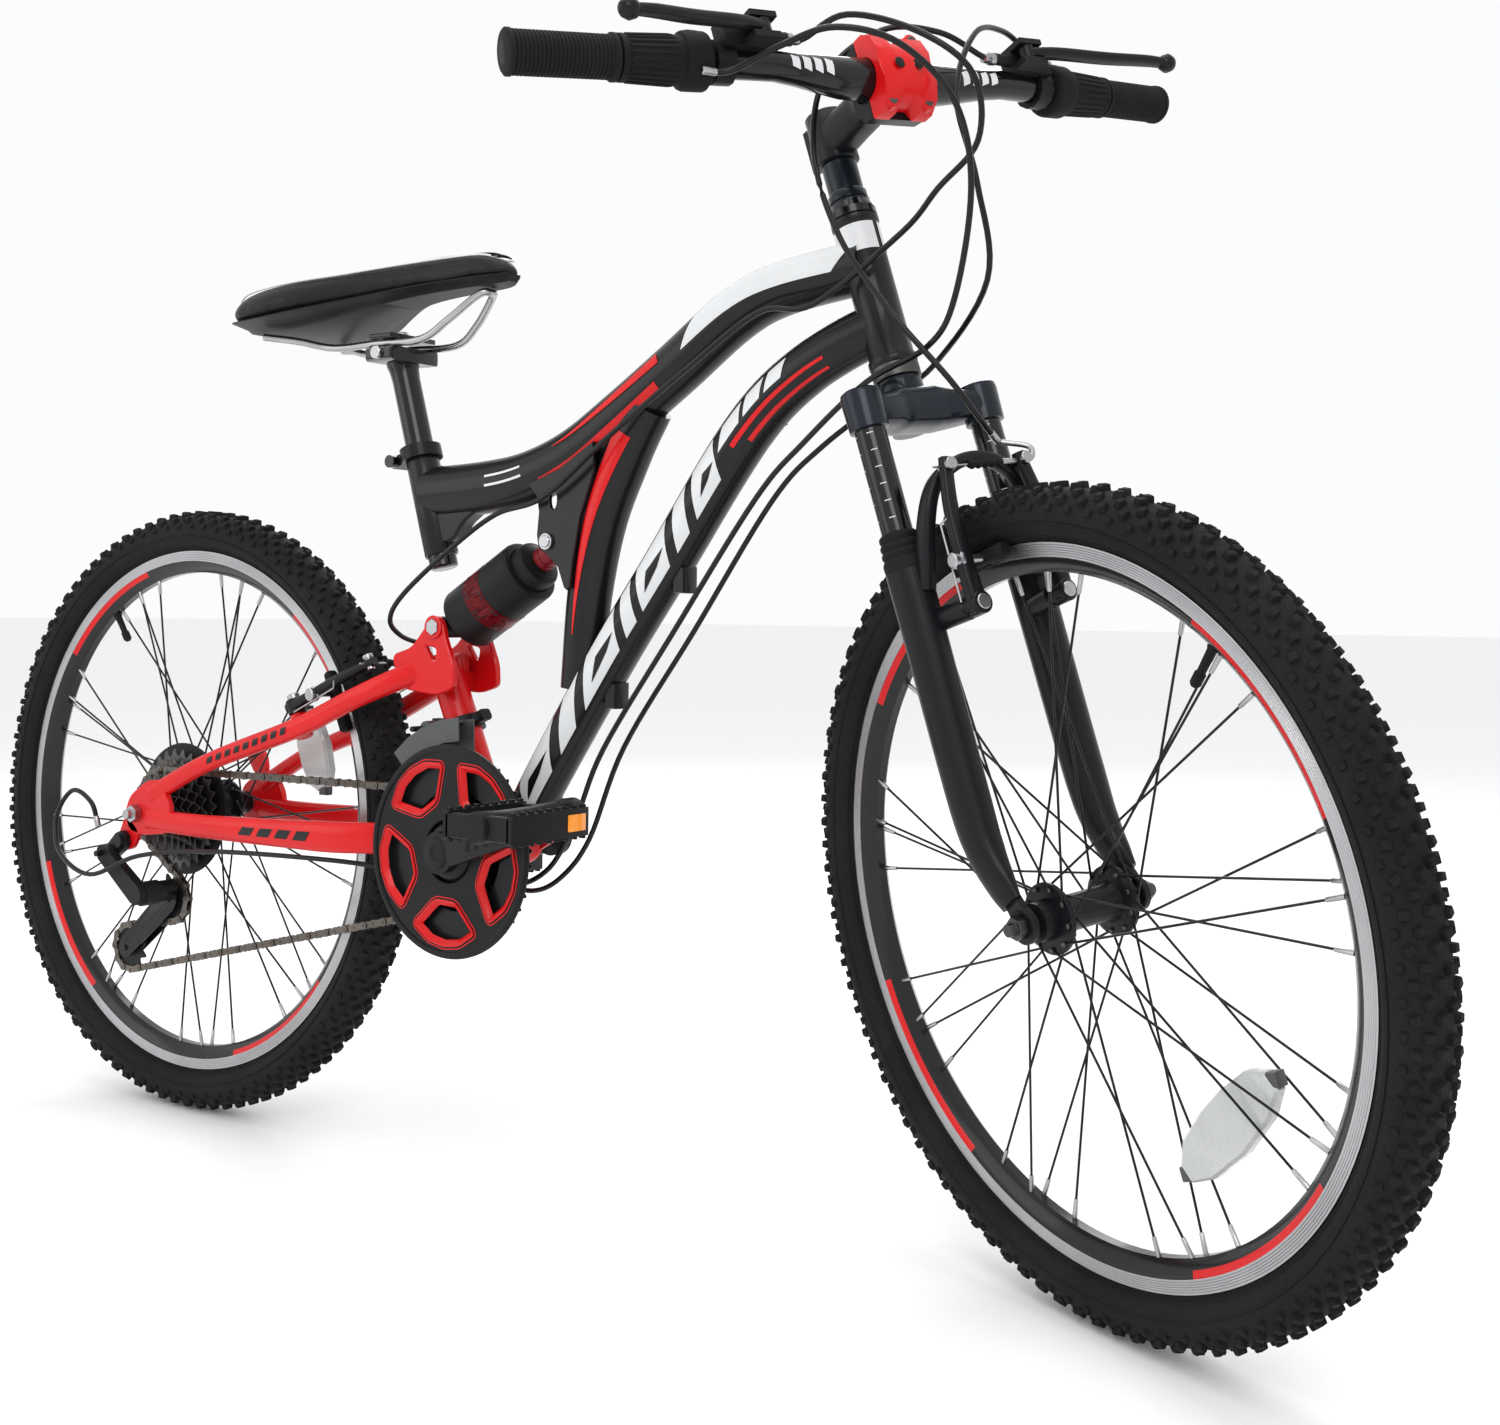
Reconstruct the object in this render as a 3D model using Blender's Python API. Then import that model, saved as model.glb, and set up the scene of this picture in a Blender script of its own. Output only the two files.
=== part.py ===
"""Full-suspension 24-inch mountain bike, built as separate named pieces.

World frame: the rear tyre touches the ground at the origin, +X points
forwards, +Y to the rider's left and +Z up.  The handlebar, fork and front
wheel stand turned to the right, as the bike is displayed.
"""
from math import acos, asin, atan2, ceil, cos, degrees, hypot, pi, radians, sin, sqrt

import bmesh
import bpy
from mathutils import Matrix, Vector

# ---------------------------------------------------------------- sizes (m)
GAP = 0.0003                # clearance between pieces that touch
RUNNING = 0.0002            # radial clearance of a shaft in its bore

WHEELBASE = 0.990
TYRE_R = 0.301              # over the tread, 24 x 1.95
TYRE_W = 0.048
RIM_R = 0.260               # edge of the rim
RIM_W = 0.0238
RIM_DEPTH = 0.0215
TRACK_H = 0.010             # height of the braking surface
WHEEL_SEGMENTS = 32
SPOKES = 36
SPOKE_R = 0.0010
AXLE_R = 0.0047
FLANGE_R = 0.0215
FLANGE_T = 0.0040
FRONT_DROPOUT = 0.0500      # half the width between the fork ends
REAR_DROPOUT = 0.0640       # half the width between the rear ends

HEAD_ANGLE = radians(72)
SEAT_ANGLE = radians(73)
FORK_OFFSET = 0.0425        # front axle ahead of the steering axis
STEER_REST = radians(-24)

BB = Vector((0.416, 0, 0.2975))
BB_SHELL_R = 0.0205
BB_HALF = 0.034
PIVOT = Vector((0.462, 0, 0.322))
PIVOT_HALF = 0.0300
SHOCK_LOW = Vector((0.361, 0, 0.489))
SHOCK_TOP = Vector((0.487, 0, 0.564))
SHOCK_BOLT_R = 0.0040

HEAD_TUBE_R = 0.0175
HEAD_TUBE_FROM = 0.428      # along the steering axis, from beside the axle
HEAD_TUBE_TO = 0.551
STEERER_R = 0.0143
QUILL_R = 0.0127
SEAT_TUBE_R = 0.0150
SEATPOST_R = 0.0127
SEAT_TUBE_FOOT = Vector((0.3385, 0, 0.5540))
SEAT_TUBE_LENGTH = 0.1050
SEATPOST_TOP = 0.192        # head of the post above the seat tube's foot

STANCHION_Y = 0.055
STANCHION_T = 0.0215        # stanchions ahead of the steering axis
STANCHION_R = 0.0118
LEG_TOP = 0.262
CROWN_Z = 0.386
CROWN_H = 0.031
BRAKE_BOSS_UP = 0.2215      # brake pivots above the axle, along the legs
BRAKE_BOSS_Y = 0.0400

BAR_HALF = 0.300
BAR_END_R = 0.0111
BAR_T = 0.0838              # bar centre ahead of the steering axis
BAR_Z = 0.6220
BAR_RISE = 0.0106            # ends of the bar above its middle
BAR_SWEEP = 0.0171           # ends of the bar behind its middle
GRIP_R = 0.0150
GRIP_FROM = 0.2235

CRANK = 0.160
CRANK_ANGLE = radians(16)
CHAIN_Y = -0.0390
CHAIN_PITCH = 0.0127
RING_STEP = 0.0075
COG_STEP = 0.0050
RING_TEETH = (24, 34, 42)
COG_TEETH = (28, 24, 22, 20, 18, 16, 14)
PULLEY_TEETH = 11
CHAIN_COG = 3               # the chain stands on the fourth sprocket
GUARD_R = 0.0915
GUARD_Y = -0.0620
GUIDE_PULLEY = Vector((0.0165, CHAIN_Y, 0.2150))
TENSION_PULLEY = Vector((-0.0500, CHAIN_Y, 0.1600))
HANGER = Vector((-0.0176, 0, 0.2732))

X, Y, Z = Vector((1, 0, 0)), Vector((0, 1, 0)), Vector((0, 0, 1))

# ------------------------------------------------------------------ finishes
FINISHES = {
    "black_paint": ((0.012, 0.012, 0.013), 0.42, 0.0),
    "red_paint": ((0.78, 0.012, 0.014), 0.32, 0.0),
    "black_satin": ((0.014, 0.016, 0.020), 0.48, 0.2),
    "black_gloss": ((0.010, 0.010, 0.011), 0.20, 0.1),
    "black_plastic": ((0.016, 0.016, 0.017), 0.60, 0.0),
    "rubber": ((0.020, 0.020, 0.020), 0.85, 0.0),
    "steel": ((0.55, 0.55, 0.56), 0.30, 1.0),
    "dark_steel": ((0.08, 0.08, 0.085), 0.40, 0.8),
    "chrome_black": ((0.03, 0.03, 0.033), 0.12, 0.9),
    "saddle_skin": ((0.018, 0.018, 0.018), 0.62, 0.0),
}


# ------------------------------------------------------------ scene helpers
def clear_scene():
    for obj in list(bpy.data.objects):
        bpy.data.objects.remove(obj, do_unlink=True)


def link(obj):
    bpy.context.scene.collection.objects.link(obj)
    return obj


def solid(bm, name="solid"):
    """Turn a closed bmesh into an object with its faces pointing out."""
    bmesh.ops.recalc_face_normals(bm, faces=bm.faces)
    mesh = bpy.data.meshes.new(name)
    bm.to_mesh(mesh)
    bm.free()
    return link(bpy.data.objects.new(name, mesh))


def boolean(target, operand, operation):
    """Combine two solids and drop the operand."""
    modifier = target.modifiers.new("boolean", "BOOLEAN")
    modifier.operation = operation
    modifier.object = operand
    modifier.solver = "EXACT"
    graph = bpy.context.evaluated_depsgraph_get()
    result = bpy.data.meshes.new_from_object(target.evaluated_get(graph))
    target.modifiers.clear()
    target.data = result
    bpy.data.objects.remove(operand, do_unlink=True)
    return target


def union(first, *others):
    for other in others:
        boolean(first, other, "UNION")
    return first


def cut(target, *cutters):
    for cutter in cutters:
        boolean(target, cutter, "DIFFERENCE")
    return target


def joined(objects):
    """One object that holds several solids which don't touch."""
    bm = bmesh.new()
    for obj in objects:
        bm.from_mesh(obj.data)
        bpy.data.objects.remove(obj, do_unlink=True)
    return solid(bm)


# ----------------------------------------------------------- shape builders
def ring_faces(bm, rings, closed):
    """Skin between neighbouring rings of vertices."""
    count = len(rings)
    for index in range(count if closed else count - 1):
        here, there = rings[index], rings[(index + 1) % count]
        for k in range(len(here)):
            n = (k + 1) % len(here)
            bm.faces.new((here[k], here[n], there[n], there[k]))
    if not closed:
        bm.faces.new(rings[0])
        bm.faces.new(rings[-1])


def frame_across(tangent, across):
    """Two unit vectors square to a tangent, the first nearest to across."""
    first = (across - tangent * across.dot(tangent)).normalized()
    return first, tangent.cross(first)


def turned(profile, centre, axis, segments=20, bore=None, flat_side=None):
    """A turned solid.  The profile is (distance along axis, radius) pairs.

    With a bore the profile is closed by the bore's wall.  flat_side turns
    the facets so that the middle of one lies that way, at the full radius.
    """
    points = list(profile)
    if bore is not None:
        points += [(points[-1][0], bore), (points[0][0], bore)]
    first, second = frame_across(axis.normalized(), flat_side or (Z if abs(axis.z) < 0.9 else X))
    start, grow = (pi / segments, 1 / cos(pi / segments)) if flat_side else (0, 1)
    bm = bmesh.new()
    rings = []
    for along, radius in points:
        ring = []
        for k in range(segments):
            angle = start + 2 * pi * k / segments
            spread = first * cos(angle) + second * sin(angle)
            ring.append(bm.verts.new(centre + axis * along + spread * radius * grow))
        rings.append(ring)
    ring_faces(bm, rings, bore is not None)
    return solid(bm)


def rod(start, end, radius, segments=12, bore=None):
    """A plain cylinder between two points, or a sleeve when it has a bore."""
    run = Vector(end) - Vector(start)
    return turned([(0, radius), (run.length, radius)], Vector(start), run.normalized(), segments, bore)


def circle_section(sides):
    return [(cos(2 * pi * k / sides), sin(2 * pi * k / sides)) for k in range(sides)]


def block_section(corner=0.3):
    """A square with cut corners, as eight points around the unit square."""
    e = 1 - corner
    return [(1, -e), (1, e), (e, 1), (-e, 1), (-1, e), (-1, -e), (-e, -1), (e, -1)]


def sweep(points, sizes, section, across=Y):
    """A solid swept through points; sizes are half widths (across, other)."""
    points = [Vector(p) for p in points]
    if not isinstance(sizes, list):
        sizes = [sizes] * len(points)
    bm = bmesh.new()
    rings = []
    for index, point in enumerate(points):
        before = points[max(index - 1, 0)]
        after = points[min(index + 1, len(points) - 1)]
        first, second = frame_across((after - before).normalized(), across)
        wide, tall = sizes[index]
        rings.append([bm.verts.new(point + first * u * wide + second * v * tall) for u, v in section])
    ring_faces(bm, rings, False)
    return solid(bm)


def smooth_path(points, steps):
    """Points on a Catmull-Rom curve through the given points."""
    points = [Vector(p) for p in points]
    ends = [points[0] * 2 - points[1]] + points + [points[-1] * 2 - points[-2]]
    path = []
    for i in range(1, len(ends) - 2):
        a, b, c, d = ends[i - 1:i + 3]
        for k in range(steps):
            t = k / steps
            path.append(0.5 * (2 * b + (c - a) * t + (2 * a - 5 * b + 4 * c - d) * t ** 2
                               + (3 * b - a - 3 * c + d) * t ** 3))
    return path + [points[-1]]


def blend_sizes(stops, count):
    """Spread a list of (half width, half height) stops over count points."""
    spread = []
    for i in range(count):
        place = i * (len(stops) - 1) / (count - 1)
        low = min(int(place), len(stops) - 2)
        share = place - low
        spread.append(tuple(a + (b - a) * share for a, b in zip(stops[low], stops[low + 1])))
    return spread


def plate(outline, y_from, y_to):
    """A flat plate of an (x, z) outline between two y values."""
    bm = bmesh.new()
    rings = [[bm.verts.new((x, y, z)) for x, z in outline] for y in (y_from, y_to)]
    ring_faces(bm, rings, False)
    return solid(bm)


def box(low, high):
    corners = [(low[0], low[2]), (high[0], low[2]), (high[0], high[2]), (low[0], high[2])]
    return plate(corners, low[1], high[1])


# --------------------------------------------------- placing pieces on axes
EMPTY_WORLD = {}


def joint_axis(name, parent, world):
    """An empty on a joint's axis, which carries that joint's pieces."""
    empty = link(bpy.data.objects.new(name, None))
    empty.empty_display_size = 0.03
    if parent:
        empty.parent = bpy.data.objects[parent]
        empty.matrix_parent_inverse = EMPTY_WORLD[parent].inverted()
    empty.matrix_basis = world
    EMPTY_WORLD[name] = world
    return name


def place(name, obj, finish, carrier=None, frame=None):
    """Name a finished solid, give it its material and hang it on its axis."""
    obj.name = name
    obj.data.name = name
    material = bpy.data.materials.new(name)
    material.use_nodes = True
    shader = material.node_tree.nodes["Principled BSDF"]
    color, roughness, metallic = FINISHES[finish]
    shader.inputs["Base Color"].default_value = (*color, 1)
    shader.inputs["Roughness"].default_value = roughness
    shader.inputs["Metallic"].default_value = metallic
    material.diffuse_color = (*color, 1)
    obj.data.materials.clear()
    obj.data.materials.append(material)
    obj.data.shade_smooth()
    obj.data.set_sharp_from_angle(angle=radians(35))
    frame = frame or Matrix.Identity(4)
    if carrier:
        obj.parent = bpy.data.objects[carrier]
        obj.matrix_parent_inverse = EMPTY_WORLD[carrier].inverted() @ frame
    else:
        obj.matrix_world = frame
    return obj


# ------------------------------------------------------------ frame geometry
REAR_AXLE = Vector((0, 0, TYRE_R))
FRONT_AXLE = Vector((WHEELBASE, 0, TYRE_R))
FORK_FORWARD = Vector((sin(HEAD_ANGLE), 0, cos(HEAD_ANGLE)))
FORK_UP = Vector((-cos(HEAD_ANGLE), 0, sin(HEAD_ANGLE)))
STEER_POINT = FRONT_AXLE - FORK_FORWARD * FORK_OFFSET
SEAT_UP = Vector((-cos(SEAT_ANGLE), 0, sin(SEAT_ANGLE)))

# Steered pieces are modelled in their own frame: x forwards and square to the
# steering axis, y to the left, z up the steering axis, turned by STEER_REST.
STEER_STRAIGHT = Matrix.Translation(STEER_POINT) @ Matrix.Rotation(HEAD_ANGLE - pi / 2, 4, "Y")
STEER = STEER_STRAIGHT @ Matrix.Rotation(STEER_REST, 4, "Z")
AXLE_LOCAL = Vector((FORK_OFFSET, 0, 0))


def on_head(along, ahead=0.0):
    """A point of the frame given along and ahead of the steering axis."""
    return STEER_POINT + FORK_UP * along + FORK_FORWARD * ahead


def on_seat(along, y=0.0):
    """A point on the seat tube's axis, measured up from its foot."""
    return SEAT_TUBE_FOOT + SEAT_UP * along + Y * y


def pitch_radius(teeth):
    return CHAIN_PITCH / (2 * sin(pi / teeth))


def bore_for(radius, segments=16, gap=RUNNING):
    """Bore radius that a many-sided shaft can turn in without touching."""
    return (radius + gap) / cos(pi / segments)


def cut_bore(target, start, end, radius, segments=16):
    return cut(target, rod(start, end, radius, segments))


def sleeve(centre, axis, half, outer, bore, segments=20):
    return turned([(-half, outer), (half, outer)], centre, axis, segments, bore)


def mirrored(side, point):
    return Vector((point[0], point[1] * side, point[2]))


def loop_section(profile, centre, axis, segments, flat_side=None):
    """A ring turned from a closed profile of (along, radius) points."""
    first, second = frame_across(axis, flat_side or Z)
    start, grow = (pi / segments, 1 / cos(pi / segments)) if flat_side else (0, 1)
    bm = bmesh.new()
    rings = []
    for along, radius in profile:
        angles = [start + 2 * pi * k / segments for k in range(segments)]
        rings.append([bm.verts.new(centre + axis * along + (first * cos(a) + second * sin(a)) * radius * grow)
                      for a in angles])
    ring_faces(bm, rings, True)
    return solid(bm)


# ------------------------------------------------------------------ main frame
PIVOT_SHELL_R = 0.017
PIVOT_BOLT_R = 0.006
SHOCK_PLATE_Y = 0.0185      # inner face of the plates that hold the shock
SHOCK_PLATE_T = 0.0045
TOP_TUBE = [(0.322, 0.611), (0.396, 0.6150), (0.447, 0.6225), (0.497, 0.6400), (0.545, 0.6675),
            (0.608, 0.7080), (0.668, 0.7480), (0.716, 0.7655), (0.794, 0.7760)]
TOP_TUBE_SIZES = [(0.017, 0.024), (0.019, 0.0235), (0.020, 0.0235), (0.021, 0.0225), (0.0215, 0.0215)]
DOWN_TUBE = [(0.804, 0.727), (0.770, 0.7145), (0.735, 0.6970), (0.699, 0.6705), (0.662, 0.6290),
             (0.600, 0.5440), (0.541, 0.4640), (0.462, 0.3470), (0.455, 0.327)]
DOWN_TUBE_SIZES = [(0.0170, 0.0205), (0.0190, 0.0210), (0.0200, 0.0215), (0.0200, 0.0210), (0.0190, 0.0195)]
DRAWN_WHEELBASE = 0.990     # wheelbase that the two long tubes' points are given for
STRETCH_FROM = 0.600        # the long tubes reach further forwards from here


def to_head(points):
    """Tube points, with those near the head tube moved with the wheelbase."""
    front = max(x for x, z in points)
    reach = WHEELBASE - DRAWN_WHEELBASE
    return [(x + reach * max(0, x - STRETCH_FROM) / (front - STRETCH_FROM), z) for x, z in points]


STRUT = [(0.585, 0.684), (0.5565, 0.6400), (0.5310, 0.5850), (0.5160, 0.5200), (0.5080, 0.4380)]


def in_plane(points, y=0.0):
    return [Vector((x, y, z)) for x, z in points]


def main_frame():
    head = rod(on_head(HEAD_TUBE_FROM), on_head(HEAD_TUBE_TO), HEAD_TUBE_R, 18)
    top = sweep(in_plane(to_head(TOP_TUBE)), blend_sizes(TOP_TUBE_SIZES, len(TOP_TUBE)), circle_section(12))
    down = sweep(in_plane(to_head(DOWN_TUBE)), blend_sizes(DOWN_TUBE_SIZES, len(DOWN_TUBE)), circle_section(12))
    strut = sweep(in_plane(STRUT), blend_sizes([(0.0205, 0.026), (0.0200, 0.021), (0.0165, 0.019)], len(STRUT)),
                  circle_section(12))
    seat = rod(on_seat(0), on_seat(SEAT_TUBE_LENGTH), SEAT_TUBE_R, 16)
    web = plate([(0.334, 0.560), (0.3606, 0.5675), (0.372, 0.5830), (0.3900, 0.5945), (0.4440, 0.6000),
                 (0.470, 0.6120), (0.447, 0.6300), (0.324, 0.6200)], -0.0085, 0.0085)
    plates = []
    for side in (-1, 1):
        outline = [(0.4640, 0.6400), (0.4760, 0.5900), (0.4745, 0.5700), (0.4760, 0.5590), (0.4870, 0.5525),
                   (0.4990, 0.5420), (0.5060, 0.5250), (0.5120, 0.5230), (0.5240, 0.5500), (0.5500, 0.6150),
                   (0.5560, 0.6800)]
        cheek = plate(outline, side * SHOCK_PLATE_Y, side * (SHOCK_PLATE_Y + SHOCK_PLATE_T))
        slot = plate([(0.4905, 0.5915), (0.4945, 0.5915), (0.4965, 0.6000), (0.4945, 0.6080), (0.4905, 0.6080),
                      (0.4885, 0.6000)], side * 0.01, side * 0.03)
        plates.append(cut(cheek, slot))
    pivot = sleeve(PIVOT, Y, PIVOT_HALF, PIVOT_SHELL_R, PIVOT_BOLT_R + GAP, 20)
    body = union(top, down, strut, seat, web, head, pivot, *plates)
    for clip_x, clip_z in ((0.6185, 0.5205), (0.5475, 0.4225)):
        body = union(body, box((clip_x - 0.006, -0.010, clip_z), (clip_x + 0.006, 0.010, clip_z + 0.022)))
    cut_bore(body, on_head(0.40), on_head(0.58), bore_for(STEERER_R, 18, 0.0006), 18)
    cut_bore(body, on_seat(-0.02), on_seat(0.14), bore_for(SEATPOST_R, 16), 16)
    cut_bore(body, PIVOT - Y * 0.04, PIVOT + Y * 0.04, PIVOT_BOLT_R + GAP, 16)
    cut_bore(body, SHOCK_TOP - Y * 0.04, SHOCK_TOP + Y * 0.04, SHOCK_BOLT_R + GAP, 12)
    return body


clear_scene()
place("main_frame", main_frame(), "black_paint")
place("headset_lower", sleeve(on_head(0.42225), FORK_UP, 0.00545, 0.0190, bore_for(STEERER_R, 18, 0.0004), 18),
      "dark_steel")
place("headset_upper", turned([(0, 0.0190), (0.006, 0.0190), (0.013, 0.0165)], on_head(HEAD_TUBE_TO + GAP),
                              FORK_UP, 18, bore_for(STEERER_R, 18, 0.0004)), "dark_steel")
place("main_pivot_bolt", union(rod(PIVOT - Y * 0.0335, PIVOT + Y * 0.0338, PIVOT_BOLT_R, 16),
                               rod(PIVOT + Y * 0.0338, PIVOT + Y * 0.0380, 0.0095, 16)), "dark_steel")

# ---------------------------------------------------------------- seat clamp
CLAMP_UP = 0.0985           # collar above the foot of the seat tube
CLAMP_PIN_BACK = 0.0250
SEAT_BACK = Vector((-sin(SEAT_ANGLE), 0, -cos(SEAT_ANGLE)))


def seat_frame_box(back_from, back_to, half_y, low, high):
    """A block square to the seat tube, placed behind its axis."""
    outline = [on_seat(up) + SEAT_BACK * back for back, up in
               ((back_from, low), (back_to, low), (back_to, high), (back_from, high))]
    return plate([(p.x, p.z) for p in outline], -half_y, half_y)


def seat_clamp():
    body = union(rod(on_seat(CLAMP_UP - 0.006), on_seat(CLAMP_UP + 0.006), 0.0190, 20),
                 seat_frame_box(0.0165, 0.0300, 0.0095, CLAMP_UP - 0.0052, CLAMP_UP + 0.0052))
    cut_bore(body, on_seat(CLAMP_UP - 0.02), on_seat(CLAMP_UP + 0.02), SEAT_TUBE_R + GAP, 16)
    pin = on_seat(CLAMP_UP) + SEAT_BACK * CLAMP_PIN_BACK
    return cut_bore(body, pin - Y * 0.02, pin + Y * 0.02, bore_for(0.0025, 12), 12)


place("seat_clamp", seat_clamp(), "black_satin")
CLAMP_PIN = on_seat(CLAMP_UP) + SEAT_BACK * CLAMP_PIN_BACK
joint_axis("seat_lever_axis", None, Matrix.Translation(CLAMP_PIN))
place("seat_clamp_lever", union(
    rod(CLAMP_PIN - Y * 0.0130, CLAMP_PIN + Y * 0.0150, 0.0025, 12),
    rod(CLAMP_PIN - Y * 0.0170, CLAMP_PIN - Y * 0.0100, 0.0060, 12),
    rod(CLAMP_PIN + Y * 0.0100, CLAMP_PIN + Y * 0.0200, 0.0070, 12),
    sweep([CLAMP_PIN + Vector(p) for p in ((-0.002, 0.0165, 0.001), (0.012, 0.0235, -0.004), (0.032, 0.0265, -0.010),
                                           (0.052, 0.0255, -0.016))],
          [(0.0030, 0.0062), (0.0028, 0.0060), (0.0026, 0.0065), (0.0020, 0.0050)], block_section())),
    "steel", "seat_lever_axis")

# ------------------------------------------------------------ seat and saddle
RAIL_R = 0.0035
RAIL_Z = 0.7500
RAIL_Y = 0.022
# stations along the saddle: x, underside, top, half width
SADDLE = [(0.0995, 0.7800, 0.7905, 0.038), (0.112, 0.7765, 0.8010, 0.058), (0.1350, 0.7745, 0.8085, 0.071),
          (0.1700, 0.7755, 0.8125, 0.0745), (0.2050, 0.7800, 0.8160, 0.068), (0.2400, 0.7870, 0.8195, 0.052),
          (0.2750, 0.7935, 0.8235, 0.037), (0.3150, 0.7985, 0.8260, 0.0275), (0.3600, 0.8010, 0.8270, 0.0230),
          (0.3950, 0.8020, 0.8262, 0.0210), (0.4120, 0.8030, 0.8215, 0.0165), (0.4214, 0.8050, 0.8135, 0.0090)]
PAD_SECTION = [(-0.93, 0), (-1, 0.28), (-0.92, 0.62), (-0.70, 0.88), (-0.36, 1), (0, 0.97), (0.36, 1), (0.70, 0.88),
               (0.92, 0.62), (1, 0.28), (0.93, 0)]
SHELL_SECTION = [(-0.90, 0), (0.90, 0), (0.90, -0.45), (0.62, -1), (-0.62, -1), (-0.90, -0.45)]
SHELL_T = 0.0070


def loft_x(stations, section):
    """A solid through cross-sections along x: (x, base, height, half width)."""
    bm = bmesh.new()
    rings = [[bm.verts.new((x, u * half, base + v * height)) for u, v in section]
             for x, base, height, half in stations]
    ring_faces(bm, rings, False)
    return solid(bm)


def seatpost():
    post = rod(on_seat(-0.012), on_seat(SEATPOST_TOP), SEATPOST_R, 16)
    middle = on_seat(SEATPOST_TOP).x
    low = RAIL_Z - RAIL_R - GAP
    high = RAIL_Z + RAIL_R + GAP
    cradle = box((middle - 0.018, -0.030, low - 0.013), (middle + 0.018, 0.030, low))
    cap = box((middle - 0.015, -0.028, high), (middle + 0.015, 0.028, high + 0.0045))
    bolt = rod((middle, 0, low - 0.010), (middle, 0, high + 0.0085), 0.0055, 12)
    return union(post, cradle, cap, bolt)


def saddle_rails():
    half = [(0.1480, -0.048, 0.7615), (0.1800, -0.034, 0.7570), (0.2150, -RAIL_Y, RAIL_Z), (0.3300, -RAIL_Y, RAIL_Z),
            (0.3600, -0.018, 0.7660), (0.3880, -0.0085, 0.7880), (0.3945, 0, 0.7895)]
    path = half + [(x, -y, z) for x, y, z in reversed(half[:-1])]
    return sweep(path, (RAIL_R, RAIL_R), circle_section(8), Z)


joint_axis("seatpost_axis", None, Matrix.Translation(on_seat(0)))
place("seatpost", seatpost(), "chrome_black", "seatpost_axis")
place("saddle_rails", saddle_rails(), "steel", "seatpost_axis")
place("saddle_shell", loft_x([(x, low - GAP, SHELL_T, half) for x, low, top, half in SADDLE], SHELL_SECTION),
      "black_plastic", "seatpost_axis")
place("saddle_pad", loft_x([(x, low, top - low, half) for x, low, top, half in SADDLE], PAD_SECTION),
      "saddle_skin", "seatpost_axis")

# ------------------------------------------------------------------- swingarm
EAR_Y = 0.0240              # inner faces of the ears at the shock
EAR_T = 0.0060
YOKE = Vector((0.3455, 0, 0.4520))
DROPOUT_T = 0.0060
joint_axis("swing_axis", None, Matrix.Translation(PIVOT))


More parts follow.
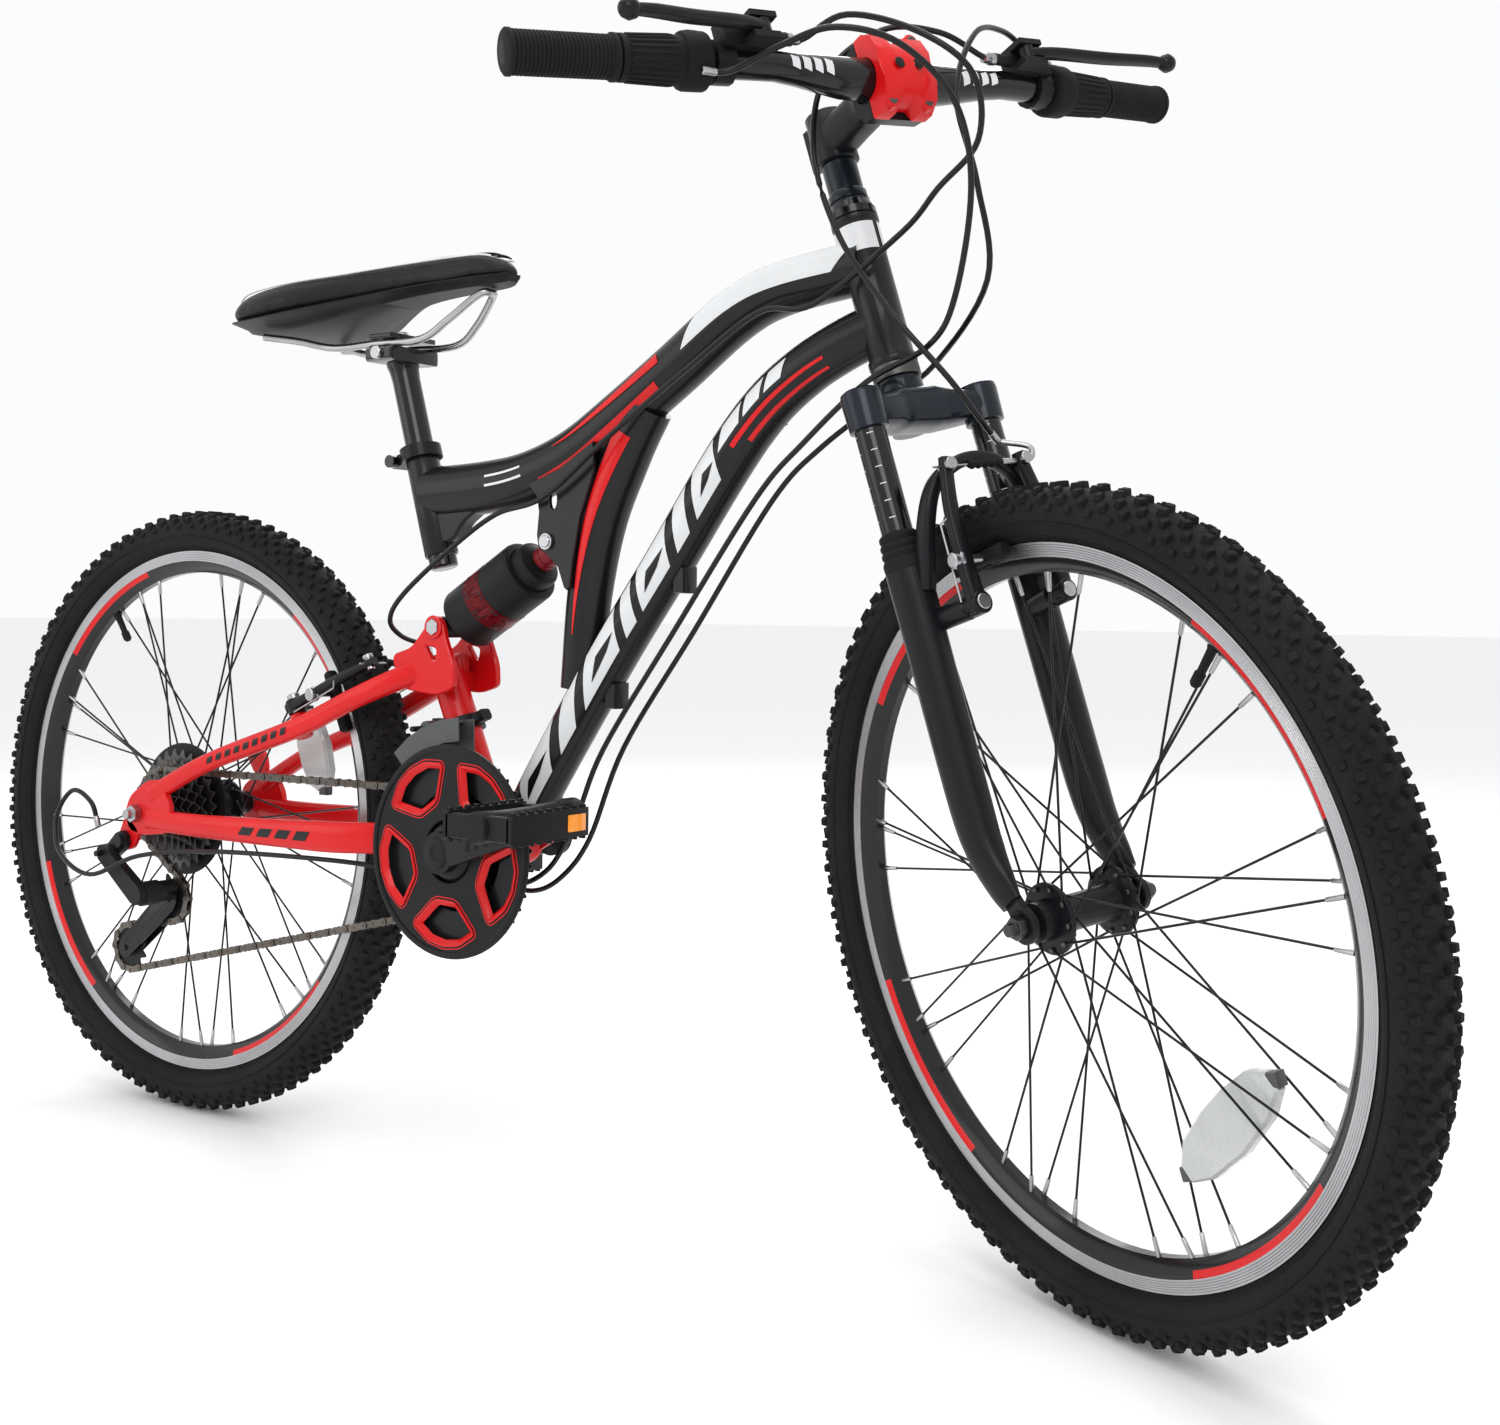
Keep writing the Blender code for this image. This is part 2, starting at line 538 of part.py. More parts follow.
def swingarm():
    shell = rod(BB - Y * BB_HALF, BB + Y * BB_HALF, BB_SHELL_R, 20)
    strut = rod(BB, YOKE, 0.0150, 14)
    parts = [strut]
    lug_low = (BB - PIVOT).normalized()
    across = Vector((-lug_low.z, 0, lug_low.x))
    for side in (-1, 1):
        seat_stay = sweep([(0.3500, side * 0.012, 0.4530), (0.3230, side * 0.030, 0.4430),
                           (0.2780, side * 0.0430, 0.4240), (0.2050, side * 0.0490, 0.3930),
                           (0.0950, side * 0.0600, 0.3560), (0.0180, side * 0.0670, 0.3200)],
                          [(0.0080, 0.0115), (0.0080, 0.0105), (0.0075, 0.0095), (0.0075, 0.0095), (0.0070, 0.0085),
                           (0.0050, 0.0090)], circle_section(8))
        chainstay = sweep([(BB.x - 0.004, side * 0.012, BB.z), (0.3560, side * 0.0235, 0.2985),
                           (0.3240, side * 0.0385, 0.2990), (0.3000, side * 0.0500, 0.2985),
                           (0.2500, side * 0.0590, 0.2970), (0.1000, side * 0.0655, 0.2950),
                           (0.0150, side * 0.0670, 0.2960)],
                          [(0.0080, 0.0140), (0.0075, 0.0140), (0.0070, 0.0140), (0.0070, 0.0140), (0.0070, 0.0140),
                           (0.0065, 0.0110), (0.0050, 0.0100)], circle_section(8))
        outer = side * (REAR_DROPOUT + DROPOUT_T)
        dropout = plate([(0.050, 0.285), (0.050, 0.312), (0.034, 0.336), (0.014, 0.334), (-0.012, 0.318),
                         (-0.020, 0.300), (-0.012, 0.284), (0.006, 0.280)], side * REAR_DROPOUT, outer)
        parts += [seat_stay, chainstay, dropout]
        ear = plate([(0.3500, 0.4900), (0.3560, 0.4985), (0.3650, 0.4990), (0.3710, 0.4920), (0.3740, 0.4800),
                     (0.3850, 0.4550), (0.3860, 0.4350), (0.3640, 0.4280), (0.3180, 0.4330), (0.3070, 0.4630),
                     (0.3320, 0.4700)], side * EAR_Y, side * (EAR_Y + EAR_T))
        window = plate([(0.3480, 0.4730), (0.3640, 0.4700), (0.3610, 0.4560)], side * 0.01, side * 0.05)
        parts.append(cut(ear, window))
        pivot_out = PIVOT - lug_low * 0.0145
        lug = [PIVOT + across * 0.0145, pivot_out + across * 0.006, pivot_out - across * 0.006,
               PIVOT - across * 0.0145, BB - across * 0.016, BB + across * 0.016]
        parts.append(plate([(p.x, p.z) for p in lug], side * (PIVOT_HALF + GAP), side * 0.0335))
    bridge = box((0.318, -EAR_Y - 0.003, 0.4340), (0.3600, EAR_Y + 0.003, 0.4480))
    hanger = plate([(-0.018, 0.300), (0.004, 0.284), (-0.006, 0.266), (-0.022, 0.262), (-0.030, 0.276)],
                   -REAR_DROPOUT - 0.0005, -REAR_DROPOUT - DROPOUT_T)
    disc_mount = plate([(0.004, 0.330), (0.024, 0.334), (0.020, 0.352), (0.004, 0.362), (-0.012, 0.356),
                        (-0.006, 0.344)], REAR_DROPOUT + 0.0005, REAR_DROPOUT + 0.0055)
    body = union(shell, *parts, bridge, hanger, disc_mount)
    cut_bore(body, BB - Y * 0.05, BB + Y * 0.05, 0.0165, 20)
    cut_bore(body, PIVOT - Y * 0.05, PIVOT + Y * 0.05, bore_for(PIVOT_BOLT_R), 16)
    cut_bore(body, SHOCK_LOW - Y * 0.05, SHOCK_LOW + Y * 0.05, SHOCK_BOLT_R + GAP, 12)
    cut_bore(body, REAR_AXLE - Y * 0.08, REAR_AXLE + Y * 0.08, AXLE_R + GAP, 16)
    for side in (-1, 1):
        boss = brake_point(side, 0, 0)
        body = union(body, rod(boss - BRAKE_OUT * 0.010, boss + BRAKE_OUT * 0.0130, 0.0080, 12),
                     rod(boss + BRAKE_OUT * 0.010, boss + BRAKE_OUT * 0.0330, 0.0040, 12))
    return body


# rear brake pivots: along the seat stays, pointing up and back from them
BRAKE_ANGLE = radians(24.5)
BRAKE_RADIAL = Vector((cos(BRAKE_ANGLE), 0, sin(BRAKE_ANGLE)))
BRAKE_OUT = Vector((-sin(BRAKE_ANGLE), 0, cos(BRAKE_ANGLE)))


def brake_point(side, out, radial, y=None):
    """A point near a rear brake pivot: out along its pin, radial from it."""
    offset = BRAKE_OUT * out + BRAKE_RADIAL * (BRAKE_BOSS_UP + radial)
    return REAR_AXLE + offset + Y * side * (BRAKE_BOSS_Y if y is None else y)


place("swingarm", swingarm(), "red_paint", "swing_axis")
place("bottom_bracket", sleeve(BB, Y, BB_HALF - 0.0005, 0.0162, bore_for(0.0085), 20), "dark_steel", "swing_axis")


def axle(centre, inner, outer, cone_from):
    """A wheel's axle with its nuts outside the ends and cones inside."""
    tip = outer + 0.0130
    parts = []
    for side in (-1, 1):
        parts.append(rod(centre + Y * side * (outer + GAP), centre + Y * side * (outer + 0.0075), 0.0085, 6))
        parts.append(rod(centre + Y * side * cone_from, centre + Y * side * (inner - GAP), 0.0078, 12))
    return union(rod(centre - Y * tip, centre + Y * tip, AXLE_R, 12), *parts)


place("rear_axle", axle(REAR_AXLE, REAR_DROPOUT, REAR_DROPOUT + DROPOUT_T, REAR_DROPOUT - 0.0045), "steel",
      "swing_axis")
place("shock_lower_bolt", union(
    rod(SHOCK_LOW - Y * 0.0335, SHOCK_LOW + Y * 0.0335, SHOCK_BOLT_R, 12),
    rod(SHOCK_LOW - Y * 0.0335, SHOCK_LOW - Y * (EAR_Y + EAR_T + GAP), 0.0075, 6),
    rod(SHOCK_LOW + Y * (EAR_Y + EAR_T + GAP), SHOCK_LOW + Y * 0.0335, 0.0075, 6)), "steel", "swing_axis")

# ---------------------------------------------------------------------- shock
SHOCK_RUN = SHOCK_TOP - SHOCK_LOW
SHOCK_DIR = SHOCK_RUN.normalized()
SHOCK_LENGTH = SHOCK_RUN.length
CAN_R = 0.0290
CAN_BORE = 0.0222
BODY_R = 0.0216
joint_axis("shock_axis", None, Matrix.Translation(SHOCK_TOP))
joint_axis("shock_slide_axis", "shock_axis", Matrix.Translation(SHOCK_LOW))


def shock_body():
    eye = SHOCK_TOP
    body = union(turned([(0.062, BODY_R), (0.1130, BODY_R), (0.1165, 0.0120), (0.1400, 0.0110)], SHOCK_LOW, SHOCK_DIR, 20),
                 rod(eye - Y * (SHOCK_PLATE_Y - GAP), eye + Y * (SHOCK_PLATE_Y - GAP), 0.0085, 16))
    bolt = rod(eye - Y * 0.0260, eye + Y * 0.0260, SHOCK_BOLT_R, 12)
    heads = [rod(eye + Y * s * (SHOCK_PLATE_Y + SHOCK_PLATE_T + GAP), eye + Y * s * 0.0275, 0.0070, 6)
             for s in (-1, 1)]
    return union(body, bolt, *heads)


def shock_shaft():
    can = turned([(0.0135, 0.0270), (0.0165, CAN_R), (0.0980, CAN_R), (0.1000, 0.0280)], SHOCK_LOW, SHOCK_DIR, 24)
    cut_bore(can, SHOCK_LOW + SHOCK_DIR * 0.0330, SHOCK_LOW + SHOCK_DIR * 0.12, CAN_BORE, 20)
    eye = union(rod(SHOCK_LOW - Y * (EAR_Y - GAP), SHOCK_LOW + Y * (EAR_Y - GAP), 0.0095, 16),
                rod(SHOCK_LOW, SHOCK_LOW + SHOCK_DIR * 0.020, 0.0120, 14))
    return cut_bore(union(can, eye), SHOCK_LOW - Y * 0.04, SHOCK_LOW + Y * 0.04, bore_for(SHOCK_BOLT_R, 12, 0.0010), 12)


place("shock_body", shock_body(), "black_gloss", "shock_axis")
place("shock_shaft", shock_shaft(), "black_satin", "shock_slide_axis")

# ------------------------------------------------------------ drivetrain: chain
CHAIN_HALF = 0.0035
CHAIN_TALL = 0.0036


def belt(circles, arc_step=radians(18)):
    """Centre line round (centre, radius, turn) circles, turn +1 is ccw."""
    joins = []
    for index, (c1, r1, s1) in enumerate(circles):
        c2, r2, s2 = circles[(index + 1) % len(circles)]
        run = (c2.x - c1.x, c2.z - c1.z)
        beta = atan2(run[1], run[0]) + acos((r2 * s2 - r1 * s1) / hypot(*run))
        joins.append(beta)
    path = []
    for index, (c, r, s) in enumerate(circles):
        start = joins[index - 1] + (pi if s > 0 else 0)
        end = joins[index] + (pi if s > 0 else 0)
        turn = (end - start) * s % (2 * pi)
        steps = max(2, ceil(turn / arc_step))
        for k in range(steps + 1):
            a = start + s * turn * k / steps
            path.append(Vector((c.x + r * cos(a), c.y, c.z + r * sin(a))))
    return path


def closed_sweep(path, half_across, half_tall):
    bm = bmesh.new()
    rings = []
    count = len(path)
    for index, point in enumerate(path):
        tangent = (path[(index + 1) % count] - path[index - 1]).normalized()
        first, second = frame_across(tangent, Y)
        rings.append([bm.verts.new(point + first * half_across * u + second * half_tall * v)
                      for u, v in ((1, 1), (1, -1), (-1, -1), (-1, 1))])
    ring_faces(bm, rings, True)
    return solid(bm)


CHAIN_PATH = belt([(BB + Y * CHAIN_Y, pitch_radius(RING_TEETH[0]), 1),
                   (REAR_AXLE + Y * CHAIN_Y, pitch_radius(COG_TEETH[CHAIN_COG]), 1),
                   (GUIDE_PULLEY, pitch_radius(PULLEY_TEETH), -1),
                   (TENSION_PULLEY, pitch_radius(PULLEY_TEETH), 1)])
place("chain", closed_sweep(CHAIN_PATH, CHAIN_HALF, CHAIN_TALL), "dark_steel", "swing_axis")
ROOT = CHAIN_TALL + 0.0011  # discs end this far inside the pitch circle

# ------------------------------------------------------------ drivetrain: crank
SPINDLE_R = 0.0085
HUB_R = 0.0270
CRANK_DIR = Vector((cos(CRANK_ANGLE), 0, sin(CRANK_ANGLE)))
PEDAL_PIN_R = 0.0045
ARM_Y = 0.0705              # middle of the crank's boss
ARM_END_Y = 0.0840
PEDAL_FROM = 0.0960
PEDAL_TO = 0.1900
joint_axis("crank_axis", "swing_axis", Matrix.Translation(BB))
place("crank_spindle", rod(BB - Y * 0.0690, BB + Y * 0.0690, SPINDLE_R, 16), "steel", "crank_axis")


def crank_arm(side, direction):
    start = BB + Y * side * ARM_Y
    end = BB + direction * CRANK + Y * side * ARM_END_Y
    arm = sweep([start, start.lerp(end, 0.5), end], [(0.0060, 0.0145), (0.0060, 0.0120), (0.0065, 0.0120)],
                block_section())
    boss = rod(BB + Y * side * (ARM_Y - 0.0068), BB + Y * side * (ARM_Y + 0.0055), 0.0180, 20)
    cap = rod(BB + Y * side * (ARM_Y + 0.0040), BB + Y * side * (ARM_Y + 0.0075), 0.0130, 20)
    eye = rod(end - Y * side * 0.0068, end + Y * side * 0.0068, 0.0140, 16)
    pin = rod(end, Vector((end.x, side * (PEDAL_TO - 0.0080), end.z)), PEDAL_PIN_R, 12)
    return union(arm, boss, cap, eye, pin)


def chainset():
    edges = []
    for index, teeth in enumerate(RING_TEETH):
        middle = CHAIN_Y - index * RING_STEP
        radius = pitch_radius(teeth) - ROOT
        edges += [(middle + 0.0009, HUB_R), (middle + 0.0009, radius), (middle - 0.0009, radius),
                  (middle - 0.0009, HUB_R)]
    edges.append((-ARM_Y + 0.002, HUB_R))
    discs = turned(edges, BB, Y, 26)
    for index in range(5):
        angle = CRANK_ANGLE + 2 * pi * index / 5 + pi / 5
        out = Vector((cos(angle), 0, sin(angle)))
        side = Vector((-sin(angle), 0, cos(angle)))
        window = [out * 0.036 + side * 0.010, out * 0.036 - side * 0.010, out * 0.058 - side * 0.022,
                  out * 0.062, out * 0.058 + side * 0.022]
        outline = [(BB.x + p.x, BB.z + p.z) for p in window]
        cut(discs, plate(outline, CHAIN_Y - 0.004, -ARM_Y))
    body = union(discs, crank_arm(-1, CRANK_DIR))
    return cut_bore(body, BB - Y * 0.0693, BB, SPINDLE_R + GAP, 16)


def chain_guard():
    body = loop_section([(GUARD_Y + 0.0020, 0.0240), (GUARD_Y + 0.0020, GUARD_R),
                         (GUARD_Y - 0.0019, GUARD_R - 0.001), (GUARD_Y - 0.0019, 0.0240)], BB, Y, 30)
    for index in range(5):
        angle = CRANK_ANGLE + 2 * pi * index / 5 + pi / 5
        out = Vector((cos(angle), 0, sin(angle)))
        side = Vector((-sin(angle), 0, cos(angle)))
        window = [out * 0.042 + side * 0.012, out * 0.042 - side * 0.012, out * 0.066 - side * 0.036,
                  out * 0.078 - side * 0.018, out * 0.081, out * 0.078 + side * 0.018, out * 0.066 + side * 0.036]
        cut(body, plate([(BB.x + p.x, BB.z + p.z) for p in window], GUARD_Y - 0.01, GUARD_Y + 0.01))
    return body


place("chainset", chainset(), "black_satin", "crank_axis")
place("chain_guard", cut_bore(chain_guard(), BB - Y * 0.08, BB, HUB_R + GAP, 26), "black_plastic", "crank_axis")
left_arm = crank_arm(1, -CRANK_DIR)
place("crank_arm_left", cut_bore(left_arm, BB, BB + Y * 0.0693, SPINDLE_R + GAP, 16), "black_satin", "crank_axis")


def pedal(side, centre):
    parts = []
    start, end = side * PEDAL_FROM, side * PEDAL_TO
    for fore in (-1, 1):
        x_in, x_out = centre.x + fore * 0.029, centre.x + fore * 0.036
        parts.append(box((min(x_in, x_out), min(start, end) + 0.004, centre.z - 0.011),
                         (max(x_in, x_out), max(start, end) - 0.004, centre.z + 0.011)))
    for y in (start + side * 0.004, end - side * 0.012):
        parts.append(box((centre.x - 0.033, min(y, y + side * 0.008), centre.z - 0.0095),
                         (centre.x + 0.033, max(y, y + side * 0.008), centre.z + 0.0095)))
    body = union(rod((centre.x, start, centre.z), (centre.x, end, centre.z), 0.0125, 6), *parts)
    return cut_bore(body, (centre.x, start - side * 0.01, centre.z), (centre.x, end - side * 0.0075, centre.z),
                    bore_for(PEDAL_PIN_R, 12), 12)


for side, word, direction in ((-1, "right", CRANK_DIR), (1, "left", -CRANK_DIR)):
    centre = BB + direction * CRANK
    joint_axis("pedal_axis_" + word, "crank_axis", Matrix.Translation(centre))
    place("pedal_" + word, pedal(side, centre), "black_plastic", "pedal_axis_" + word)

# --------------------------------------------------------------------- wheels
TYRE_BEAD_R = RIM_R - 0.0045
HUB_SHELL_R = 0.0145
SPOKE_END_R = (RIM_R - RIM_DEPTH) * cos(pi / WHEEL_SEGMENTS) - GAP


def tyre_profile():
    """Half sections run from the tread's edge down to the bead."""
    half = [(0.0100, TYRE_R), (0.0190, TYRE_R - 0.0060), (0.0240, TYRE_R - 0.0170), (0.0215, TYRE_R - 0.0300),
            (RIM_W / 2 - 0.0030, TYRE_R - 0.0400), (RIM_W / 2 - 0.0030, TYRE_BEAD_R)]
    return half + [(-y, r) for y, r in reversed(half)]


def rim_profile():
    """A box section with a shallow well that holds the tyre's beads."""
    half = RIM_W / 2
    lip = half - 0.0026
    well = TYRE_BEAD_R - GAP
    return [(half, RIM_R), (half, RIM_R - TRACK_H),
            (half * 0.38, RIM_R - RIM_DEPTH), (-half * 0.38, RIM_R - RIM_DEPTH),
            (-half, RIM_R - TRACK_H), (-half, RIM_R), (-lip, RIM_R),
            (-lip, well), (lip, well), (lip, RIM_R)]


def hub(centre, left, right, left_end, right_end):
    """A hub shell between its flanges with its spokes laced three-cross."""
    t = FLANGE_T / 2
    profile = [(-right_end, HUB_SHELL_R), (-right - t, HUB_SHELL_R), (-right - t, FLANGE_R + 0.004),
               (-right + t, FLANGE_R + 0.004), (-right + t + 0.002, HUB_SHELL_R), (left - t - 0.002, HUB_SHELL_R),
               (left - t, FLANGE_R + 0.004), (left + t, FLANGE_R + 0.004), (left + t, HUB_SHELL_R),
               (left_end, HUB_SHELL_R * 0.8)]
    shell = turned(profile, centre, Y, 16)
    cut_bore(shell, centre - Y * 0.09, centre + Y * 0.09, bore_for(AXLE_R + 0.0004), 16)
    spokes = []
    pairs = SPOKES // 4
    for side, flange, turn_by in ((1, left, 0.0), (-1, right, pi / (2 * pairs) / 2)):
        for k in range(pairs * 2):
            lead = 1 if k % 2 else -1
            at_hub = 2 * pi * (k + 0.5 * (side > 0)) / (pairs * 2)
            at_rim = at_hub + lead * radians(54) + turn_by * 0
            low = Vector((cos(at_hub), 0, sin(at_hub))) * FLANGE_R
            high = Vector((cos(at_rim), 0, sin(at_rim))) * SPOKE_END_R
            low.y = side * (flange + lead * 0.0012)
            high.y = side * 0.0028
            spokes.append(rod(centre + low, centre + high, SPOKE_R, 3))
    return union(shell, joined(spokes))


HUB_LEFT, HUB_RIGHT = 0.0340, 0.0165
joint_axis("rear_wheel_axis", "swing_axis", Matrix.Translation(REAR_AXLE))
place("rear_tyre", loop_section(tyre_profile(), REAR_AXLE, Y, WHEEL_SEGMENTS, -Z), "rubber", "rear_wheel_axis")
place("rear_rim", loop_section(rim_profile(), REAR_AXLE, Y, WHEEL_SEGMENTS, -Z), "black_gloss", "rear_wheel_axis")
place("rear_hub", hub(REAR_AXLE, HUB_LEFT, HUB_RIGHT, REAR_DROPOUT - 0.0050, 0.0200), "black_satin",
      "rear_wheel_axis")


def freewheel():
    edges = []
    for index, teeth in enumerate(COG_TEETH):
        middle = CHAIN_Y + (CHAIN_COG - index) * COG_STEP
        radius = pitch_radius(teeth) - ROOT
        core = min(radius - 0.006, 0.0235)
        edges += [(middle + 0.0009, core), (middle + 0.0009, radius), (middle - 0.0009, radius),
                  (middle - 0.0009, core)]
    return turned(edges, REAR_AXLE, Y, 18, bore_for(AXLE_R + 0.0004))


joint_axis("freewheel_axis", "swing_axis", Matrix.Translation(REAR_AXLE))
place("freewheel", freewheel(), "dark_steel", "freewheel_axis")

# ------------------------------------------------------------ rear derailleur
MECH_Y = -0.0790            # middle of the derailleur's body
CAGE_GAP = 0.0052           # cage plates either side of the chain's middle
CAGE_T = 0.0014
PULLEY_PIN_R = 0.0030
KNUCKLE = Vector((GUIDE_PULLEY.x + 0.004, 0, GUIDE_PULLEY.z + 0.010))
LINK_TOP = Vector((HANGER.x - 0.0150, 0, HANGER.z - 0.0120))
joint_axis("link_axis", "swing_axis", Matrix.Translation(LINK_TOP + Y * MECH_Y))
joint_axis("cage_axis", "link_axis", Matrix.Translation(KNUCKLE + Y * MECH_Y))


def hull_plate(circles, y_from, y_to, steps=5):
    """A plate round two circles, each a (centre, radius) pair."""
    (c1, r1), (c2, r2) = circles
    run = atan2(c2.z - c1.z, c2.x - c1.x)
    lean = asin((r1 - r2) / hypot(c2.x - c1.x, c2.z - c1.z))
    outline = []
    for centre, radius, first, last in ((c1, r1, pi / 2 - lean, 3 * pi / 2 + lean),
                                        (c2, r2, -pi / 2 + lean, pi / 2 - lean)):
        for k in range(steps):
            a = run + first + (last - first) * k / (steps - 1)
            outline.append((centre.x + radius * cos(a), centre.z + radius * sin(a)))
    return plate(outline, y_from, y_to)


def rear_derailleur():
    inner = -REAR_DROPOUT - DROPOUT_T - GAP
    body = union(hull_plate([(HANGER, 0.0100), (LINK_TOP, 0.0085)], inner, inner - 0.0060),
                 rod((LINK_TOP.x, inner - 0.004, LINK_TOP.z), (LINK_TOP.x, MECH_Y - 0.0130, LINK_TOP.z), 0.0030, 12),
                 rod((HANGER.x, inner - 0.004, HANGER.z), (HANGER.x, inner - 0.0095, HANGER.z), 0.0070, 12))
    return body


def derailleur_link():
    body = union(hull_plate([(LINK_TOP, 0.0080), (KNUCKLE, 0.0100)], MECH_Y - 0.0070, MECH_Y + 0.0020),
                 rod((KNUCKLE.x, MECH_Y, KNUCKLE.z), (KNUCKLE.x, CHAIN_Y - CAGE_GAP - CAGE_T - 0.0160, KNUCKLE.z),
                     0.0120, 14))
    end = CHAIN_Y - CAGE_GAP - CAGE_T - 0.0160
    cut_bore(body, (KNUCKLE.x, end + 0.005, KNUCKLE.z), (KNUCKLE.x, MECH_Y + 0.004, KNUCKLE.z), bore_for(0.0040, 12),
             12)
    return cut_bore(body, (LINK_TOP.x, -0.1, LINK_TOP.z), (LINK_TOP.x, -0.05, LINK_TOP.z), bore_for(0.0030, 12), 12)


def derailleur_cage():
    outer = CHAIN_Y - CAGE_GAP
    inner = CHAIN_Y + CAGE_GAP
    parts = []
    for y_from, y_to in ((outer, outer - CAGE_T), (inner, inner + CAGE_T)):
        parts.append(hull_plate([(GUIDE_PULLEY, 0.0130), (TENSION_PULLEY, 0.0100)], y_from, y_to))
    for pulley in (GUIDE_PULLEY, TENSION_PULLEY):
        parts.append(rod((pulley.x, outer - 0.003, pulley.z), (pulley.x, inner + 0.003, pulley.z), PULLEY_PIN_R, 12))
    lug = hull_plate([(KNUCKLE, 0.0110), (GUIDE_PULLEY, 0.0090)], outer - 0.0005, outer - CAGE_T)
    pin = rod((KNUCKLE.x, outer - 0.001, KNUCKLE.z), (KNUCKLE.x, MECH_Y + 0.0050, KNUCKLE.z), 0.0040, 12)
    collar = rod((KNUCKLE.x, outer - 0.001, KNUCKLE.z), (KNUCKLE.x, outer - CAGE_T - 0.0150, KNUCKLE.z), 0.0105, 14)
    return union(parts[0], *parts[1:], lug, pin, collar)


def pulley(centre):
    disc = turned([(-0.0020, 0.0070), (-0.0010, 0.0120), (-0.0010, pitch_radius(PULLEY_TEETH) - ROOT),
                   (0.0010, pitch_radius(PULLEY_TEETH) - ROOT), (0.0010, 0.0120), (0.0020, 0.0070)], centre, Y, 14)
    return cut_bore(disc, centre - Y * 0.01, centre + Y * 0.01, bore_for(PULLEY_PIN_R, 12), 12)


place("rear_derailleur", rear_derailleur(), "black_satin", "swing_axis")
place("rear_derailleur_link", derailleur_link(), "black_plastic", "link_axis")
place("rear_derailleur_cage", derailleur_cage(), "steel", "cage_axis")
for word, centre in (("guide", GUIDE_PULLEY), ("tension", TENSION_PULLEY)):
    joint_axis(word + "_pulley_axis", "cage_axis", Matrix.Translation(centre))
    place(word + "_pulley", pulley(centre), "black_plastic", word + "_pulley_axis")

# ----------------------------------------------------------- front derailleur
FD_SHARE = 0.66             # clamp's place between the crank and the yoke
FD_PLACE = BB.lerp(YOKE, FD_SHARE)
FD_UP = (YOKE - BB).normalized()
FD_PIVOT = FD_PLACE + Vector((-0.0165, 0, -0.0010))
joint_axis("front_cage_axis", "swing_axis", Matrix.Translation(FD_PIVOT - Y * 0.0200))


def front_derailleur():
    band = rod(FD_PLACE - FD_UP * 0.0060, FD_PLACE + FD_UP * 0.0060, 0.0190, 18)
    forward = Vector((FD_UP.z, 0, -FD_UP.x))
    ear_in, ear_out = FD_PLACE + forward * 0.012, FD_PLACE + forward * 0.030
    ear = sweep([ear_in, ear_out], (0.0060, 0.0050), block_section())
    bolt = rod(ear_out - forward * 0.006 - Y * 0.009, ear_out - forward * 0.006 + Y * 0.009, 0.0040, 8)
    arm = box((FD_PIVOT.x - 0.0060, -0.0170, FD_PIVOT.z - 0.0080), (FD_PIVOT.x + 0.0080, -0.0090, FD_PIVOT.z + 0.0080))
    pin = rod(FD_PIVOT - Y * 0.0100, FD_PIVOT - Y * 0.0470, 0.0025, 12)
    body = union(band, ear, bolt, arm)
    cut_bore(body, BB, YOKE + FD_UP * 0.05, 0.0150 + GAP, 14)
    return union(body, pin)


def front_cage():
    """Two curved plates either side of the chain's upper run."""
    parts = []
    for y_from, y_to, low, high in ((-0.0300, -0.0312, 0.0710, 0.1120), (-0.0483, -0.0495, 0.0935, 0.1140)):
        outline = []
        for radius, order in ((low, 1), (high, -1)):
            arc = [radians(92 + 11 * k) for k in range(5)][::order]
            outline += [(BB.x + radius * cos(a), BB.z + radius * sin(a)) for a in arc]
        parts.append(plate(outline, y_from, y_to))
    reach = [BB + Vector((0.1105 * cos(a), 0, 0.1105 * sin(a))) for a in (radians(98), radians(112))]
    bridge = sweep([p - Y * 0.0398 for p in reach], (0.0093, 0.0012), block_section(0.1))
    knuckle = rod(FD_PIVOT - Y * 0.0175, FD_PIVOT - Y * 0.0310, 0.0065, 12)
    foot = BB + Vector((0.104 * cos(radians(119)), 0, 0.104 * sin(radians(119)))) - Y * 0.0300
    stalk = sweep([FD_PIVOT - Y * 0.0290, foot], (0.0022, 0.0060), block_section())
    body = union(parts[0], parts[1], bridge, knuckle, stalk)
    return cut_bore(body, FD_PIVOT, FD_PIVOT - Y * 0.04, bore_for(0.0025, 12), 12)


place("front_derailleur", front_derailleur(), "black_satin", "swing_axis")
place("front_derailleur_cage", front_cage(), "steel", "front_cage_axis")

# -------------------------------------------------------------------- brakes
PIN_R = 0.0040
ARM_TALL = 0.1080
PAD_RADIAL = 0.0330         # pads above the brake pivots
PAD_FACE = 0.0140           # pads stop short of the rim by this half width


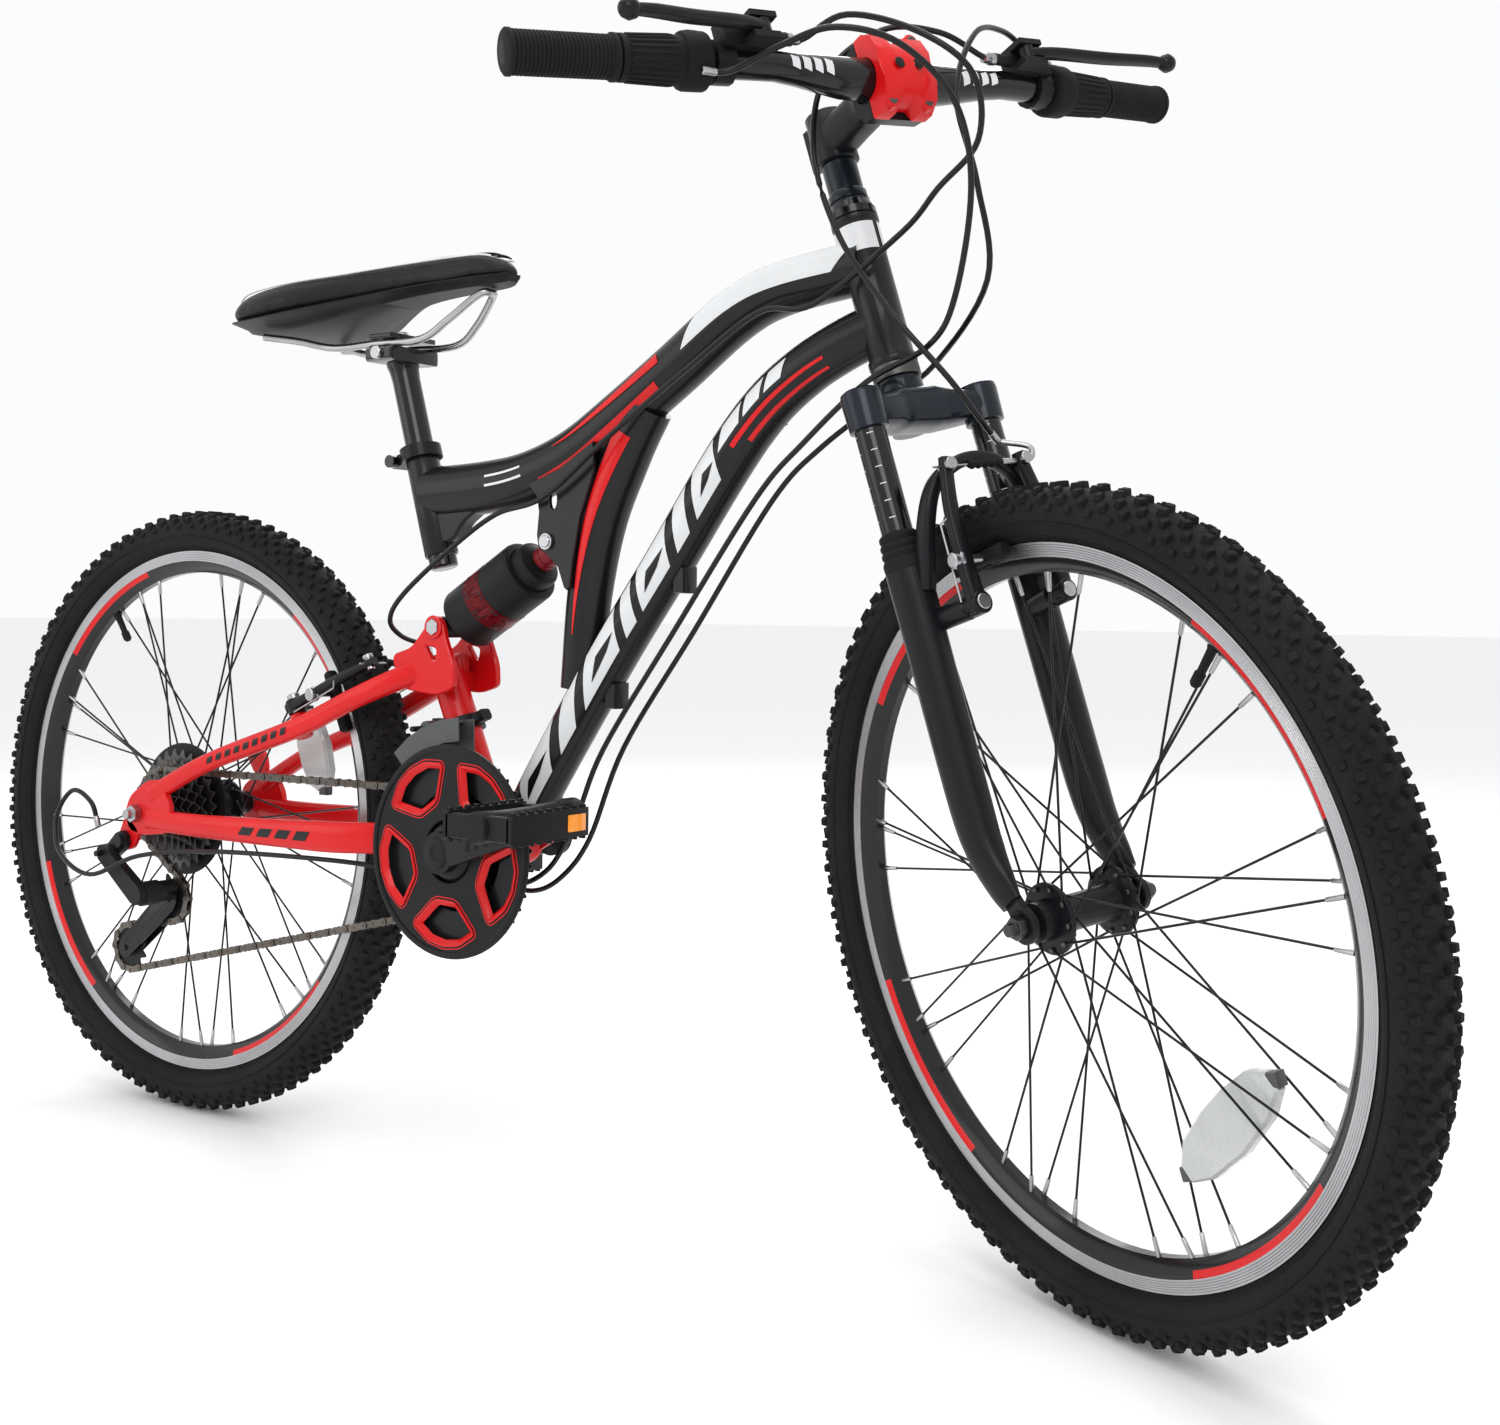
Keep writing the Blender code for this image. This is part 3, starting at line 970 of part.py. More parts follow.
def brake_arm(place_point, out_dir, up_dir, side):
    """A V-brake arm with its pad, on the pin that points along out_dir."""
    def at(out, radial, y):
        return place_point(side, out, radial, y)
    low = at(0.0200, 0, BRAKE_BOSS_Y)
    arm = sweep([at(0.0215, -0.004, BRAKE_BOSS_Y), at(0.0215, 0.025, BRAKE_BOSS_Y + 0.0015),
                 at(0.0215, 0.070, BRAKE_BOSS_Y + 0.0010), at(0.0215, ARM_TALL, BRAKE_BOSS_Y - 0.0060)],
                [(0.0075, 0.0060), (0.0065, 0.0050), (0.0055, 0.0045), (0.0050, 0.0040)], block_section())
    eye = rod(low - out_dir * 0.0062, low + out_dir * 0.0080, 0.0085, 14)
    post = rod(at(0.0200, PAD_RADIAL, BRAKE_BOSS_Y + 0.0075), at(0.0200, PAD_RADIAL, PAD_FACE + 0.006), 0.0035, 10)
    tilt = at(0, 1, 0) - at(0, 0, 0)
    rail = tilt.cross(Y).normalized()
    pad_middle = at(0.0120, PAD_RADIAL, PAD_FACE + 0.0055)
    pad = sweep([pad_middle - rail * 0.030, pad_middle - rail * 0.024, pad_middle + rail * 0.024,
                 pad_middle + rail * 0.030],
                [(0.0045, 0.0038), (0.0055, 0.0048), (0.0055, 0.0048), (0.0045, 0.0038)], block_section())
    body = union(arm, eye, post, pad)
    return cut_bore(body, at(-0.01, 0, BRAKE_BOSS_Y), at(0.06, 0, BRAKE_BOSS_Y), bore_for(PIN_R, 12), 12)


for side, word in ((-1, "right"), (1, "left")):
    joint_axis("rear_brake_axis_" + word, "swing_axis", Matrix.Translation(brake_point(side, 0, 0)))
    place("rear_brake_arm_" + word, brake_arm(brake_point, BRAKE_OUT, BRAKE_RADIAL, side), "black_satin",
          "rear_brake_axis_" + word)

# ------------------------------------------------------------------ steering
joint_axis("steer_axis", None, STEER)


def fork_crown():
    steerer = rod((0, 0, CROWN_Z - 0.005), (0, 0, 0.5990), STEERER_R, 18)
    upper = rod((0, 0, 0.5980), (0, 0, 0.6370), QUILL_R, 20)
    race = rod((0, 0, CROWN_Z - 0.010), (0, 0, 0.4165 - GAP), 0.0185, 18)
    crown = sweep([(STANCHION_T, -STANCHION_Y - 0.004, CROWN_Z), (0.0170, -0.040, CROWN_Z),
                   (0.0080, -0.018, CROWN_Z + 0.003), (0.0080, 0.018, CROWN_Z + 0.003), (0.0170, 0.040, CROWN_Z),
                   (STANCHION_T, STANCHION_Y + 0.004, CROWN_Z)],
                  [(0.0105, 0.0140), (0.0120, 0.0165), (0.0160, 0.0210), (0.0160, 0.0210), (0.0120, 0.0165),
                   (0.0105, 0.0140)], block_section(), Z)
    parts = [upper, race, crown]
    for side in (-1, 1):
        top = Vector((STANCHION_T, side * STANCHION_Y, CROWN_Z))
        parts.append(turned([(-CROWN_H / 2, 0.0150), (CROWN_H / 2 - 0.002, 0.0158), (CROWN_H / 2, 0.0140)], top, Z, 14))
        parts.append(rod((top.x, top.y, 0.1300), (top.x, top.y, CROWN_Z), STANCHION_R, 14))
    return union(steerer, *parts)


def fork_lowers():
    legs = []
    for side in (-1, 1):
        y = side * STANCHION_Y
        leg = sweep([(STANCHION_T, y, LEG_TOP), (STANCHION_T, y, 0.2000), (STANCHION_T, y, 0.0900),
                     (0.0245, y, 0.0550), (0.0320, y, 0.0300), (0.0375, y, 0.0165)],
                    [(0.0165, 0.0165), (0.0160, 0.0160), (0.0155, 0.0155), (0.0135, 0.0145), (0.0085, 0.0135),
                     (0.0050, 0.0110)], circle_section(12))
        boot = turned([(0, 0.0160), (0.008, 0.0160), (0.012, 0.0148), (0.016, 0.0158), (0.020, 0.0146),
                       (0.024, 0.0152), (0.028, 0.0140)], Vector((STANCHION_T, y, LEG_TOP - 0.001)), Z, 12)
        ring = [(AXLE_LOCAL.x + 0.0130 * cos(a), 0.0130 * sin(a)) for a in (2 * pi * k / 12 for k in range(12))]
        dropout = plate(ring, side * FRONT_DROPOUT, side * (FRONT_DROPOUT + 0.006))
        neck = plate([(0.0300, 0.0280), (0.0400, 0.0290), (0.0520, 0.0060), (0.0330, 0.0040), (0.0290, 0.0180)],
                     side * FRONT_DROPOUT, side * (FRONT_DROPOUT + 0.006))
        boss = union(rod((0.026, side * 0.0470, BRAKE_BOSS_UP), (0.0605, side * BRAKE_BOSS_Y, BRAKE_BOSS_UP), 0.0085, 12),
                     rod((0.040, side * BRAKE_BOSS_Y, BRAKE_BOSS_UP), (0.0785, side * BRAKE_BOSS_Y, BRAKE_BOSS_UP),
                         PIN_R, 12))
        legs += [leg, boot, dropout, neck, boss]
    arch_half = [(0.0340, -0.0530, 0.2450), (0.0480, -0.0500, 0.2850), (0.0560, -0.0400, 0.3130),
                 (0.0600, -0.0200, 0.3270), (0.0610, 0, 0.3310)]
    path = smooth_path(arch_half + [(x, -y, z) for x, y, z in reversed(arch_half[:-1])], 2)
    sizes = blend_sizes([(0.0075, 0.0060), (0.0060, 0.0050), (0.0050, 0.0046), (0.0060, 0.0050), (0.0075, 0.0060)],
                        len(path))
    arch = sweep(path, sizes, block_section(), X)
    body = union(legs[0], *legs[1:], arch)
    for side in (-1, 1):
        y = side * STANCHION_Y
        cut_bore(body, (STANCHION_T, y, 0.0780), (STANCHION_T, y, 0.32), bore_for(STANCHION_R, 14), 14)
    return cut_bore(body, AXLE_LOCAL - Y * 0.09, AXLE_LOCAL + Y * 0.09, AXLE_R + GAP, 16)


place("fork_crown", fork_crown(), "black_gloss", "steer_axis", STEER)
joint_axis("fork_axis", "steer_axis", STEER)
place("fork_lowers", fork_lowers(), "black_satin", "fork_axis", STEER)
place("front_axle", axle(AXLE_LOCAL, FRONT_DROPOUT, FRONT_DROPOUT + 0.006, FRONT_DROPOUT - 0.0045), "steel",
      "fork_axis", STEER)
joint_axis("front_wheel_axis", "fork_axis", STEER @ Matrix.Translation(AXLE_LOCAL))
place("front_tyre", loop_section(tyre_profile(), AXLE_LOCAL, Y, WHEEL_SEGMENTS), "rubber", "front_wheel_axis", STEER)
place("front_rim", loop_section(rim_profile(), AXLE_LOCAL, Y, WHEEL_SEGMENTS), "black_gloss", "front_wheel_axis",
      STEER)
place("front_hub", hub(AXLE_LOCAL, 0.0300, 0.0300, FRONT_DROPOUT - 0.0050, FRONT_DROPOUT - 0.0050), "black_satin",
      "front_wheel_axis", STEER)


def front_brake_point(side, out, radial, y=None):
    return Vector((0.0490 + out, side * (BRAKE_BOSS_Y if y is None else y), BRAKE_BOSS_UP + radial))


for side, word in ((-1, "right"), (1, "left")):
    pivot = STEER @ Matrix.Translation(Vector((0, side * BRAKE_BOSS_Y, BRAKE_BOSS_UP)))
    joint_axis("front_brake_axis_" + word, "fork_axis", pivot)
    place("front_brake_arm_" + word, brake_arm(front_brake_point, X, Z, side), "black_satin",
          "front_brake_axis_" + word, STEER)

# ------------------------------------------------------- stem and handlebar
BAR_BULGE_R = 0.0158
BAR_MID = Vector((BAR_T, 0, BAR_Z))
BAR_STOPS = [(0, 0.0, 0.0), (0.045, 0.0002, 0.0002), (0.105, 0.0042, 0.0030), (BAR_HALF, -BAR_SWEEP, BAR_RISE)]


def on_bar(side, y, ahead=0.0, up=0.0):
    """A point on the handlebar at a distance y from its middle."""
    for (y1, x1, z1), (y2, x2, z2) in zip(BAR_STOPS, BAR_STOPS[1:]):
        if y <= y2:
            break
    share = (y - y1) / (y2 - y1)
    return Vector((BAR_T + x1 + (x2 - x1) * share + ahead, side * y, BAR_Z + z1 + (z2 - z1) * share + up))


def bar_path(side, *stops):
    return [on_bar(side, y) for y in stops]


def handlebar():
    stops = [0.297, 0.105, 0.085, 0.045, 0.026]
    radii = [BAR_END_R, BAR_END_R, BAR_END_R + 0.0004, BAR_BULGE_R - 0.001, BAR_BULGE_R]
    points = bar_path(-1, *stops) + bar_path(1, *reversed(stops))
    sizes = [(r, r) for r in radii + radii[::-1]]
    return sweep(points, sizes, circle_section(12), Z)


def bar_sleeve(side, stops, radii, end_cap=0.0, bore=BAR_END_R + GAP):
    """A sleeve round the handlebar's straight part with its bore cut out."""
    outer = sweep(bar_path(side, *stops), [(r, r) for r in radii], circle_section(12), Z)
    first = stops[0] - 0.01
    last = stops[-1] - end_cap if end_cap else stops[-1] + 0.01
    reach = [on_bar(side, y) for y in (first, last)]
    return cut(outer, sweep(reach, (bore, bore), circle_section(12), Z))


def stem():
    clamp = rod((0, 0, 0.5995), (0, 0, 0.6410), 0.0172, 20)
    beam = sweep([(0.004, 0, 0.6190), (0.050, 0, 0.6200), (0.066, 0, 0.6220)],
                 [(0.0150, 0.0165), (0.0140, 0.0150), (0.0200, 0.0200)], block_section())
    head = plate([(0.0640, 0.6400), (0.0640, 0.6040), (0.0720, 0.5930), (BAR_T - GAP, 0.5910),
                  (BAR_T - GAP, 0.6530), (0.0720, 0.6510)], -0.0235, 0.0235)
    ears = box((-0.0240, -0.0090, 0.6020), (-0.0120, 0.0090, 0.6390))
    body = union(clamp, beam, head, ears)
    cut_bore(body, (0, 0, 0.58), (0, 0, 0.6375), QUILL_R + GAP, 20)
    return cut_bore(body, BAR_MID - Y * 0.05, BAR_MID + Y * 0.05, BAR_BULGE_R + 2.5 * GAP, 20)


def stem_faceplate():
    body = plate([(BAR_T + GAP, 0.5900), (BAR_T + 0.0100, 0.5900), (BAR_T + 0.0240, 0.6020), (BAR_T + 0.0280, 0.6220),
                  (BAR_T + 0.0240, 0.6420), (BAR_T + 0.0100, 0.6540), (BAR_T + GAP, 0.6540)], -0.0240, 0.0240)
    return cut_bore(body, BAR_MID - Y * 0.05, BAR_MID + Y * 0.05, BAR_BULGE_R + 2.5 * GAP, 20)


place("stem", stem(), "black_satin", "steer_axis", STEER)
place("stem_faceplate", stem_faceplate(), "red_paint", "steer_axis", STEER)
place("handlebar", handlebar(), "black_gloss", "steer_axis", STEER)
LEVER_PIVOT = 0.122
LEVER_UP = 0.0145           # lever's middle above the bar
LEVER_AHEAD = 0.0240
SHIFTER_TO = GRIP_FROM - 2 * GAP
SHIFTER_FROM = 0.1560


def lever_pivot(side):
    return on_bar(side, LEVER_PIVOT, LEVER_AHEAD, LEVER_UP)


def lever_bracket(side):
    clamp = sweep(bar_path(side, 0.139, 0.153), (0.0155, 0.0155), circle_section(12), Z)
    pivot = lever_pivot(side)
    x, z = pivot.x, pivot.z
    y_low, y_high = sorted((side * 0.112, side * 0.150))
    neck = box((x - 0.0210, y_low, z - 0.0110), (x - 0.0072, y_high, z + 0.0100))
    ears = []
    y_ear = sorted((side * 0.112, side * 0.134))
    for low, high in ((z - 0.0105, z - 0.0056), (z + 0.0056, z + 0.0100)):
        ears.append(box((x - 0.010, y_ear[0], low), (x + 0.0065, y_ear[1], high)))
    pin = rod((x, pivot.y, z - 0.0105), (x, pivot.y, z + 0.0110), 0.0025, 12)
    barrel = rod((x - 0.0120, side * 0.114, z), (x - 0.0110, side * 0.0950, z + 0.0005), 0.0045, 10)
    body = union(clamp, neck, *ears, pin, barrel)
    bore = BAR_END_R + GAP
    return cut(body, sweep(bar_path(side, 0.106, 0.170), (bore, bore), circle_section(12), Z))


def brake_lever(side):
    p = lever_pivot(side)
    reach = [(0, 0, 0), (0.0070, 0.024, -0.0020), (0.0160, 0.066, -0.0080), (0.0240, 0.100, -0.0120),
             (0.0280, 0.1210, -0.0150)]
    path = [p + Vector((x, y * side, z)) for x, y, z in reach]
    blade = sweep(path, [(0.0040, 0.0058), (0.0040, 0.0060), (0.0038, 0.0062), (0.0036, 0.0060), (0.0036, 0.0050)],
                  block_section(), Z)
    eye = rod(p - Z * 0.0053, p + Z * 0.0053, 0.0062, 14)
    ball = turned([(-0.0072, 0.0020), (-0.0055, 0.0052), (0, 0.0076), (0.0055, 0.0052), (0.0072, 0.0020)],
                  path[-1], Y, 12)
    return cut_bore(union(blade, eye, ball), p - Z * 0.02, p + Z * 0.02, bore_for(0.0025, 12), 12)


for side, word in ((-1, "right"), (1, "left")):
    place("grip_" + word, bar_sleeve(side, (GRIP_FROM, GRIP_FROM + 0.004, 0.296, BAR_HALF),
                                     (GRIP_R + 0.0015, GRIP_R, GRIP_R, GRIP_R + 0.0010), 0.0024),
          "rubber", "steer_axis", STEER)
    along = (on_bar(side, 0.25) - on_bar(side, 0.15)).normalized()
    turn = Matrix.Translation(on_bar(side, (SHIFTER_FROM + SHIFTER_TO) / 2))
    joint_axis("shifter_axis_" + word, "steer_axis", STEER @ turn)
    place("twist_shifter_" + word, bar_sleeve(side, (SHIFTER_FROM, 0.159, 0.176, 0.180, 0.218, SHIFTER_TO),
                                              (0.0180, 0.0205, 0.0205, 0.0175, 0.0160, 0.0165),
                                              bore=bore_for(BAR_END_R, 12)),
          "rubber", "shifter_axis_" + word, STEER)
    place("lever_bracket_" + word, lever_bracket(side), "black_satin", "steer_axis", STEER)
    joint_axis("lever_axis_" + word, "steer_axis", STEER @ Matrix.Translation(lever_pivot(side)))
    place("brake_lever_" + word, brake_lever(side), "black_satin", "lever_axis_" + word, STEER)

# -------------------------------------------------------------------- cables
CABLE_R = 0.0024


def steered(*points):
    return [STEER @ Vector(p) for p in points]


def cable(points, steps=2):
    return sweep(smooth_path(points, steps), (CABLE_R, CABLE_R), circle_section(6), Z)


def lever_end(side, back=0.0):
    """Where a brake cable leaves its lever, just clear of the barrel."""
    p = lever_pivot(side)
    return (p.x - 0.0110 + back * 0.2, side * (0.0940 - back), p.z + 0.0005)


def shifter_end(side, ahead, up, back=0.0):
    """Where a shift cable leaves its shifter, just clear of its side."""
    p = on_bar(side, 0.172 - back)
    return (p.x + ahead, p.y, p.z + up)


place("front_brake_cable", cable([lever_end(1), lever_end(1, 0.012), (0.098, 0.050, 0.660), (0.080, 0.010, 0.669),
                                  (0.050, -0.030, 0.645), (0.032, -0.046, 0.590), (0.034, -0.045, 0.520),
                                  (0.055, -0.034, 0.450), (0.070, -0.010, 0.390), (0.068, 0.010, 0.3580),
                                  (0.060, 0.0280, 0.3420)]), "rubber", "steer_axis", STEER)
place("rear_brake_cable", cable(
    steered(lever_end(-1), lever_end(-1, 0.012), (0.1360, -0.066, 0.640), (0.1700, -0.036, 0.6080),
            (0.1800, -0.008, 0.5720), (0.1540, 0.004, 0.5360), (0.1080, -0.004, 0.5220))
    + [Vector(p) for p in ((0.8400, -0.0300, 0.7900), (0.7600, -0.0270, 0.7440), (0.7080, -0.0270, 0.7420),
                           (0.6400, -0.0290, 0.7020), (0.5600, -0.0310, 0.6500), (0.4900, -0.0310, 0.6020),
                           (0.4300, -0.0270, 0.5880), (0.3820, -0.0330, 0.5580), (0.3300, -0.0380, 0.5180),
                           (0.3050, -0.0300, 0.4950), (0.2960, -0.0080, 0.4800), (0.2925, 0.0220, 0.4720))]), "rubber")
place("rear_shift_cable", cable(
    steered(shifter_end(-1, 0.0168, -0.0168), shifter_end(-1, 0.0200, -0.0180, 0.020), (0.1330, -0.128, 0.6120),
            (0.1600, -0.100, 0.6120), (0.1760, -0.062, 0.5930),
            (0.1780, -0.030, 0.5500), (0.1550, -0.016, 0.4980), (0.1050, -0.014, 0.4380), (0.0640, -0.016, 0.4180))
    + [Vector(p) for p in ((0.8080, -0.0250, 0.6810), (0.7440, -0.0150, 0.6380), (0.6980, -0.0130, 0.5960),
                           (0.6180, -0.0135, 0.4890), (0.5450, -0.0135, 0.3890), (0.5160, -0.0150, 0.3260),
                           (0.4900, -0.0220, 0.2820), (0.4420, -0.0290, 0.2660), (0.3400, -0.0340, 0.2700),
                           (0.2600, -0.0560, 0.2760), (0.1200, -0.0740, 0.2740), (0.0300, -0.0880, 0.2640),
                           (-0.0300, -0.0990, 0.2420), (-0.0780, -0.1000, 0.2600), (-0.0920, -0.0950, 0.2940),
                           (-0.0760, -0.0890, 0.3200), (-0.0500, -0.0860, 0.3100), (-0.0420, -0.0830, 0.2860))]),
    "rubber")
place("front_shift_cable", cable(
    steered(shifter_end(1, 0.002, 0.0236), shifter_end(1, 0.004, 0.0290, 0.022), (0.1020, 0.112, 0.6640),
            (0.1240, 0.060, 0.6440),
            (0.1240, 0.024, 0.5900), (0.1240, 0.020, 0.5200), (0.0950, 0.030, 0.4560))
    + [Vector(p) for p in ((0.8300, 0.0380, 0.7000), (0.7900, 0.0330, 0.6760), (0.7420, 0.0150, 0.6380), (0.6960, 0.0130, 0.5960),
                           (0.6180, 0.0135, 0.4890), (0.5450, 0.0135, 0.3890), (0.5100, 0.0110, 0.3080),
                           (0.4820, 0.0050, 0.2720), (0.4480, 0.0060, 0.2580), (0.4100, 0.0080, 0.2640))]), "rubber")
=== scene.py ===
"""Looks of the full-suspension mountain bike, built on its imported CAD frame.

Everything is in metres in the row frame: the rear tyre touches the ground at
the origin, +X forwards, +Y to the rider's left, +Z up.
"""
from math import acos, atan2, ceil, cos, degrees, hypot, pi, radians, sin

import bmesh
import bpy
from mathutils import Matrix, Vector


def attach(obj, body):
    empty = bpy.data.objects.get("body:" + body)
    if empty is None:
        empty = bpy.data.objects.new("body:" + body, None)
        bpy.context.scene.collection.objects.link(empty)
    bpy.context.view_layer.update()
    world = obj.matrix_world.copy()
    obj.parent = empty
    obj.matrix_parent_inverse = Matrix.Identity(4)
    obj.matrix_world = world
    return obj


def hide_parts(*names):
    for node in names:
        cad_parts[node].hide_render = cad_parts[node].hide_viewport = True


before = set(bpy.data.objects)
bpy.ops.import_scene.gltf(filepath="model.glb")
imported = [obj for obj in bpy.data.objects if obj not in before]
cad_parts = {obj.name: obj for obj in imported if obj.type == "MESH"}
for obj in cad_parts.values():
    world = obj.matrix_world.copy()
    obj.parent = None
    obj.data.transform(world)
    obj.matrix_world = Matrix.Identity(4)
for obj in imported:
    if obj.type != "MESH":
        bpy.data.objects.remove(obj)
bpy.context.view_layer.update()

X, Y, Z = Vector((1, 0, 0)), Vector((0, 1, 0)), Vector((0, 0, 1))
ORIGIN = Vector((0, 0, 0))

# ------------------------------------------------- sizes shared with the CAD
TYRE_R, RIM_R, RIM_W, RIM_DEPTH, TRACK_H = 0.301, 0.26, 0.0238, 0.0215, 0.01
HEAD_ANGLE, SEAT_ANGLE, STEER_REST = radians(72), radians(73), radians(-24)
WHEELBASE, FORK_OFFSET = 0.99, 0.0425
REAR_AXLE = Vector((0, 0, TYRE_R))
FORK_FORWARD = Vector((sin(HEAD_ANGLE), 0, cos(HEAD_ANGLE)))
FORK_UP = Vector((-cos(HEAD_ANGLE), 0, sin(HEAD_ANGLE)))
STEER_POINT = Vector((WHEELBASE, 0, TYRE_R)) - FORK_FORWARD * FORK_OFFSET
STEER = (Matrix.Translation(STEER_POINT) @ Matrix.Rotation(HEAD_ANGLE - pi / 2, 4, "Y")
         @ Matrix.Rotation(STEER_REST, 4, "Z"))
AXLE_LOCAL = Vector((FORK_OFFSET, 0, 0))
BB = Vector((0.416, 0, 0.2975))
PIVOT = Vector((0.462, 0, 0.322))
SHOCK_LOW, SHOCK_TOP = Vector((0.361, 0, 0.489)), Vector((0.487, 0, 0.564))
YOKE = Vector((0.3455, 0, 0.452))
SEAT_UP = Vector((-cos(SEAT_ANGLE), 0, sin(SEAT_ANGLE)))
SEAT_FOOT = Vector((0.3385, 0, 0.554))
CRANK, CRANK_ANGLE = 0.16, radians(16)
CRANK_DIR = Vector((cos(CRANK_ANGLE), 0, sin(CRANK_ANGLE)))
CHAIN_Y, CHAIN_PITCH, RING_STEP, COG_STEP = -0.039, 0.0127, 0.0075, 0.005
RING_TEETH, COG_TEETH, PULLEY_TEETH, CHAIN_COG = (24, 34, 42), (28, 24, 22, 20, 18, 16, 14), 11, 3
GUIDE_PULLEY, TENSION_PULLEY = Vector((0.0165, CHAIN_Y, 0.215)), Vector((-0.05, CHAIN_Y, 0.16))
CRANK_IN, CRANK_SPLAY, RING_BOLTS_R = 0.0705, 0.0135, 0.05
GUARD_R, GUARD_Y = 0.0915, -0.062
LEVER_PIVOT = (0.122, 0.024, 0.0145)      # along the bar, ahead, up
BAR_MID = Vector((0.0838, 0, 0.622))
BAR_STOPS = [(0, 0.0, 0.0), (0.045, 0.0002, 0.0002), (0.105, 0.0042, 0.003), (0.3, -0.0171, 0.0106)]
STANCHION_Y, STANCHION_T = 0.055, 0.0215
BRAKE_ANGLE, BRAKE_BOSS_UP, BRAKE_BOSS_Y = radians(24.5), 0.2215, 0.04
BRAKE_RADIAL = Vector((cos(BRAKE_ANGLE), 0, sin(BRAKE_ANGLE)))
BRAKE_OUT = Vector((-sin(BRAKE_ANGLE), 0, cos(BRAKE_ANGLE)))
SIDES = ((-1, "right"), (1, "left"))
FINE = 0.00025              # trim stands this far off what it lies on


# ------------------------------------------------------------------ materials
def node(tree, kind, inputs=None, **settings):
    made = tree.nodes.new(kind)
    for key, value in settings.items():
        setattr(made, key, value)
    for key, value in (inputs or {}).items():
        if isinstance(value, bpy.types.NodeSocket):
            tree.links.new(value, made.inputs[key])
        else:
            made.inputs[key].default_value = value
    return made


def finish_material(name, color, rough, metal=0.0, grain=900.0, bump=0.05, vary=0.25, coat=0.0, wear=0.12,
                    stretch=(1, 1, 1)):
    """A surface with grain, blotchy colour and roughness, and a coat."""
    material = bpy.data.materials.new(name)
    material.use_nodes = True
    tree = material.node_tree
    shader = tree.nodes["Principled BSDF"]
    place = node(tree, "ShaderNodeTexCoord").outputs["Object"]
    mapped = node(tree, "ShaderNodeMapping", {"Vector": place, "Scale": stretch}).outputs[0]
    blotch = node(tree, "ShaderNodeTexNoise", {"Vector": mapped, "Scale": 14.0, "Detail": 5.0,
                                               "Roughness": 0.6})
    fine = node(tree, "ShaderNodeTexNoise", {"Vector": mapped, "Scale": grain, "Detail": 3.0,
                                             "Roughness": 0.7})
    ramp = node(tree, "ShaderNodeMapRange", {"Value": blotch.outputs["Fac"], "From Min": 0.3, "From Max": 0.7,
                                             "To Min": 1 - vary, "To Max": 1 + vary}).outputs[0]
    shade = node(tree, "ShaderNodeVectorMath", {0: tuple(color), "Scale": ramp}, operation="SCALE").outputs[0]
    tree.links.new(shade, shader.inputs["Base Color"])
    spread = node(tree, "ShaderNodeMapRange", {"Value": fine.outputs["Fac"], "From Min": 0.3, "From Max": 0.7,
                                               "To Min": rough - wear * rough,
                                               "To Max": rough + wear * rough})
    tree.links.new(spread.outputs[0], shader.inputs["Roughness"])
    dent = node(tree, "ShaderNodeBump", {"Height": fine.outputs["Fac"], "Strength": bump, "Distance": 0.0006})
    tree.links.new(dent.outputs[0], shader.inputs["Normal"])
    shader.inputs["Metallic"].default_value = metal
    shader.inputs["Specular IOR Level"].default_value = 0.5 if metal > 0.8 else 0.17
    shader.inputs["Coat Weight"].default_value = coat
    shader.inputs["Coat Roughness"].default_value = 0.12
    return material


def reflector_material(name, color, painted_glow=0.0):
    """A moulded reflector: small prisms in a honeycomb under clear plastic, with an optional painted glow
    from emission.
    """
    made = finish_material(name, color, 0.16, 0.0, 400, 0.02, 0.1, 1.0)
    tree = made.node_tree
    shader = tree.nodes["Principled BSDF"]
    place = node(tree, "ShaderNodeTexCoord").outputs["Object"]
    cells = node(tree, "ShaderNodeTexVoronoi", {"Vector": place, "Scale": 330.0, "Randomness": 0.15},
                 feature="DISTANCE_TO_EDGE")
    dent = node(tree, "ShaderNodeBump", {"Height": cells.outputs["Distance"], "Strength": 0.8,
                                         "Distance": 0.001})
    tree.links.new(dent.outputs[0], shader.inputs["Normal"])
    # painted glow: the emission makes the reflector shine though it is no lamp
    shader.inputs["Emission Color"].default_value = (*color, 1)
    shader.inputs["Emission Strength"].default_value = painted_glow
    return made


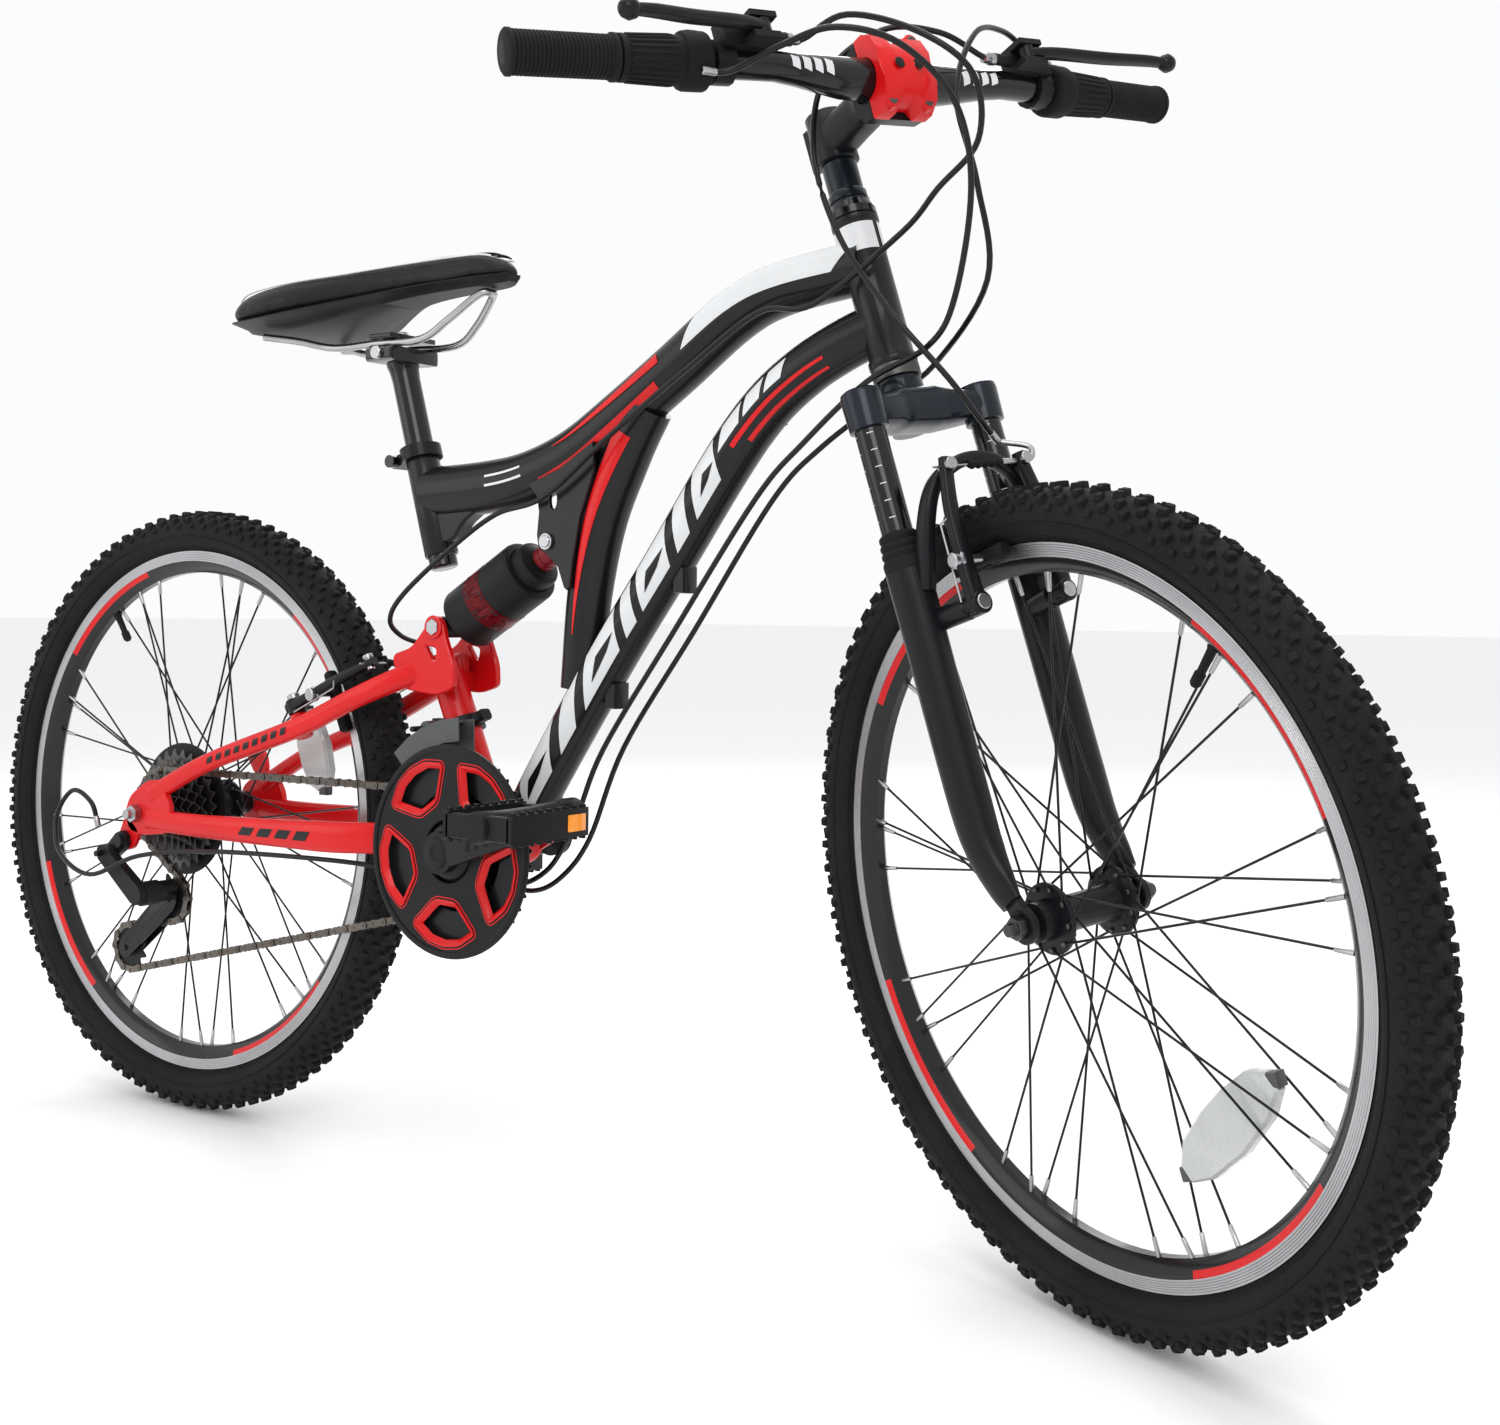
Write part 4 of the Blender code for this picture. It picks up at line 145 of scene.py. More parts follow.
# Each finish: the record's slot, then finish_material's values from colour on.
FINISHES = {
    "black_paint": ("frame_black", (0.0055, 0.0055, 0.006), 0.36, 0.0, 1500, 0.03, 0.15, 0.22),
    "red_paint": ("arm_red", (0.58, 0.0045, 0.006), 0.32, 0.0, 1500, 0.03, 0.06, 0.22),
    "white_paint": ("frame_black", (0.62, 0.63, 0.64), 0.34, 0.0, 1500, 0.02, 0.03, 0.3),
    "dark_red": ("shock_black", (0.17, 0.004, 0.008), 0.38, 0.1, 1200, 0.03, 0.12, 0.2),
    "satin": ("part_black", (0.007, 0.008, 0.0095), 0.38, 0.2, 1400, 0.06, 0.2, 0.1),
    "crown": ("part_black", (0.01, 0.013, 0.019), 0.3, 0.4, 1400, 0.04, 0.2, 0.25),
    "gloss": ("part_black", (0.005, 0.005, 0.0055), 0.14, 0.3, 1500, 0.015, 0.15, 0.5),
    "plastic": ("plastic_black", (0.0075, 0.0075, 0.008), 0.46, 0.0, 1300, 0.16, 0.2),
    "grey_plastic": ("part_black", (0.085, 0.088, 0.09), 0.42, 0.5, 1300, 0.08, 0.15),
    "rubber": ("rubber_black", (0.0075, 0.0075, 0.0075), 0.72, 0.0, 1100, 0.25, 0.25),
    "tyre": ("tyre_black", (0.0085, 0.0085, 0.0083), 0.78, 0.0, 700, 0.35, 0.3, 0.0, 0.2),
    "cable": ("rubber_black", (0.005, 0.005, 0.005), 0.35, 0.0, 1300, 0.04, 0.15, 0.2),
    "steel": ("steel", (0.4, 0.4, 0.41), 0.28, 1.0, 1000, 0.06, 0.12, 0.0, 0.12, (1, 6, 1)),
    "dark_steel": ("steel_dark", (0.085, 0.082, 0.08), 0.38, 0.9, 900, 0.1, 0.3),
    "chain_steel": ("steel_dark", (0.12, 0.105, 0.09), 0.34, 0.9, 900, 0.1, 0.35),
    "skin": ("saddle_skin", (0.0075, 0.0075, 0.0075), 0.52, 0.0, 620, 0.55, 0.18, 0.1),
    "rim_paint": ("rim_black", (0.006, 0.006, 0.0065), 0.26, 0.2, 1500, 0.02, 0.15, 0.4),
    "brake_track": ("rim_black", (0.42, 0.42, 0.43), 0.3, 1.0, 900, 0.1, 0.1),
}
MAT = {name: finish_material(name, *values[1:]) for name, values in FINISHES.items()}
SLOT = {name: values[0] for name, values in FINISHES.items()}
# the orange reflector gets a painted glow (emission 0.1); the white one gets none
for name, color, painted_glow in (("white_reflector", (0.46, 0.47, 0.47), 0.0),
                          ("orange_reflector", (0.85, 0.27, 0.01), 0.1)):
    MAT[name] = reflector_material(name, color, painted_glow)
    SLOT[name] = "plastic_black"


# -------------------------------------------------------------- mesh builders
class Shape:
    """A mesh under construction, made of pieces in one coordinate frame."""

    def __init__(self):
        self.bm = bmesh.new()

    def skin(self, rings, closed=False, caps=True):
        verts = [[self.bm.verts.new(p) for p in ring] for ring in rings]
        count = len(verts)
        for i in range(count if closed else count - 1):
            here, there = verts[i], verts[(i + 1) % count]
            for k in range(len(here)):
                n = (k + 1) % len(here)
                self.bm.faces.new((here[k], here[n], there[n], there[k]))
        if caps and not closed:
            self.bm.faces.new(verts[0])
            self.bm.faces.new(verts[-1])
        return self

    def turned(self, profile, centre, axis, sides=32, closed=False):
        """Turn (along, radius) points round an axis."""
        first, second = across_of(axis, Z if abs(axis.z) < 0.9 else X)
        turns = [2 * pi * k / sides for k in range(sides)]
        rings = [[centre + axis * along + (first * cos(a) + second * sin(a)) * r for a in turns]
                 for along, r in profile]
        return self.skin(rings, closed)

    def rod(self, start, end, radius, sides=20, soften=0.0006):
        run = Vector(end) - Vector(start)
        length = run.length
        soft = min(soften, radius * 0.4, length * 0.3)
        profile = [(0, radius - soft), (soft, radius), (length - soft, radius), (length, radius - soft)]
        return self.turned(profile, Vector(start), run.normalized(), sides)

    def bolt(self, centre, axis, radius=0.0042, tall=0.003, socket=0.5):
        """A socket-head bolt with a six-sided recess."""
        self.turned([(0, radius), (tall - 0.0006, radius), (tall, radius - 0.0006), (tall, radius * socket)],
                    centre, axis, 18)
        first, second = across_of(axis, Z if abs(axis.z) < 0.9 else X)
        turns = [pi / 3 * k for k in range(6)]
        rings = [[centre + axis * h + (first * cos(a) + second * sin(a)) * radius * socket for a in turns]
                 for h in (tall + 0.00002, tall * 0.35)]
        return self.skin(rings, caps=False)

    def sweep(self, points, sizes, sides=20, across=Y, power=2.0, closed=False):
        """A tube through points; sizes are (across, other) half widths."""
        points = [Vector(p) for p in points]
        count = len(points)
        if not isinstance(sizes, list):
            sizes = [sizes] * count
        rings = []
        for i, point in enumerate(points):
            if closed:
                tangent = points[(i + 1) % count] - points[i - 1]
            else:
                tangent = points[min(i + 1, count - 1)] - points[max(i - 1, 0)]
            first, second = across_of(tangent.normalized(), across)
            wide, tall = sizes[i]
            rings.append([point + first * (wide * u) + second * (tall * v) for u, v in rounded(sides, power)])
        return self.skin(rings, closed)

    def plate(self, outline, y_from, y_to, bevel=0.0006):
        """A flat plate of an (x, z) outline with softened edges."""
        inner = shrunk(outline, bevel)
        step = bevel if y_to > y_from else -bevel
        rings = [[Vector((x, y_from, z)) for x, z in inner], [Vector((x, y_from + step, z)) for x,
                                                              z in outline],
                 [Vector((x, y_to - step, z)) for x, z in outline], [Vector((x, y_to, z)) for x, z in inner]]
        return self.skin(rings)

    def box(self, low, high, bevel=0.0008):
        outline = [(low[0], low[2]), (high[0], low[2]), (high[0], high[2]), (low[0], high[2])]
        return self.plate(outline, low[1], high[1], bevel)

    def pipe(self, stops, sizes, sides=20, across=Y, power=2.0, steps=6):
        """A swept tube, smoothly filled in between its stops."""
        path = smooth_path(stops, steps)
        return self.sweep(path, spread(sizes, len(path)), sides, across, power)

    def sheet(self, rows):
        """An open strip of faces between rows of points."""
        made = [[self.bm.verts.new(p) for p in row] for row in rows]
        for here, there in zip(made, made[1:]):
            for k in range(len(here) - 1):
                self.bm.faces.new((here[k], here[k + 1], there[k + 1], there[k]))
        return self

    def copy_of(self, name):
        """The CAD node's own mesh, to be bevelled and finished."""
        self.bm.from_mesh(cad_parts[name].data)
        bmesh.ops.remove_doubles(self.bm, verts=self.bm.verts, dist=0.00002)
        return self

    def done(self, name, mat, body, replaces=(), matrix=None, bevel=0.0, subsurf=0, crease=40):
        bm = self.bm
        bmesh.ops.recalc_face_normals(bm, faces=bm.faces)
        if matrix:
            bmesh.ops.transform(bm, matrix=matrix, verts=bm.verts)
        mesh = bpy.data.meshes.new(name)
        bm.to_mesh(mesh)
        bm.free()
        obj = bpy.data.objects.new(name, mesh)
        bpy.context.scene.collection.objects.link(obj)
        mesh.materials.append(MAT[mat])
        mesh.shade_smooth()
        mesh.set_sharp_from_angle(angle=radians(crease))
        if bevel:
            edge = obj.modifiers.new("bevel", "BEVEL")
            edge.width = bevel
            edge.segments = 2
            edge.limit_method = "ANGLE"
            edge.angle_limit = radians(32)
            edge.harden_normals = False
        if subsurf:
            fine = obj.modifiers.new("subsurf", "SUBSURF")
            fine.levels = fine.render_levels = subsurf
        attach(obj, body)
        if replaces:
            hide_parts(*([replaces] if isinstance(replaces, str) else replaces))
        return obj


def across_of(tangent, across):
    first = (across - tangent * across.dot(tangent)).normalized()
    return first, tangent.cross(first)


def rounded(sides, power):
    """Points round a superellipse: power 2 is a circle, 4 nearly a square."""
    points = []
    for k in range(sides):
        a = 2 * pi * (k + 0.5) / sides
        c, s = cos(a), sin(a)
        scale = (abs(c) ** power + abs(s) ** power) ** (-1 / power)
        points.append((c * scale, s * scale))
    return points


def shrunk(outline, by):
    """An outline moved inwards by a small distance, either winding."""
    area = sum(x1 * z2 - x2 * z1 for (x1, z1), (x2, z2) in zip(outline, outline[1:] + outline[:1]))
    sign = 1 if area > 0 else -1
    moved = []
    for i, (x, z) in enumerate(outline):
        before, after = Vector(outline[i - 1]), Vector(outline[(i + 1) % len(outline)])
        here = Vector((x, z))
        a, b = (here - before).normalized(), (after - here).normalized()
        n = (Vector((-a.y, a.x)) + Vector((-b.y, b.x))) * sign
        n = n.normalized() if n.length > 1e-6 else Vector((-a.y, a.x)) * sign
        moved.append((x + n.x * by, z + n.y * by))
    return moved


def smooth_path(points, steps=6):
    """Points on a Catmull-Rom curve through the given points."""
    points = [Vector(p) for p in points]
    ends = [points[0] * 2 - points[1]] + points + [points[-1] * 2 - points[-2]]
    path = []
    for i in range(1, len(ends) - 2):
        a, b, c, d = ends[i - 1:i + 3]
        for k in range(steps):
            t = k / steps
            path.append(0.5 * (2 * b + (c - a) * t + (2 * a - 5 * b + 4 * c - d) * t ** 2
                               + (3 * b - a - 3 * c + d) * t ** 3))
    return path + [points[-1]]


def spread(stops, count):
    """Even in-between values of a short list of pairs."""
    out = []
    for i in range(count):
        place = i * (len(stops) - 1) / (count - 1)
        low = min(int(place), len(stops) - 2)
        share = place - low
        out.append(tuple(a + (b - a) * share for a, b in zip(stops[low], stops[low + 1])))
    return out


def round_outline(points, radius_steps=4, reach=0.28):
    """An (x, z) outline with its corners rounded off."""
    out = []
    for i, p in enumerate(points):
        p = Vector(p)
        before, after = Vector(points[i - 1]), Vector(points[(i + 1) % len(points)])
        a, b = p.lerp(before, reach), p.lerp(after, reach)
        for k in range(radius_steps + 1):
            t = k / radius_steps
            q = a * (1 - t) ** 2 + p * 2 * t * (1 - t) + b * t ** 2
            out.append((q.x, q.y))
    return out


def flat(points, y=0.0):
    return [Vector((x, y, z)) for x, z in points]


def both_ends(half):
    """A whole profile from its near half, the same at either end."""
    return [(-along, r) for along, r in half] + [(along, r) for along, r in reversed(half)]


class Tube:
    """A swept tube that trim can be laid on: fraction along, angle round."""

    def __init__(self, stops, sizes, across=Y, steps=6):
        self.path = smooth_path(stops, steps)
        self.sizes = spread(sizes, len(self.path))
        self.across = across

    def frame_at(self, s):
        place = max(0.0, min(1.0, s)) * (len(self.path) - 1)
        low = min(int(place), len(self.path) - 2)
        share = place - low
        point = self.path[low].lerp(self.path[low + 1], share)
        ends = [self.path[min(i + 1, len(self.path) - 1)] - self.path[max(i - 1, 0)] for i in (low, low + 1)]
        first, second = across_of(ends[0].lerp(ends[1], share).normalized(), self.across)
        wide, tall = (a + (b - a) * share for a, b in zip(self.sizes[low], self.sizes[low + 1]))
        return point, first, second, wide, tall

    def surface(self, s, angle, lift=FINE):
        point, first, second, wide, tall = self.frame_at(s)
        return point + first * ((wide + lift) * cos(angle)) + second * ((tall + lift) * sin(angle))

    def body(self, shape, sides=32):
        return shape.sweep(self.path, self.sizes, sides, self.across)

    def decal(self, shape, s_span, angle_span, taper=(1, 1), shift=0.0, lift=FINE, steps=(14, 6)):
        """A patch; taper scales its angle span at either end."""
        count, ribs = steps
        middle = (angle_span[0] + angle_span[1]) / 2
        half = (angle_span[1] - angle_span[0]) / 2
        grid = []
        for i in range(count + 1):
            u = i / count
            width = taper[0] + (taper[1] - taper[0]) * u
            row = []
            for k in range(ribs + 1):
                v = 2 * k / ribs - 1
                s = s_span[0] + (s_span[1] - s_span[0]) * u + shift * v
                row.append(self.surface(s, middle + half * v * width, lift))
            grid.append(row)
        shape.sheet(grid)


def holed_plate(shape, outline, holes, y_from, y_to, bevel=0.0006):
    """A plate with softened edges and holes through it."""
    step = bevel if y_to > y_from else -bevel
    levels = (y_from, y_from + step, y_to - step, y_to)
    caps = {0: [], 3: []}
    for loop, inset in [(outline, bevel)] + [(hole, -bevel) for hole in holes]:
        rings = []
        for level, y in enumerate(levels):
            points = shrunk(loop, inset) if level in (0, 3) else loop
            rings.append([shape.bm.verts.new((x, y, z)) for x, z in points])
        for low, high in zip(rings, rings[1:]):
            for k in range(len(low)):
                n = (k + 1) % len(low)
                shape.bm.faces.new((low[k], low[n], high[n], high[k]))
        for level in caps:
            ring = rings[level]
            caps[level] += [shape.bm.edges.get((ring[k],
                                                ring[(k + 1) % len(ring)])) for k in range(len(ring))]
    for edges in caps.values():
        bmesh.ops.triangle_fill(shape.bm, use_beauty=True, edges=edges)
    return shape


def arc_points(centre, radius, first, last, count):
    turns = [first + (last - first) * k / (count - 1) for k in range(count)]
    return [(centre.x + radius * cos(a), centre.z + radius * sin(a)) for a in turns]


def circle_points(centre, radius, count=24):
    return arc_points(centre, radius, 0, 2 * pi * (count - 1) / count, count)


def from_cad(name, mat, body, bevel=0.0005, label=None):
    """The CAD node's shape with clean faces and softened edges."""
    shape = Shape().copy_of(name)
    bmesh.ops.dissolve_limit(shape.bm, angle_limit=radians(1.5), verts=shape.bm.verts, edges=shape.bm.edges)
    return shape.done(label or name + "_shape", mat, body, name, bevel=bevel)


# --------------------------------------------------------------- camera, stage
def make_stage():
    floor = Shape()
    floor.skin([[Vector((x, y, z)) for x, z in ((-60, -0.0005), (60, -0.0005), (60, -0.02), (-60, -0.02))]
                for y in (-60, 60)])
    bm = floor.bm
    mesh = bpy.data.meshes.new("studio_floor")
    bmesh.ops.recalc_face_normals(bm, faces=bm.faces)
    bm.to_mesh(mesh)
    bm.free()
    obj = bpy.data.objects.new("studio_floor", mesh)
    bpy.context.scene.collection.objects.link(obj)
    white = finish_material("studio_white", (0.9, 0.9, 0.905), 0.75, 0.0, 60, 0.01, 0.01)
    mesh.materials.append(white)
    world = bpy.data.worlds.new("studio")
    bpy.context.scene.world = world
    world.use_nodes = True
    world.node_tree.nodes["Background"].inputs[0].default_value = (0.97, 0.975, 0.98, 1)
    world.node_tree.nodes["Background"].inputs[1].default_value = 1.0
    aim = Vector((0.5, 0, 0.45))
    for label, spot, size, power in (("key", (2.4, -2.6, 2.6), 1.8, 40), ("fill", (-1.8, -2.8, 1.4), 2.0, 16),
                                     ("rim", (-1.0, 2.6, 2.4), 1.6, 28), ("top", (0.4, -0.2, 3.2), 2.4, 30)):
        data = bpy.data.lights.new(label, "AREA")
        data.energy = power
        data.size = size
        lamp = bpy.data.objects.new(label, data)
        lamp.location = spot
        lamp.rotation_euler = (aim - Vector(spot)).to_track_quat("-Z", "Y").to_euler()
        bpy.context.scene.collection.objects.link(lamp)


def make_camera():
    azimuth, elevation, roll = radians(31.657), radians(-0.992), 0.0125
    back = Vector((sin(azimuth) * cos(elevation), -cos(azimuth) * cos(elevation), sin(elevation)))
    right = Vector((cos(azimuth), sin(azimuth), 0))
    up = back.cross(right)
    turned_right = right * cos(roll) + up * sin(roll)
    turned_up = up * cos(roll) - right * sin(roll)
    camera = bpy.data.cameras.new("camera")
    camera.lens, camera.sensor_width = 40.58, 36
    camera.shift_x, camera.shift_y = -0.0773, -0.0845
    camera.clip_start = 0.02
    obj = bpy.data.objects.new("camera", camera)
    matrix = Matrix((turned_right, turned_up, back)).transposed().to_4x4()
    matrix.translation = (1.47994, -1.11203, 0.50448)
    obj.matrix_world = matrix
    bpy.context.scene.collection.objects.link(obj)
    bpy.context.scene.camera = obj


make_stage()
make_camera()
bpy.context.scene.view_settings.view_transform = "Standard"


# ------------------------------------------------------------------ main frame
TOP = Tube(flat([(0.322, 0.611), (0.396, 0.615), (0.447, 0.6225), (0.497, 0.64), (0.545, 0.6675), (0.608,
           0.708),
                 (0.668, 0.748), (0.716, 0.7655), (0.794, 0.776)]),
           [(0.017, 0.024), (0.019, 0.0235), (0.02, 0.0235), (0.021, 0.0225), (0.0215, 0.0215)])
DOWN = Tube(flat([(0.804, 0.727), (0.77, 0.7145), (0.735, 0.697), (0.699, 0.6705), (0.662, 0.629),
                  (0.6, 0.544), (0.541, 0.464), (0.462, 0.347), (0.455, 0.327)]),
            [(0.017, 0.0205), (0.019, 0.021), (0.02, 0.0215), (0.02, 0.021), (0.019, 0.0195)])
STRUT = Tube(flat([(0.579, 0.677), (0.5565, 0.64), (0.531, 0.585), (0.516, 0.52), (0.508, 0.438)]),
             [(0.019, 0.02), (0.02, 0.021), (0.0185, 0.0205), (0.0165, 0.019)])


def build_frame():
    shape = Shape()
    for tube in (TOP, DOWN, STRUT):
        tube.body(shape)
    shape.turned([(0.428, 0.0158), (0.428, 0.0186), (0.4295, 0.0192), (0.434, 0.0192), (0.436, 0.0178),
                  (0.544, 0.0178), (0.5455, 0.019), (0.55, 0.019), (0.551, 0.018), (0.551, 0.0158)],
                 STEER_POINT, FORK_UP, 40)
    shape.turned([(0, 0.0131), (0, 0.0146), (0.001, 0.0151), (0.104, 0.0151), (0.105, 0.0146), (0.105,
                 0.0131)],
                 SEAT_FOOT, SEAT_UP, 40, True)
    shape.turned(both_ends([(0.03, 0.015), (0.029, 0.0172), (0.023, 0.0172), (0.022, 0.0164)]), PIVOT, Y, 32)
    web = round_outline([(0.334, 0.56), (0.3606, 0.5675), (0.372, 0.583), (0.39, 0.5945), (0.444, 0.6),
                         (0.47, 0.612), (0.447, 0.63), (0.324, 0.62)])
    shape.plate(web, -0.0085, 0.0085, 0.0025)
    for clip in (Vector((0.6185, 0, 0.5205)), Vector((0.5475, 0, 0.4225)), Vector((0.7075, 0, 0.656))):
        shape.box((clip.x - 0.006, -0.0095, clip.z), (clip.x + 0.006, 0.0095, clip.z + 0.022), 0.0015)
    for side in (-1, 1):
        outline = [(0.464, 0.614), (0.474, 0.603), (0.4765, 0.59), (0.4745, 0.57), (0.4765, 0.559),
                   (0.487, 0.5525), (0.499, 0.542), (0.506, 0.525), (0.509, 0.5225), (0.5125, 0.5245),
                   (0.515, 0.545), (0.523, 0.585), (0.538, 0.624), (0.536, 0.648), (0.498, 0.626)]
        slot = [(0.4925 + 0.0042 * cos(a),
                 0.5998 + 0.0084 * sin(a)) for a in (2 * pi * k / 20 for k in range(20))]
        holed_plate(shape, outline, [slot], side * 0.0185, side * 0.023, 0.0007)
    shape.done("frame_tubes", "black_paint", "frame", "main_frame")


def build_graphics():
    """Generic angular trim in place of the maker's lettering."""
    white, red, line, grey, black = (Shape() for k in range(5))
    for right in (True, False):
        face = pi if right else 0          # which side of the tube faces out
        up = -1 if right else 1            # the way round towards the top
        for k, (start, end) in enumerate(((0.5, 0.548), (0.562, 0.585), (0.6, 0.66), (0.674, 0.697),
                                          (0.712, 0.772), (0.786, 0.809), (0.824, 0.884))):
            DOWN.decal(white, (start, end), (face - 0.66, face + 0.66), (1, 1), 0.016 * up, FINE * 1.6)
            if end - start > 0.04:
                DOWN.decal(black, (start + 0.014, end - 0.014), (face - 0.34, face + 0.1), (0.5, 1),
                           0.01 * up,
                           FINE * 2.4)
        for start, end in ((0.27, 0.325), (0.34, 0.395), (0.41, 0.475)):
            DOWN.decal(white, (start, end), (face - 0.3 - 0.3 * up, face + 0.3 - 0.3 * up), (1, 1),
                       0.016 * up,
                       FINE * 1.4)
        DOWN.decal(red, (0.16, 0.47), (face + up * 0.22, face + up * 0.42), (0.6, 1), 0.0, FINE * 2.2, (28,
                   3))
        DOWN.decal(red, (0.16, 0.44), (face + up * 0.66, face + up * 0.86), (0.6, 1), 0.0, FINE * 2.2, (28,
                   3))
        STRUT.decal(red, (0.16, 0.86), (face - 0.46, face + 0.46), (1.0, 0.06), 0.0, FINE * 2, (28, 6))
        TOP.decal(red, (0.3, 0.6), (face - 0.62 * up, face - 0.24 * up), (0.15, 1), 0.0, FINE * 2, (28, 4))
        TOP.decal(red, (0.36, 0.62), (face + 0.22 * up, face + 0.66 * up), (0.1, 1.0), 0.0, FINE * 2, (28, 4))
        TOP.decal(line, (0.15, 0.26), (face + 0.25 * up, face + 0.34 * up), (1, 1), 0.0, FINE * 2)
        TOP.decal(line, (0.15, 0.26), (face - 0.1 * up, face - 0.01 * up), (1, 1), 0.0, FINE * 2)
        TOP.decal(white, (0.68, 0.985), (face - 0.2 * up, face + 0.95 * up), (0.75, 1), -0.02 * up,
                  FINE * 1.4, (30, 8))
        DOWN.decal(grey, (0.925, 0.965), (face - 0.5, face + 0.5), (1, 1), 0.006, FINE * 1.4)
    band = [(0.52 + 0.0015 * k, 0.0178 + FINE * 2) for k in range(16)]
    first, second = across_of(FORK_UP, Y)
    rings = []
    for k in range(47):
        a = 2 * pi * k / 48 - pi / 2
        out = first * cos(a) + second * sin(a)
        dip = 0.01 * max(0.0, cos(2 * pi * k / 48 + pi))
        rings.append([STEER_POINT + FORK_UP * (along - (dip if along < 0.535 else 0.0)) + out * r for along,
                      r in band])
    white.sheet(rings)
    white.done("frame_white_trim", "white_paint", "frame")
    red.done("frame_red_trim", "red_paint", "frame")
    line.done("frame_fine_trim", "white_paint", "frame")
    grey.done("frame_foot_patch", "grey_plastic", "frame")
    black.done("frame_black_trim", "black_paint", "frame")


build_frame()
build_graphics()
from_cad("headset_lower", "dark_steel", "frame")
from_cad("headset_upper", "gloss", "frame")
from_cad("main_pivot_bolt", "dark_steel", "frame")
from_cad("seat_clamp", "satin", "frame")
from_cad("seat_clamp_lever", "gloss", "seat_lever", 0.0008)


